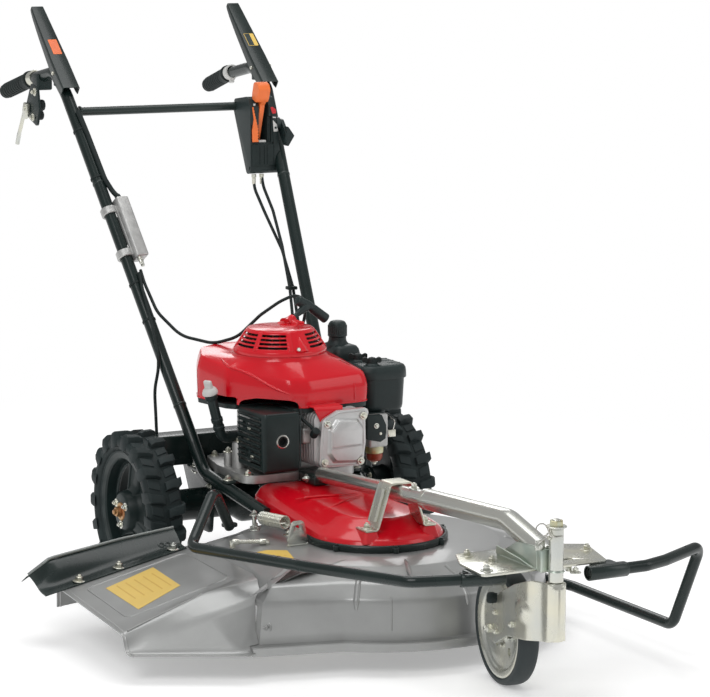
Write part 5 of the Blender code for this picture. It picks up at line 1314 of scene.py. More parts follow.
# Deck, chute and deflector

SPINDLE_Y, DECK_R = -0.484, 0.316


def soften(ring, radius, steps=6):
    """Rounds a path's corners with the same number of points for every path of the same length."""
    path = [Vector(p) for p in ring]
    result = [path[0]]
    for before, corner, after in zip(path, path[1:], path[2:]):
        back, ahead = before - corner, after - corner
        one = corner + back.normalized() * min(radius, back.length * 0.45)
        two = corner + ahead.normalized() * min(radius, ahead.length * 0.45)
        for k in range(steps + 1):
            t = k / steps
            result.append(one * (1 - t) ** 2 + corner * 2 * t * (1 - t) + two * t ** 2)
    return [*result, path[-1]]


def deck_outline(steps=121):
    """The deck's plan: round, with one straight side at the chute."""
    rear_angle, front_angle = radians(130), radians(-128)
    round_part = circle(DECK_R, (0, SPINDLE_Y), steps, front_angle, rear_angle - front_angle)
    rear, front = vec(-0.292, SPINDLE_Y + 0.196), vec(-0.338, SPINDLE_Y - 0.214)
    side = [tuple(rear.lerp(front, k / 10)) for k in range(11)]
    return [*round_part, *side]


DECK_LEVELS = mm((-17.5, 42), (-18.2, 44), (-17.6, 50), (-18, 56.2), (-16.5, 57.8), (-12, 58.1), (-3.2, 58.2),
    (-1, 59.2), (0, 62.5), (1, 74), (5.8, 120), (6.8, 126.5), (8, 129.6), (11, 132.5), (29, 149.8),
    (33, 153.2), (40, 155.7), (86, 168.8), (90, 170))
outline = deck_outline()
pan = loft([at_height(inset(outline, d), z) for d, z in DECK_LEVELS], "grey", cap_start=False)
thicken(pan, 0.0025)
cut(pan, block((-0.42, SPINDLE_Y - 0.185, 0.03), (-0.268, SPINDLE_Y + 0.165, 0.12)),
    rod((0, SPINDLE_Y, 0.12), (0, SPINDLE_Y, 0.2), 0.0322, sides=48))


def deck_height(depth):
    """The deck skin's height at a distance in from its outline."""
    for (d0, z0), (d1, z1) in zip(DECK_LEVELS[8:], DECK_LEVELS[9:]):
        if d0 <= depth <= d1:
            return z0 + (z1 - z0) * (depth - d0) / (d1 - d0)
    return DECK_LEVELS[-1][1]


def over_deck(angle, start, end, steps=24, lift=0):
    """Points down the deck's skin at one bearing, between two distances in from its outline."""
    ray = vec(cos(angle), sin(angle), 0)
    points = []
    for k in range(steps + 1):
        depth = start + (end - start) * k / steps
        points.append(vec(0, SPINDLE_Y, 0) + ray * (DECK_R - depth) + vec(0, 0, deck_height(depth) + lift))
    return points


def rib(x, y, wide, start=0.08, end=0.0052):
    """A pressed rib that runs down the deck's skin."""
    angle = atan2(y - SPINDLE_Y, x)
    line = over_deck(angle, start, end, 30, -wide * 0.55)
    radii = [wide * max(0.12, min(1, 6 * sin(pi * (k + 0.4) / 31))) for k in range(31)]
    return tube(line, wide, "grey", 20, True, radii)


parts = [pan]
for x, y, wide in ((-0.291, -0.64, 0.006), (-0.16, -0.722, 0.0058), (0.02, -0.802, 0.0055),
    (0.2, -0.735, 0.0055), (0.3, -0.6, 0.0055), (0.32, -0.42, 0.0055), (0.23, -0.25, 0.0055)):
    parts.append(rib(x, y, wide))
for x, y in ((-0.259, -0.648), (-0.1, -0.725)):
    angle = atan2(y - SPINDLE_Y, x)
    parts.append(tube(over_deck(angle, 0.012, 0.0012, 16, 0), 0.0012, "grey", 10))
# raised steps of pressed sheet that run from the belt housing out to the shoulder
for start, end in (((-0.12, -0.61), (-0.205, -0.655)), ((-0.03, -0.65), (-0.075, -0.76)),
    ((0.08, -0.64), (0.15, -0.735))):
    a, b = vec(*start, 0.169), vec(*end, 0.1655)
    line = [a.lerp(b, k / 12) for k in range(13)]
    parts.append(tube(line, 0.0045, "grey", 16, True, [0.0045 * max(0.15, sin(pi * (k + 0.5) / 13.5))
        for k in range(13)]))
for place, axis in (((-0.3215, -0.694, 0.088), (-0.93, -0.37, 0.02)), ((-0.27, -0.3, 0.09),
    (-0.8, 0.6, 0.02))):
    parts += bolt(place, axis, 0.006, "grey")
parts += bolt((-0.232, -0.56, 0.166), (-0.15, 0, 1), 0.0055)
parts += LINKAGE
for place in ((-0.161, -0.304, 0.17), (-0.203, -0.444, 0.1685), (-0.135, -0.393, 0.17)):
    parts += bolt(place, Z, 0.0062)
a, b = vec(-0.262, -0.4215, 0.1765), vec(-0.206, -0.447, 0.1765)
parts += [
    tube([a, b], 0.004, "zinc", 20),
    rod(a, a.lerp(b, 0.2), 0.0056, "zinc", 24, 0.001),
    rod(a.lerp(b, 0.8), b, 0.0056, "zinc", 24, 0.001),
    rod((a.x, a.y, 0.163), (a.x, a.y, 0.18), 0.0054, "zinc", 24, 0.001),
]
for k in range(9):
    spot = a.lerp(b, 0.25 + 0.055 * k)
    parts.append(turned(mm((3.4, 0.7), (4.6, 0), (3.4, -0.7)), "zinc", spot, b - a, 20, True))


def patch(corners, spot, thick, material, count=10):
    """A thin sheet between four corners; spot() gives the place in space of each of its points."""
    rows = []
    for i in range(count + 1):
        row = []
        for j in range(count + 1):
            u, v = i / count, j / count
            row.append(spot(*[(corners[0][n] * (1 - u) + corners[1][n] * u) * (1 - v)
                + (corners[3][n] * (1 - u) + corners[2][n] * u) * v for n in (0, 1)]))
        rows.append(row)
    return thicken(skin(rows, material), thick, 0)


def above_deck(lift):
    return lambda x, y: vec(x, y, deck_height(DECK_R - hypot(x, y - SPINDLE_Y)) + lift)


second = mm((-254, -472), (-193, -508), (-228, -640), (-264, -592))
parts.append(patch(second, above_deck(0.0012), 0.0006, "yellow"))
for k in range(4):
    a, b = 0.3 + 0.15 * k, 0.33 + 0.15 * k
    edge_a = [Vector(second[0]).lerp(Vector(second[3]), s) for s in (a, b)]
    edge_b = [Vector(second[1]).lerp(Vector(second[2]), s) for s in (a, b)]
    line = [
        edge_a[0].lerp(edge_b[0], 0.15),
        edge_a[0].lerp(edge_b[0], 0.85),
        edge_a[1].lerp(edge_b[1], 0.85),
        edge_a[1].lerp(edge_b[1], 0.15),
    ]
    parts.append(patch([tuple(p) for p in line], above_deck(0.0014), 0.0007, "yellow_dark", 3))
show("deck", parts, angle=38)

CHUTE = [
    [(-0.3, -0.69, 0.048), (-0.3, -0.69, 0.05), (-0.29, -0.662, 0.143), (-0.277, -0.62, 0.152),
        (-0.262, -0.578, 0.16), (-0.255, -0.3, 0.1433), (-0.185, -0.264, 0.14), (-0.185, -0.262, 0.075)],
    [(-0.372, -0.722, 0.048), (-0.372, -0.708, 0.05), (-0.398, -0.642, 0.108), (-0.396, -0.592, 0.134),
        (-0.3, -0.575, 0.15), (-0.276, -0.285, 0.14), (-0.272, -0.25, 0.138), (-0.272, -0.248, 0.075)],
    [(-0.551, -0.628, 0.048), (-0.553, -0.617, 0.05), (-0.554, -0.612, 0.056), (-0.555, -0.603, 0.08),
        (-0.555, -0.56, 0.083), (-0.555, -0.331, 0.096), (-0.555, -0.296, 0.098), (-0.555, -0.294, 0.06)],
]


def chute_ring(share):
    """The hood's section between its inner ring and its mouth."""
    inner = [Vector(p) for p in CHUTE[1]]
    mouth = [Vector(p) for p in CHUTE[2]]
    return [a.lerp(b, share) for a, b in zip(inner, mouth)]


def on_chute(along, across, lift):
    """A place on the hood's broad face: along runs out to the mouth, across from front to rear."""
    ring = chute_ring(along)
    place = ring[4].lerp(ring[5], across)
    step = chute_ring(min(along + 0.01, 1))
    out = step[4].lerp(step[5], across) - chute_ring(along - 0.01 if along > 0.5 else along)[4].lerp(ring[5],
        across)
    normal = (ring[5] - ring[4]).cross(out).normalized()
    if normal.z < 0:
        normal = -normal
    return place + normal * lift


def above_chute(lift):
    return lambda along, across: on_chute(along, across, lift)


rings = [CHUTE[0], *[chute_ring(k / 12) for k in range(13)]]
hood = skin([soften(ring, 0.012, 6) for ring in rings], "grey")
thicken(hood, 0.0025, 0)
room = deck_outline()
clear = 0.0005
levels = [(-0.0185 - clear, 0), (-0.0185 - clear, 0.0585 + clear), (-0.003, 0.0588 + clear), (-clear, 0.06),
    (0.0062 - clear, 0.1265), (0.011 - clear, 0.1335), (0.033 - clear, 0.1545), (0.04, 0.1572),
    (0.09, 0.1706)]
cut(hood, loft([at_height(inset(room, d), z) for d, z in levels]))
parts = [hood]
label = [(0.39, 0.3), (0.76, 0.14), (0.77, 0.77), (0.38, 0.86)]
parts.append(patch(label, above_chute(0.0017), 0.0006, "yellow", 8))
for k in range(5):
    low = 0.43 + 0.066 * k
    parts.append(patch(oblong(low, 0.36, low + 0.01, 0.74), above_chute(0.0018), 0.0007, "yellow_dark", 4))
border_plan = fillet([(0.1, 0.1), (0.87, 0.06), (0.87, 0.9), (0.1, 0.94)], 0.06, 5, True)
border = [on_chute(along, across, 0.0006) for along, across in border_plan]
parts.append(tube([*border, border[0]], 0.0021, "grey", 12))
seam_line = [chute_ring(k / 14)[3].lerp(chute_ring(k / 14)[4], 0.1) + vec(0, 0, 0.001) for k in range(1, 14)]
parts.append(tube(seam_line, 0.0016, "grey", 12))
mouth_line = soften([p + vec(0.003, 0, 0) for p in chute_ring(0.985)], 0.012, 6)
parts.append(tube(mouth_line, 0.0024, "grey", 14))
show("chute", parts, angle=38)

inner = Vector(CHUTE[1][5])
outer = Vector(CHUTE[2][5])
rise = vec(0, 0, 0.00125 + 0.0016)
KEYS = [(0.06, 0.034, 0.026, 0.004), (0.45, 0.044, 0.034, 0.008), (1, 0.04, 0.044, 0.014),
    (1.13, 0.06, 0.02, 0.012)]


def deflector_at(share):
    """The deflector's section at a share of its way out."""
    for one, two in zip(KEYS, KEYS[1:]):
        if share <= two[0] or two is KEYS[-1]:
            t = (share - one[0]) / (two[0] - one[0])
            back, high, lip = [one[k] + (two[k] - one[k]) * t for k in (1, 2, 3)]
            break
    base = inner.lerp(outer, share) + rise
    return [base + vec(0, 0.004, 0), base + vec(0, 0.03, 0.0015), base + vec(0, 0.03 + back * 0.45,
        high * 0.55), base + vec(0, 0.03 + back, high), base + vec(-0.01 * share, 0.036 + back, high - lip)]


shares = [0.06 + (1.13 - 0.06) * k / 26 for k in range(27)]
sheet = skin([soften(deflector_at(s), 0.012, 6) for s in shares], "black")
thicken(sheet, 0.002, 0)
parts = [sheet]
roll = [deflector_at(s)[3] + vec(0, 0.001, 0.0008) for s in shares]
# the roll along the deflector's top edge is pale grey as a painted highlight on its black edge
parts.append(tube(roll, 0.003, "black_light", 14))
for share in (0.86, 0.56, 0.14):
    station = deflector_at(share)
    spot = station[0].lerp(station[1], 0.55)
    parts += bolt(spot + vec(0, 0, 0.001), (0.05, -0.05, 1), 0.0072)
station = deflector_at(0.2)
spot = station[1].lerp(station[2], 0.5)
axis = (station[2] - station[1]).cross(vec(1, 0, 0)).normalized()
axis = axis if axis.z > 0 else -axis
for k in range(2):
    parts.append(turned(mm((3.8, 2.2), (6.2, 1.8), (6.6, 0.8), (3.8, 0.8)), "black",
        spot + vec(0.012 * k, 0, 0.0003), axis, 28, True))
show("deflector", parts, angle=40)


# Belt housing and cover

def teardrop(radius, rear_half, rear_y, corner=0.03):
    """The belt cover's plan: round about the spindle, with a narrower rear."""
    front = circle(radius, (0, SPINDLE_Y), 61, radians(176), radians(188))
    rear = fillet([(radius * 0.98, SPINDLE_Y + 0.04), (rear_half, rear_y), (-rear_half, rear_y),
        (-radius * 0.98, SPINDLE_Y + 0.04)], corner, 10)
    return [*front, *[p[:2] for p in rear[1:-1]]]


bottom = 0.1703
plan = teardrop(0.133, 0.11, -0.162)
levels = [(0.002, bottom), (0.0006, bottom + 0.0012), (0, bottom + 0.004), (0, bottom + 0.009),
    (0.0008, bottom + 0.0115), (0.0026, bottom + 0.013), (0.0048, bottom + 0.0134), (0.0068, bottom + 0.0126),
    (0.0078, bottom + 0.011), (0.008, bottom + 0.009)]
base = loft([at_height(inset(plan, d), z) for d, z in levels], "black")
cut(base, rod((0, SPINDLE_Y, 0.16), (0, SPINDLE_Y, 0.19), 0.036, sides=48), seat(RIGHT), seat(LEFT))
parts = [base]
for k in range(7):
    turn = radians(-150 + 48 * k)
    place = vec(0.1335 * cos(turn), SPINDLE_Y + 0.1335 * sin(turn), bottom + 0.0045)
    if place.y < SPINDLE_Y + 0.06:
        parts += [
            rod(place - UP * 0.004, place + UP * 0.004, 0.0058, "black", 24, 0.001),
            *bolt(place + UP * 0.004, Z, 0.0038, "satin", True, False),
        ]
show("belt_housing", parts, angle=40)

bottom = 0.1796
plan = teardrop(0.124, 0.106, -0.16)
# each level: how far in from the edge, its height at the rear and its height over the rounded front
levels = mm((0, 0, 0), (-0.6, 1, 1), (0, 3.8, 3.4), (1.6, 6, 5.6), (3, 21.5, 8), (3.8, 24.2, 9.4),
    (6.2, 26.8, 11.2), (12, 36, 15), (15, 39.2, 16.8), (20, 41.8, 20), (27, 45, 24), (33, 46.2, 27),
    (44, 46.6, 36), (52, 46.8, 41.5), (56, 46.9, 42.4))


def cover_ring(d, rear_height, front_height):
    """The belt cover's outline at one level."""
    ring = []
    for p in inset(plan, min(d, 0.027)):
        middle_y = min(max(p[1], SPINDLE_Y), -0.25)
        shrink = 1 - max(0, d - 0.027) / 0.097
        x, y = p[0] * shrink, middle_y + (p[1] - middle_y) * shrink
        share = min(1, max(0, (y + 0.52) / 0.22))
        share = share * share * (3 - 2 * share)
        ring.append(vec(x, y, bottom + front_height + (rear_height - front_height) * share))
    return ring


cover = loft([cover_ring(*level) for level in levels], "red", cap_start=False)
thicken(cover, 0.0028)
cut(cover, block((-0.07, -0.182, 0.15), (0.07, -0.13, 0.218)), seat(RIGHT), seat(LEFT),
    block((-0.2, -0.1535, 0.2215), (0.2, -0.1, 0.24)))
parts = [cover]
for x in (-0.06, 0.06):
    parts.append(loft([at_height(fillet(oblong(x - 0.018, -0.588, x + 0.018, -0.538), 0.006, 5, True), 0.185),
        at_height(fillet(oblong(x - 0.0125, -0.5835, x + 0.0125, -0.5425), 0.006, 5, True), 0.2052)], "red"))
embossed = [((-0.09, -0.33, 0.2215), (-0.076, -0.345, 0.2262), (-0.01, -0.352, 0.2262),
    (0.03, -0.352, 0.2262)), ((-0.078, -0.42, 0.218), (-0.066, -0.432, 0.2228), (-0.03, -0.405, 0.2262),
    (0.03, -0.372, 0.2262))]
for path in embossed:
    line = fillet(path, 0.012, 6)
    parts.append(tube(line, 0.0022, "red", 14, True, [0.0022 * min(1, 0.35 + 0.25 * min(k, len(line) - 1 - k))
        for k in range(len(line))]))
show("belt_cover", parts, angle=38)


# Tensioner

x, y, z = -0.158, -0.478, 0.2045
outline = fillet([(-0.022, 0.1703), (0.022, 0.1703), (0.0125, z + 0.012), (-0.0125, z + 0.012)], 0.0095, 8,
    True)
tab = plate(outline, 0.0036, "zinc", moved((x, 0, 0)) @ front_plane(y), [circle(0.0042, (0, z), 24)],
    edge=0.0005)
foot = tube([(x - 0.021, y, 0.1715), (x + 0.021, y, 0.1715)], 0.0026, "zinc", 14)
show("tensioner_tab", [tab, foot])

start, end = vec(-0.168, -0.352, 0.198), vec(-0.156, -0.424, 0.202)
along = (end - start).normalized()
side_way = along.cross(UP).normalized()
up_way = side_way.cross(along)
curls, per = 24, 28
points = []
for i in range(curls * per + 1):
    turn = tau * i / per
    points.append(start.lerp(end, i / (curls * per)) + (side_way * cos(turn) + up_way * sin(turn)) * 0.0115)
hook = vec(x, y, z - 0.0024)
tail = fillet([vec(-0.172, -0.332, 0.196), start + side_way * 0.0023 - along * 0.006, points[0]], 0.006, 5)
head = fillet([points[-1], end + side_way * 0.0023 + along * 0.006, hook + vec(0, 0.012, 0),
    hook - vec(0, 0.006, 0)], 0.006, 5)
wire = tube([*tail[:-1], *points, *head[1:]], 0.0013, "zinc", 12)
show("tension_spring", [wire], angle=60)
anchor = [
    rod((-0.1725, -0.325, 0.1725), (-0.1725, -0.325, 0.203), 0.004, "zinc", 24, 0.0006),
    *bolt((-0.1725, -0.325, 0.1985), Z, 0.0055),
    *bolt((-0.1725, -0.325, 0.1705), Z, 0.0062),
]
piece("spring_anchor", "machine", anchor, slot="tension_spring")


# Engine

CRANK_Y = -0.08
CRANK = vec(0, CRANK_Y, 0)
SHROUD_PLAN = mm((140, -196), (130, -75), (122, -15), (70, 52), (-70, 62), (-126, 40), (-147, -10),
    (-127, -100), (-40, -205), (-6, -216))
shroud_plan = by_angle(fillet(SHROUD_PLAN, 0.02, 10, closed=True), (0, CRANK_Y), 144)

outline = fillet(oblong(-0.15, -0.152, 0.15, 0.0515), 0.02, 8, closed=True)
sheet = plate(outline, 0.005, "black", moved((0, 0, 0.2245)), [circle(0.03, (0, CRANK_Y), 48)], edge=0.001)
cut(sheet, seat(RIGHT), seat(LEFT), block((-0.1308, -0.06, 0.21), (-0.1232, 0.08, 0.24)),
    block((0.1232, -0.06, 0.21), (0.1308, 0.08, 0.24)))
parts = [sheet]
for x, y in ((-0.139, -0.135), (0.139, -0.135), (-0.139, 0.02), (0.139, 0.02)):
    parts += bolt((x, y, 0.227), Z, 0.006)
show("engine_plate", parts)

base_z = 0.2273
top = base_z + 0.016
outline = fillet(mm((-128, -195), (108, -195), (124, -110), (108, 40), (-108, 40), (-128, -60)), 0.025, 8,
    True)
foot = plate(outline, 0.016, "cast", moved((0, 0, base_z + 0.008)), edge=0.0022, segments=3)
case = turned([(0, 0.362), (0.073, 0.362), (0.08, 0.36), (0.0838, 0.3555), (0.085, 0.35), (0.085, 0.3),
    (0.0842, 0.2985), (0.0842, 0.2955), (0.085, 0.294), (0.085, top + 0.006), (0.089, top - 0.002),
    (0, top - 0.002)], "cast", CRANK, steps=96)
# the block between the cylinder fins is painted shade, near-black for the shade in the gaps between fins
core = block((0.01, -0.237, 0.272), (0.082, -0.12, 0.352), "dark", 0.004, 3)
parts = [foot, case, core]
fin_plan = fillet(oblong(-0.004, 0.256, 0.104, 0.364), 0.017, 8, True)
for k in range(9):
    grow = 1 + 0.02 * k
    parts.append(plate([(0.05 + (a - 0.05) * grow, b) for a, b in fin_plan], 0.0026, "cover",
        front_plane(-0.2358 + k * 0.0088), edge=0.0008, segments=2))
parts.append(block((-0.022, -0.222, 0.3), (0.02, -0.16, 0.332), "cast", 0.006, 4))
fan_base = [(x * 0.985, CRANK_Y + (y - CRANK_Y) * 0.985) for x, y in shroud_plan]
parts += [
    loft([at_height(fan_base, 0.36), at_height(fan_base, 0.3686)], "satin"),
    block((0.06, -0.02, 0.346), (0.18, 0.02, 0.356), "cast", 0.003, 3),
]
room = block((-0.118, -0.25, 0.251), (-0.0325, -0.115, 0.38))
bore = rod((0, CRANK_Y, 0.2), (0, CRANK_Y, 0.2476), 0.013, sides=48)
for obj in parts[:3] + [parts[-2]]:
    cut(obj, room)
cut(foot, bore)
cut(case, bore)
for x, y in ((-0.1165, -0.18), (0.108, -0.178), (-0.095, 0.024), (0.095, 0.024)):
    parts += bolt((x, y, top), Z, 0.0062)
for x, y, z0, z1, r in ((-0.1005, -0.1035, top - 0.001, 0.294, 0.0135), (-0.113, -0.08, top - 0.001, 0.27,
    0.0085)):
    parts += [rod((x, y, z0), (x, y, z1), r, "cast", 48, 0.002), *bolt((x, y, z1), Z, 0.0058)]
for k in range(10):
    turn = radians(18 + 36 * k)
    if sin(turn) > -0.75:
        place = vec(0.0845 * cos(turn), CRANK_Y + 0.0845 * sin(turn), 0)
        parts.append(rod(place + UP * (top - 0.002), place + UP * 0.292, 0.0048, "cast", 24, 0.001))
        if k % 2:
            parts += bolt(place + UP * 0.2935, Z, 0.0044, stud=False)
# spark plug lead and shadowed wiring between the guard and the valve cover
parts += [
    tube(fillet(mm((-22, -214, 368), (-26, -230, 352), (-12, -242, 338), (-6, -244, 326)), 0.012, 6), 0.0034,
        "rubber", 20),
    rod((-0.006, -0.2375, 0.32), (-0.006, -0.251, 0.332), 0.008, "rubber", 32, 0.002),
]
show("engine_block", parts)

back = -0.2373
outline = fillet(mm((1, 258), (94, 255), (101, 300), (100, 345), (108, 356), (104, 367), (40, 366), (8, 350),
    (3, 300)), 0.01, 8, True)
cover = plate(outline, 0.0115, "cover", front_plane(back - 0.00575), edge=0.002, segments=4)
panel = fillet(mm((33, 268), (78, 265), (91.5, 278), (92.5, 330), (81, 345.5), (39, 349), (21.5, 329),
    (20.5, 284)), 0.005, 6, True)
middle = vec(sum((p[0] for p in panel)) / len(panel), sum((p[1] for p in panel)) / len(panel))


def panel_ring(share, y):
    return [(middle.x + (p[0] - middle.x) * share, y, middle.y + (p[1] - middle.y) * share) for p in panel]


levels = (1.12, 0.0105), (1.07, 0.0116), (1, 0.014), (0.96, 0.0182), (0.93, 0.0196), (0.88, 0.02)
raised = loft([panel_ring(share, back - out) for share, out in levels], "cover")
step_edge = [(0.0235, back - 0.0203, 0.2935), (0.089, back - 0.0203, 0.2975)]
parts = [cover, raised, tube(step_edge, 0.0011, "cover", 12), plate(fillet(mm((26, 295), (88, 299), (88, 328),
    (78.5, 340), (41, 343), (26.2, 326)), 0.004, 5, True), 0.0014, "cover", front_plane(back - 0.0203),
    edge=0.0006)]
rim = fillet(mm((6, 262), (90.5, 259), (96.5, 300), (95.5, 343), (101, 354), (99, 362.5), (42, 361.5),
    (12.5, 347.5), (8, 300)), 0.008, 6, True)
parts.append(tube([(a, back - 0.0112, b) for a, b in rim] + [(rim[0][0], back - 0.0112, rim[0][1])], 0.0012,
    "cover", 10))
for x, z in ((0.0125, 0.2675), (0.0895, 0.2645), (0.0955, 0.352), (0.0185, 0.342)):
    parts += [
        rod((x, back - 0.011, z), (x, back - 0.0135, z), 0.0072, "cover", 36, 0.0008),
        *bolt((x, back - 0.0135, z), (0, -1, 0), 0.0046, stud=False),
    ]
show("valve_cover", parts)


# Muffler and its guard

can = block((-0.101, -0.231, 0.266), (-0.04, -0.142, 0.358), "fins", 0.014, 6)
parts = [
    can,
    rod((-0.05, -0.19, 0.315), (-0.0243, -0.19, 0.315), 0.0158, "fins", 40),
    # the cup in the outlet is painted shade, near-black for the shade inside the pipe
    turned(mm((0, -10), (7.2, -10), (7.6, 0), (8.6, 0), (9.4, -1.5), (9.5, -16), (0, -16)), "dark",
        (-0.072, -0.2412, 0.314), (0, -1, 0), 40),
]
for z in (0.292, 0.332):
    parts.append(block((-0.1022, -0.2322, z - 0.0015), (-0.0388, -0.1408, z + 0.0015), "fins", 0.001, 2))
show("muffler", parts)

left, right, front, rear, floor, roof, wall = -0.112, -0.033, -0.2405, -0.119, 0.254, 0.368, 0.002
guard = block((left, front, floor), (right, rear, roof), "satin", 0.0085, 6)
inside = block((left + wall, front + wall, floor + wall), (right + 0.02, rear + 0.02, roof - wall), "satin",
    0.0065, 5)
cutters = [inside]
count = 9
pitch = (roof - floor - 0.02) / count
lips = []
for k in range(count):
    z = floor + 0.0125 + k * pitch
    cutters.append(block((left - 0.01, front + 0.0135, z), (left + 0.0085, rear - 0.008, z + pitch * 0.52),
        "satin", 0.0018, 3))
    lip = block((-0.0011, -0.0495, 0), (0.0011, 0.0495, 0.0062), "satin", 0.0009, 3)
    lip.matrix_basis = moved((left - 0.0004, (front + rear) / 2 + 0.0022,
        z + pitch * 0.44)) @ Matrix.Rotation(radians(-24), 4, "Y") @ lip.matrix_basis
    lips.append(lip)
cutters.append(rod((-0.072, front - 0.01, 0.314), (-0.072, front + 0.01, 0.314), 0.0105, sides=48))
cut(guard, *cutters)
parts = [
    guard,
    *lips,
    turned(mm((10.5, 0.6), (12.8, 0.4), (14, -0.6), (14, -1.8), (10.5, -1.8)), "steel",
        (-0.072, front, 0.314), (0, -1, 0), 56, True),
]
for y, z in ((-0.158, 0.338), (-0.17, 0.285)):
    parts += [
        turned(mm((0, -0.5), (5.5, -0.5), (7, 1.6), (9.2, 2), (10.6, 1), (11, -0.8), (0, -1.2)), "satin",
            (left, y, z), (-1, 0, 0), 48),
        # the near-black hex in each grommet's middle is painted shade for the shade in its hole
        *bolt((left - 0.0001, y, z), (-1, 0, 0), 0.0034, "dark", False, False),
        *bolt((left - 0.0008, y - 0.022, z - 0.004), (-1, 0, 0), 0.003, stud=False),
    ]
parts += [
    tube([(left + 0.007, front + 0.0035, roof - 0.0016), (right - 0.004, front + 0.0035, roof - 0.0016)],
        0.0018, "satin", 12),
    tube([(right - 0.0012, front + 0.0016, floor + 0.008), (right - 0.0012, front + 0.0016, roof - 0.006)],
        0.0016, "satin", 12),
]
show("muffler_guard", parts)


# Shroud and starter

def shrunk(share, z, slope=0):
    """The shroud's plan, drawn in toward the crank, at a height that may slope."""
    return [vec(x * share, CRANK_Y + (y - CRANK_Y) * share, z + slope * (y - CRANK_Y))
        for x, y in shroud_plan]


angles = [atan2(y - CRANK_Y, x) for x, y in shroud_plan]
mouth = [vec(0.0898 * cos(a), CRANK_Y + 0.0898 * sin(a), 0.4612) for a in angles]
shoulder = shrunk(0.94, 0.443, 0.15)
levels = [(0.99, 0.369), (0.9935, 0.376, 0.02), (0.9975, 0.393, 0.08), (1, 0.407, 0.115),
    (0.999, 0.413, 0.122), (0.994, 0.4195, 0.128), (0.982, 0.428, 0.136), (0.966, 0.436, 0.143),
    (0.952, 0.4405, 0.148)]
rings = [*[shrunk(*level) for level in levels], shoulder]
for share, sag in ((0.12, 0), (0.3, 0.0003), (0.5, 0.0008), (0.7, 0.0016), (0.84, 0.0028), (0.92, 0.003),
    (0.965, 0.0012), (1, 0)):
    rings.append([a.lerp(b, share) - vec(0, 0, sag) for a, b in zip(shoulder, mouth)])
hood = loft(rings, "red", False, False)
thicken(hood, 0.0025)
arch = fillet(mm((-108, 340), (-22, 340), (-22, 380), (-40, 385), (-85, 385), (-108, 378)), 0.012, 8, True)
arch_cut = plate(arch, 0.2, "red", front_plane(-0.185))
cut(hood, arch_cut, block((-0.2, -0.135, 0.34), (-0.11, -0.055, 0.384), "red", 0.006, 4))
slots = []
for x, y, way in ((0.108, -0.128, 1), (0.1, -0.16, 0.9)):
    cutter = block((-0.0025, -0.012, -0.03), (0.0025, 0.012, 0.03), "dark", 0.002, 3)
    cutter.matrix_basis = moved((x, y, 0.448)) @ Matrix.Rotation(way, 4, "Z") @ cutter.matrix_basis
    slots.append(cutter)
cut(hood, *slots)
parts = [hood]


def on_hood(index, share, low=3, high=11):
    """A place on the shroud, between two of its rings."""
    stops = (high - low) * share
    k = min(int(stops), high - low - 1)
    return rings[low + k][index % 144].lerp(rings[low + k + 1][index % 144], stops - k)


# pressed crease that runs from the left shoulder down to the front, and the front corner's fold
crease = []
start_at = min(range(144), key=lambda i: abs(angles[i] - radians(171)))
for k in range(34):
    share = 1 - 0.9 * k / 33
    crease.append(on_hood(start_at + k, share) + vec(0, 0, 0.0002))
parts.append(tube(crease, 0.0026, "red", 14, True, [0.0026 * min(1, 0.2 + 0.2 * min(k, 33 - k))
    for k in range(34)]))
fold = [on_hood(start_at + 56, 0.02 + 0.55 * k / 10, 1, 9) for k in range(11)]
parts.append(tube(fold, 0.0022, "red", 14, True, [0.0022 * min(1, 0.3 + 0.3 * min(k, 10 - k))
    for k in range(11)]))
lip_low = [p + vec(0, 0, 0.0016) for p in shrunk(0.9915, 0.369)]
keep = [i for i, p in enumerate(lip_low) if not (p.y < -0.075 and p.x < -0.018)
    and (not (p.x < -0.105 and -0.14 < p.y < -0.05))]
runs = []
for i in keep:
    if runs and i == runs[-1][-1] + 1:
        runs[-1].append(i)
    else:
        runs.append([i])
for run in runs:
    if len(run) > 3:
        parts.append(tube([lip_low[i] for i in run], 0.0017, "red", 12))
# front tab with its bolt
tab = fillet(mm((-6, 371.5), (56, 367), (40, 356), (29, 336), (20.5, 331.5), (12, 335.5), (3, 355)), 0.004, 5,
    True)
parts.append(plate(tab, 0.0022, "red", front_plane(-0.2405), edge=0.0005))
reach = [
    [(-0.005, -0.204, 0.3735), (0.056, -0.204, 0.3735)],
    [(-0.005, -0.238, 0.3735), (0.056, -0.238, 0.3725)],
    [(-0.005, -0.2405, 0.369), (0.055, -0.2405, 0.366)],
]
parts += [thicken(skin(reach, "red"), 0.0022, 0), *bolt((0.02, -0.2416, 0.3445), (0, -1, 0), 0.0058)]
show("shroud", parts, angle=40)

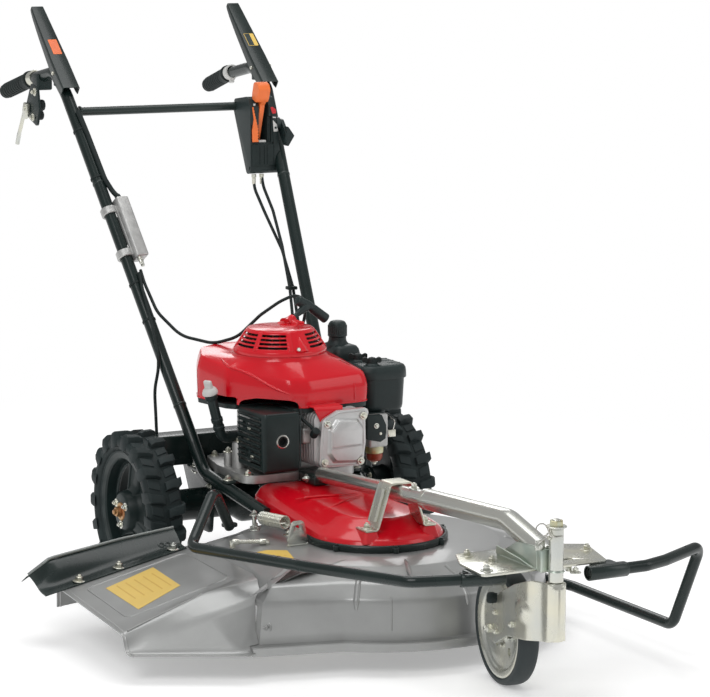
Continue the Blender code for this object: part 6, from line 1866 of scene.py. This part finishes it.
profile = mm((0, 512.8), (20, 512.6), (46, 511.2), (56.5, 509.8), (60, 509.2), (63.2, 508.6), (65.5, 506.8),
    (66.8, 504.5), (87, 474.5), (88.2, 472.2), (90, 470.8), (91, 469), (91, 461.8), (88.2, 461.8),
    (86.8, 469), (84.5, 472.5), (64, 503), (60.5, 506), (0, 509.5))
dome = turned(profile, "red", CRANK, Z, 154)
bm = bmesh.new()
GROUPS = [(163, 207), (214, 254), (288, 331), (337, 380), (27, 67), (74, 114), (121, 156)]
for k in range(4):
    low_z = 0.4762 + k * 0.0072
    for first_turn, last_turn in GROUPS:
        corners = []
        for z in (low_z, low_z + 0.0044):
            for radius in (0.052, 0.115):
                for turn in (radians(first_turn), radians((first_turn + last_turn) / 2), radians(last_turn)):
                    corners.append(bm.verts.new((radius * cos(turn), radius * sin(turn), z)))
        for quad in ((0, 1, 4, 3), (1, 2, 5, 4), (6, 9, 10, 7), (7, 10, 11, 8), (0, 6, 7, 1), (1, 7, 8, 2),
            (3, 4, 10, 9), (4, 5, 11, 10), (0, 3, 9, 6), (2, 8, 11, 5)):
            bm.faces.new([corners[q] for q in quad])
slot_cut = temp(mesh_from(bm), "red")
slot_cut.matrix_basis = moved(CRANK)
cut(dome, slot_cut)
bevel(dome, 0.0005, 2, 30)
parts = [dome]
for degrees in (210.5, 159.5, 117.5, 70.5, 23.5, 334, 258.5):
    turn = radians(degrees)
    ray = vec(cos(turn), sin(turn), 0)
    one = CRANK + ray * 0.0655 + UP * 0.5058
    two = CRANK + ray * 0.0882 + UP * 0.4722
    along = (two - one).normalized()
    across = vec(-ray.y, ray.x, 0)
    normal = across.cross(along).normalized()
    flat = block((-0.0046, -0.0014, 0), (0.0046, 0.0014, (two - one).length), "red", 0.0012, 3)
    flat.matrix_basis = Matrix(((across.x, normal.x, along.x, one.x), (across.y, normal.y, along.y, one.y),
        (across.z, normal.z, along.z, one.z), (0, 0, 0, 1))) @ flat.matrix_basis
    parts.append(flat)
turn = radians(275.5)
ray, across = vec(cos(turn), sin(turn), 0), vec(-sin(turn), cos(turn), 0)
low_mid = CRANK + ray * 0.0885 + UP * 0.4722
apex = CRANK + ray * 0.069 + UP * 0.501
ridge = CRANK + ray * 0.0975 + UP * 0.4735
bm = bmesh.new()
a_v, l_v, r_v, m_v, back_v = [bm.verts.new(v) for v in (apex, low_mid - across * 0.0125,
    low_mid + across * 0.0125, ridge, CRANK + ray * 0.08 + UP * 0.47)]
for face in ((a_v, l_v, m_v), (a_v, m_v, r_v), (l_v, back_v, m_v), (m_v, back_v, r_v), (a_v, back_v, l_v),
    (a_v, r_v, back_v)):
    bm.faces.new(face)
bmesh.ops.recalc_face_normals(bm, faces=bm.faces)
wedge = temp(mesh_from(bm), "red")
bevel(wedge, 0.0012, 3, 20)
parts += [wedge, *bolt(low_mid - across * 0.0135 + ray * 0.001 + UP * 0.0035, ray + UP * 0.5, 0.0042, "zinc",
    False, False)]
# the disc under the starter cover is painted shade, near-black so the slots look dark inside
fan = turned(mm((0, 502), (58, 502), (60, 500), (78, 473), (78, 464), (0, 464)), "dark", CRANK, Z, 64)
parts.append(fan)
for k in range(28):
    turn = tau * k / 28
    ray = vec(cos(turn), sin(turn), 0)
    parts.append(rod(vec(0, CRANK_Y, 0.4685) + ray * 0.0785, vec(0, CRANK_Y, 0.499) + ray * 0.0605, 0.0014,
        "rust", 8))
stem_end = vec(0.0385, -0.0571, 0.5193)
g_left, g_right = vec(0.056, -0.04, 0.553), vec(0.122, -0.04, 0.51)
pull = (g_left.lerp(g_right, 0.32) - stem_end).normalized()
boss = turned(mm((0, 3), (4.5, 3), (7.5, 2.6), (9, 1), (9.4, -6), (12, -17), (15, -22), (0, -22)), "red",
    stem_end, pull, 40)
cut(boss, rod(stem_end - pull * 0.005, stem_end + pull * 0.012, 0.0044, sides=28))
parts.append(boss)
for degrees, reach_out in ((176, 0.032), (222, 0.026), (268, 0.024), (318, 0.024)):
    out = vec(cos(radians(degrees)), sin(radians(degrees)), 0)
    foot = stem_end + out * reach_out
    foot.z = 0.5115
    parts.append(tube([stem_end - pull * 0.012, foot], 0.004, "red", 18, True, [0.0085, 0.0022]))
show("starter_cover", parts, angle=32)

line = fillet([g_left, g_left.lerp(g_right, 0.5) + vec(0, 0.003, 0.004), g_right], 0.05, 10)
count = len(line)
first, last = Vector(line[0]), Vector(line[-1])
ahead = (Vector(line[1]) - first).normalized()
behind = (Vector(line[-2]) - last).normalized()
body_line = [first, first + ahead * 0.001, first + ahead * 0.003, *line[1:-1], last + behind * 0.003,
    last + behind * 0.001, last]
middle_radii = [0.0092 + 0.0012 * abs(2 * k / (count - 1) - 1) ** 2 for k in range(count - 2)]
radii = [0.007, 0.009, 0.0102, *middle_radii, 0.0102, 0.009, 0.007]
bar = tube(body_line, 0.009, "plastic", 32, True, radii)
stem_top = g_left.lerp(g_right, 0.32)
neck = [stem_top, stem_top.lerp(stem_end, 0.35), stem_top.lerp(stem_end, 0.6), stem_end]
stem = tube(neck, 0.004, "plastic", 24, True, [0.01, 0.0076, 0.0058, 0.0037])
show("starter_grip", [bar, stem], "starter_grip", angle=50)


# Tank, air cleaner and carburettor

def tub(low, high, corner, material, levels, steps=8):
    """A rounded box from its plan corners and (inset, height) levels."""
    plan = fillet(oblong(low[0], low[1], high[0], high[1]), corner, steps, True)
    return loft([at_height(inset(plan, d), z) for d, z in levels], material)


tank = tub((0.134, -0.056), (0.196, 0.029), 0.018, "plastic", mm((5, 356.3), (1.5, 358), (0, 362), (0, 405),
    (0.6, 406.2), (0.6, 409), (0, 410.2), (0.5, 438), (3, 447), (8, 453), (13, 455)))
cap = vec(0.16, -0.012, 0)
neck = turned(mm((0, 470), (16.5, 470), (17.4, 469), (17.6, 464), (18.6, 460), (21.5, 456), (24, 452),
    (24, 448), (0, 448)), "plastic", cap, steps=64)
show("fuel_tank", [tank, neck])
parts = [
    turned(mm((0, 502), (9, 501.6), (14, 500), (16.8, 497), (18.4, 493), (18.8, 488), (18.8, 476),
        (19.4, 474.5), (19.5, 471.2), (18.8, 470.3), (0, 470.3)), "plastic", cap, steps=72),
]
for k in range(30):
    turn = tau * k / 30
    place = cap + vec(0.0184 * cos(turn), 0.0184 * sin(turn), 0)
    parts.append(rod(place + UP * 0.4755, place + UP * 0.4925, 0.001, "plastic", 8, 0.0003))
parts.append(turned(mm((0, 502), (6, 501.8), (6.6, 501.2), (6.6, 499), (0, 499)), "plastic", cap, steps=48))
show("fuel_cap", parts, "fuel_cap")

low, high = (0.142, -0.166), (0.24, -0.064)
body = tub(low, high, 0.026, "plastic", mm((14, 338), (8, 339.2), (5, 342.5), (3.6, 349), (1, 395),
    (0.8, 403.5)))
plan_low, plan_high = (low[0] - 0.0035, low[1] - 0.0035), (high[0] + 0.0035, high[1] + 0.0035)
lid = tub(plan_low, plan_high, 0.029, "plastic", mm((3.4, 403), (0.8, 403.2), (0, 404.5), (0.4, 417),
    (1.6, 423), (4.6, 427.5), (10, 429.8), (18, 430.8), (30, 431.2)))
parts = [body, lid]
for k, (x, y) in enumerate(((0.167, -0.088), (0.1695, -0.143))):
    parts += [
        turned(mm((0, 433.5), (10, 433.5), (12.5, 431.8), (13.2, 430), (0, 430)), "plastic", (x, y, 0),
            steps=40),
        turned(mm((0, 445), (6, 444.6), (8.6, 442.5), (9.8, 437), (9.8, 433), (0, 433)), "rubber", (x, y, 0),
            steps=36),
    ]
    wing = fillet(mm((-18.5, -4), (-8, -5.5), (8, -5.5), (18.5, -4), (19, 4), (13.5, 6.2), (7, 2.8), (0, 6.2),
        (-7, 2.8), (-13.5, 6.2), (-19, 4)), 0.0026, 5, True)
    ear = plate(wing, 0.009, "rubber", edge=0.0026, segments=4)
    ear.matrix_basis = moved((x, y, 0.4395)) @ Matrix.Rotation(-0.475 + 0.06 * k, 4, "Z") @ front_plane(0)
    parts.append(ear)
for k in range(3):
    y = -0.142 + k * 0.028
    parts.append(tube([(0.205, y, 0.4306), (0.232, y, 0.4296)], 0.0016, "plastic", 12))
parts.append(block((0.2405, -0.126, 0.388), (0.244, -0.104, 0.416), "plastic", 0.0015, 3))
show("air_cleaner", parts)

BOWL = 0.167, -0.158, 0    # the carburettor's middle line
carb = block((0.146, -0.178, 0.271), (0.188, -0.138, 0.3377), "cast", 0.005, 4)
parts = [
    carb,
    turned(mm((0, 276), (17.6, 276), (18.2, 274.8), (18.2, 259), (17.2, 257.8), (0, 257.8)), "honey", BOWL,
        steps=48),
    turned(mm((0, 264), (16.6, 260), (16.6, 252), (15.5, 246), (12, 242.5), (7, 240.5), (0, 240)), "rust",
        BOWL, steps=48),
    rod((0.1043, -0.158, 0.3), (0.15, -0.158, 0.3), 0.0138, "cast", 40),
    plate(fillet(mm((138.5, 290), (167, 283), (178.5, 289), (180, 316), (170, 337.2), (138.5, 337.2)), 0.003,
        4, True), 0.014, "plastic", front_plane(-0.177), edge=0.002, segments=3),
    block((0.14, -0.17, 0.33), (0.184, -0.14, 0.3385), "plastic", 0.002, 3),
    rod((0.167, -0.158, 0.2745), (0.167, -0.158, 0.283), 0.02, "zinc", 40, 0.0012),
    rod((0.167, -0.186, 0.3), (0.167, -0.13, 0.3), 0.003, "zinc", 20, 0.0006),
    *bolt((0.167, -0.158, 0.2405), (0, 0, -1), 0.0046, stud=False),
    *bolt((0.158, -0.1842, 0.316), (0, -1, 0), 0.0034, stud=False),
    block((0.182, -0.188, 0.292), (0.199, -0.1855, 0.306), "zinc", 0.001),
    tube(fillet(mm((193, -187, 304), (200, -184, 322), (196, -150, 334)), 0.01, 5), 0.0013, "steel", 12),
]
for x in (0.112, 0.124):
    parts.append(turned(mm((13.6, 2), (19.5, 2), (20, 1.5), (20, -1.5), (19.5, -2), (13.6, -2)), "cast",
        (x, -0.158, 0.3), X, 48, True))
show("carburettor", parts)

OIL_TOP = vec(-0.1615, -0.107, 0.392)
path = fillet([(0.004 - 0.085, -0.08, 0.3), (-0.134, -0.096, 0.302), OIL_TOP], 0.022, 10)
direction = (OIL_TOP - vec(-0.134, -0.096, 0.302)).normalized()
pipe = tube(path, 0.01, "plastic", 36)
cut(pipe, rod((0, CRANK_Y, 0.25), (0, CRANK_Y, 0.33), 0.0856, sides=96))
parts = [pipe]
for far, wide in ((0, 0.0128), (-0.05, 0.0116), (-0.066, 0.0112)):
    parts.append(turned([(0.0096, -0.0002), (wide - 0.0014, -0.0002), (wide, -0.0015), (wide, -0.0085),
        (wide - 0.0014, -0.01), (0.0096, -0.011)], "plastic", OIL_TOP + direction * far, direction, 44, True))
parts.append(tube([OIL_TOP - direction * 0.01 + vec(0, -0.0098, 0), OIL_TOP - direction * 0.06 + vec(0,
    -0.0098, 0)], 0.0018, "plastic", 12))
show("oil_filler", parts, angle=45)
base = OIL_TOP + direction * 0.0003
cap_part = turned(mm((0, 15), (6, 14.8), (10, 13.5), (13.2, 10), (15, 6), (15.6, 3), (15.2, 1.2), (13, 0.2),
    (0, 0.2)), "light", base, direction, 56)
wing = block((-0.0095, -0.004, 0.01), (0.0095, 0.004, 0.0288), "light", 0.0034, 5)
wing.matrix_basis = moved(base) @ aim(direction) @ wing.matrix_basis
show("dipstick", [cap_part, wing], "dipstick")


# Axle, beam and blade drive

end = TRACK / 2 - 0.034 - 0.0003
AXLE = 0, 0, WHEEL_R
half = [(0, end), (0.04, end), (0.0415, end - 0.001), (0.042, end - 0.0025), (0.042, end - 0.0085),
    (0.0405, end - 0.01), (0.034, end - 0.0125), (0.031, end - 0.017), (0.031, 0.074), (0.034, 0.069),
    (0.043, 0.056), (0.0448, 0.051), (0.045, 0.045), (0.045, 0.006), (0.046, 0.005), (0.046, 0)]
parts = [turned(mirrored(half), "black", AXLE, X, 72)]
for side in (RIGHT, LEFT):
    for k in range(4):
        turn = tau * (k + 0.5) / 4
        parts += bolt((side * (end - 0.01), 0.036 * cos(turn), WHEEL_R + 0.036 * sin(turn)), (-side, 0, 0),
            0.0042, stud=False)
for k in range(6):
    turn = tau * k / 6 + 0.3
    place = vec(0.0052, 0.0425 * cos(turn), WHEEL_R + 0.0425 * sin(turn))
    parts += bolt(place, X, 0.0034, "zinc", False, False)
show("axle_housing", parts, angle=40)

beam = block((-0.222, 0.052, 0.224), (0.222, 0.108, 0.284), "black", 0.005, 4)
side_outline = fillet(mm((-30, 100), (34, 100), (106, 226), (106, 282), (56, 282), (-45, 200)), 0.012, 7,
    True)
parts = [beam]
for sign in (-1, 1):
    flank = plate(side_outline, 0.006, "black", side_plane(sign * 0.127), edge=0.001)
    cut(flank, rod((-0.14, 0, WHEEL_R), (0.14, 0, WHEEL_R), 0.0318, sides=56))
    parts.append(flank)
    for y, z in ((0.012, 0.108), (-0.03, 0.196), (0.04, 0.215)):
        parts += bolt((sign * 0.13, y, z), (sign, 0, 0), 0.0048)
    parts.append(tube([(sign * 0.1305, 0.0535, 0.2245), (sign * 0.1305, 0.1065, 0.2245)], 0.002, "black", 12))
cut(beam, rod((-0.23, 0, WHEEL_R), (0.23, 0, WHEEL_R), 0.0318, sides=56))
show("rear_beam", parts)

hub = 0, SPINDLE_Y, 0
profile = mm((13, 188), (29, 188), (31, 186.5), (31, 167.2), (54.5, 167.2), (56, 166), (56, 160.5), (54, 159),
    (36, 152), (32, 148), (28, 106), (27, 104), (13, 104))
parts = [turned(profile, "cast", hub, steps=72, closed=True)]
for k in range(6):
    turn = tau * k / 6
    place = vec(0.046 * cos(turn), SPINDLE_Y + 0.046 * sin(turn), 0.157)
    parts += bolt(place, (0, 0, -1), 0.0048, "zinc", False, False)
    lean = vec(0.03 * cos(turn + 0.5), SPINDLE_Y + 0.03 * sin(turn + 0.5), 0)
    wide = vec(0.05 * cos(turn + 0.5), SPINDLE_Y + 0.05 * sin(turn + 0.5), 0)
    parts.append(tube([lean + UP * 0.118, wide + UP * 0.159], 0.003, "cast", 12))
show("spindle_housing", parts)


BELT_Z, SPINDLE_PULLEY_R, ENGINE_PULLEY_R = 0.202, 0.055, 0.036


def groove(radius):
    """A pulley's rim with its groove, from top to bottom."""
    half_belt = 0.006
    edge = half_belt + 0.006
    return [(radius + 0.0058, edge), (radius + 0.007, edge - 0.0012), (radius + 0.007, half_belt + 0.002),
        (radius, half_belt), (radius, -half_belt), (radius + 0.007, -half_belt - 0.002),
        (radius + 0.007, 0.0012 - edge), (radius + 0.0058, -edge)]


rim_part = [(r, BELT_Z + h) for r, h in groove(SPINDLE_PULLEY_R)]
face, low_face = 0.0848, 0.0792
top, foot = rim_part[0][1], rim_part[-1][1]
profile = [(0, top + 0.004), (0.0112, top + 0.004), (0.0125, top + 0.0028), (0.0125, top), *rim_part,
    (0.0125, foot), (0.0125, 0.102), (0.021, 0.102), (0.022, 0.101), (0.022, face), (0.0105, face),
    (0.0105, low_face), (0.016, low_face), (0.016, low_face - 0.0085), (0.0145, low_face - 0.01),
    (0, low_face - 0.01)]
show("blade_spindle", [turned(profile, "steel", hub, steps=72)], "blade_drive")

bar = plate(mm((255, -28), (300, -9.8), (300, 28), (-255, 28), (-300, 9.8), (-300, -28)), 0.0048, "steel",
    moved((0, SPINDLE_Y, 0.082)) @ Matrix.Rotation(radians(35), 4, "Z"), [circle(0.0108, (0, 0), 40)],
    edge=0.0006)
parts = [bar]
for sign in (-1, 1):
    rows = []
    for k in range(9):
        share = k / 8
        x = sign * (0.205 + 0.092 * share)
        rise_z = 0.018 * (share * share * (3 - 2 * share)) + 0.0006
        rows.append([(x, sign * 0.0222, 0), (x, sign * 0.0222, rise_z)])
    fin = thicken(skin(rows, "steel"), 0.0042, 0)
    fin.matrix_basis = bar.matrix_basis
    parts.append(fin)
show("blade", parts, "blade_drive")

rim_part = [(r, BELT_Z + h) for r, h in groove(ENGINE_PULLEY_R)]
top, foot = rim_part[0][1], rim_part[-1][1]
profile = [(0, 0.247), (0.0125, 0.247), (0.0125, top + 0.002), (0.02, top + 0.002), (0.02, top), *rim_part,
    (0.01, foot), (0, foot)]
show("engine_pulley", [turned(profile, "steel", CRANK, steps=64)], "engine_shaft")

outer, inner = [], []
for y, radius, start in ((CRANK_Y, ENGINE_PULLEY_R, 0), (SPINDLE_Y, SPINDLE_PULLEY_R, pi)):
    tilt = asin((SPINDLE_PULLEY_R - ENGINE_PULLEY_R) / (CRANK_Y - SPINDLE_Y))
    sign = 1 if start == 0 else -1
    first_turn, sweep = start + sign * tilt, pi - 2 * sign * tilt
    outer += circle(radius + 0.0083, (0, y), 49, first_turn, sweep)
    inner += circle(radius + 0.0006, (0, y), 49, first_turn, sweep)
belt = plate(outer, 0.0096, "rubber", moved((0, 0, BELT_Z)), [inner], edge=0.0012)
show("drive_belt", [belt])


# Finishes of the solids that stay as they are

FINISH = {
    "tyre": ["tyre_right", "tyre_left"],
    "rubber": ["grip_right", "grip_left", "cables_right", "cables_left", "drive_belt"],
    "caster": ["caster_tyre"],
    "red": ["belt_cover", "shroud", "starter_cover"],
    "grey": ["deck", "chute"],
    "zinc": ["hand_lever", "nose_plate", "pivot_sleeve", "stay", "caster_fork", "spindle_nut", "caster_rim",
        "tensioner_tab", "tension_spring"],
    "tube": ["spine_tube", "nose_tube"],
    "cast": ["cable_box", "spindle_housing", "engine_block", "carburettor"],
    "cover": ["valve_cover"],
    "light": ["dipstick"],
    "plastic": ["console", "throttle_lever", "starter_grip", "fuel_tank", "fuel_cap", "air_cleaner",
        "oil_filler"],
    "satin": ["axle_housing", "rear_beam", "engine_plate", "belt_housing", "deflector", "muffler",
        "muffler_guard", "rim_right", "rim_left"],
    "orange": ["gear_lever"],
    "steel": ["blade", "blade_spindle", "engine_pulley"],
}
finish_of = {node: key for key, names in FINISH.items() for node in names}
for node, solid in frame["nodes"].items():
    for material_slot in solid.material_slots:
        material_slot.material = M[finish_of.get(node, "black")]


# Stage, lights and camera

def stage():
    """A pale floor that keeps the shadow and fades to white where the camera looks past it."""
    bm = bmesh.new()
    bmesh.ops.create_grid(bm, x_segments=1, y_segments=1, size=40)
    mesh = bpy.data.meshes.new("floor")
    bm.to_mesh(mesh)
    bm.free()
    floor = bpy.data.objects.new("floor", mesh)
    bpy.context.scene.collection.objects.link(floor)
    material, nodes, links, shader = new_material("floor_white")
    shader.inputs["Base Color"].default_value = (0.94, 0.94, 0.94, 1)
    shader.inputs["Roughness"].default_value = 0.9
    shader.inputs["Specular IOR Level"].default_value = 0.1
    shader.inputs["Emission Color"].default_value = (1, 1, 1, 1)
    shader.inputs["Emission Strength"].default_value = 0.29
    place = add_node(nodes, "TexCoord")
    ball = add_node(nodes, "TexGradient")
    ball.gradient_type = "SPHERICAL"
    fit = add_node(nodes, "Mapping", Location=(0, 0.02, 0), Scale=(0.48, 0.4, 1))
    links.new(place.outputs["Object"], fit.inputs["Vector"])
    links.new(fit.outputs["Vector"], ball.inputs["Vector"])
    fade = add_node(nodes, "MapRange", From_Min=0.05, From_Max=0.42, To_Min=1, To_Max=0)
    fade.interpolation_type = "SMOOTHSTEP"
    links.new(ball.outputs["Fac"], fade.inputs["Value"])
    rays = add_node(nodes, "LightPath")
    seen = add_node(nodes, "Math")
    seen.operation = "ADD"
    links.new(rays.outputs["Is Camera Ray"], seen.inputs[0])
    links.new(rays.outputs["Is Glossy Ray"], seen.inputs[1])
    share = add_node(nodes, "Math")
    share.operation = "MULTIPLY"
    share.use_clamp = True
    links.new(seen.outputs[0], share.inputs[0])
    links.new(fade.outputs["Result"], share.inputs[1])
    glow = add_node(nodes, "Emission", Color=(1, 1, 1, 1), Strength=1)
    mixed = add_node(nodes, "MixShader")
    links.new(share.outputs[0], mixed.inputs["Fac"])
    links.new(shader.outputs["BSDF"], mixed.inputs[1])
    links.new(glow.outputs["Emission"], mixed.inputs[2])
    links.new(mixed.outputs["Shader"], nodes["Material Output"].inputs["Surface"])
    floor.data.materials.append(material)

    world = bpy.data.worlds.new("studio")
    bpy.context.scene.world = world
    world.use_nodes = True
    nodes, links = world.node_tree.nodes, world.node_tree.links
    back = nodes["Background"]
    back.inputs["Color"].default_value = (1, 1, 1, 1)
    back.inputs["Strength"].default_value = 0.42
    white = add_node(nodes, "Background", Strength=1)
    rays = add_node(nodes, "LightPath")
    mixed = add_node(nodes, "MixShader")
    links.new(rays.outputs["Is Camera Ray"], mixed.inputs["Fac"])
    links.new(back.outputs["Background"], mixed.inputs[1])
    links.new(white.outputs["Background"], mixed.inputs[2])
    links.new(mixed.outputs["Shader"], nodes["World Output"].inputs["Surface"])


def area_light(name, place, target, size, power, colour=(1, 1, 1)):
    light = bpy.data.lights.new(name, "AREA")
    light.shape = "RECTANGLE"
    light.size, light.size_y = size
    light.energy = power
    light.color = colour
    obj = bpy.data.objects.new(name, light)
    bpy.context.scene.collection.objects.link(obj)
    obj.location = place
    obj.rotation_euler = (Vector(target) - Vector(place)).to_track_quat("-Z", "Y").to_euler()
    return obj


# the camera that was solved from the photograph
SENSOR, PHOTO_WIDE, FOCAL_PIXELS = 36, 710, 2800.1
CAMERA_AT, LOOK_DOWN, LOOK_TURN = (-2.3399, -4.95, 1.3192), 8.979, -27.215


def camera():
    data = bpy.data.cameras.new("camera")
    obj = bpy.data.objects.new("camera", data)
    bpy.context.scene.collection.objects.link(obj)
    obj.location = Vector(CAMERA_AT) + SHIFT
    obj.rotation_euler = (radians(90 - LOOK_DOWN), 0, radians(LOOK_TURN))
    data.sensor_width = SENSOR
    data.lens = FOCAL_PIXELS / PHOTO_WIDE * SENSOR
    data.clip_end = 80
    bpy.context.scene.camera = obj


clear_drafts()
stage()
area_light("key", (-2.4, -2.2, 3), (0, -0.2, 0.3), (1.8, 1.8), 46)
area_light("fill", (3, -2.4, 2), (0, 0, 0.3), (1.6, 2.2), 15)
area_light("top", (0.2, 0.4, 3.4), (0, 0, 0.2), (2.6, 1.6), 36)
area_light("back", (1.6, 3.2, 2.2), (0, 0, 0.5), (1.6, 1.2), 18)
camera()
bpy.context.scene.view_settings.view_transform = "Standard"
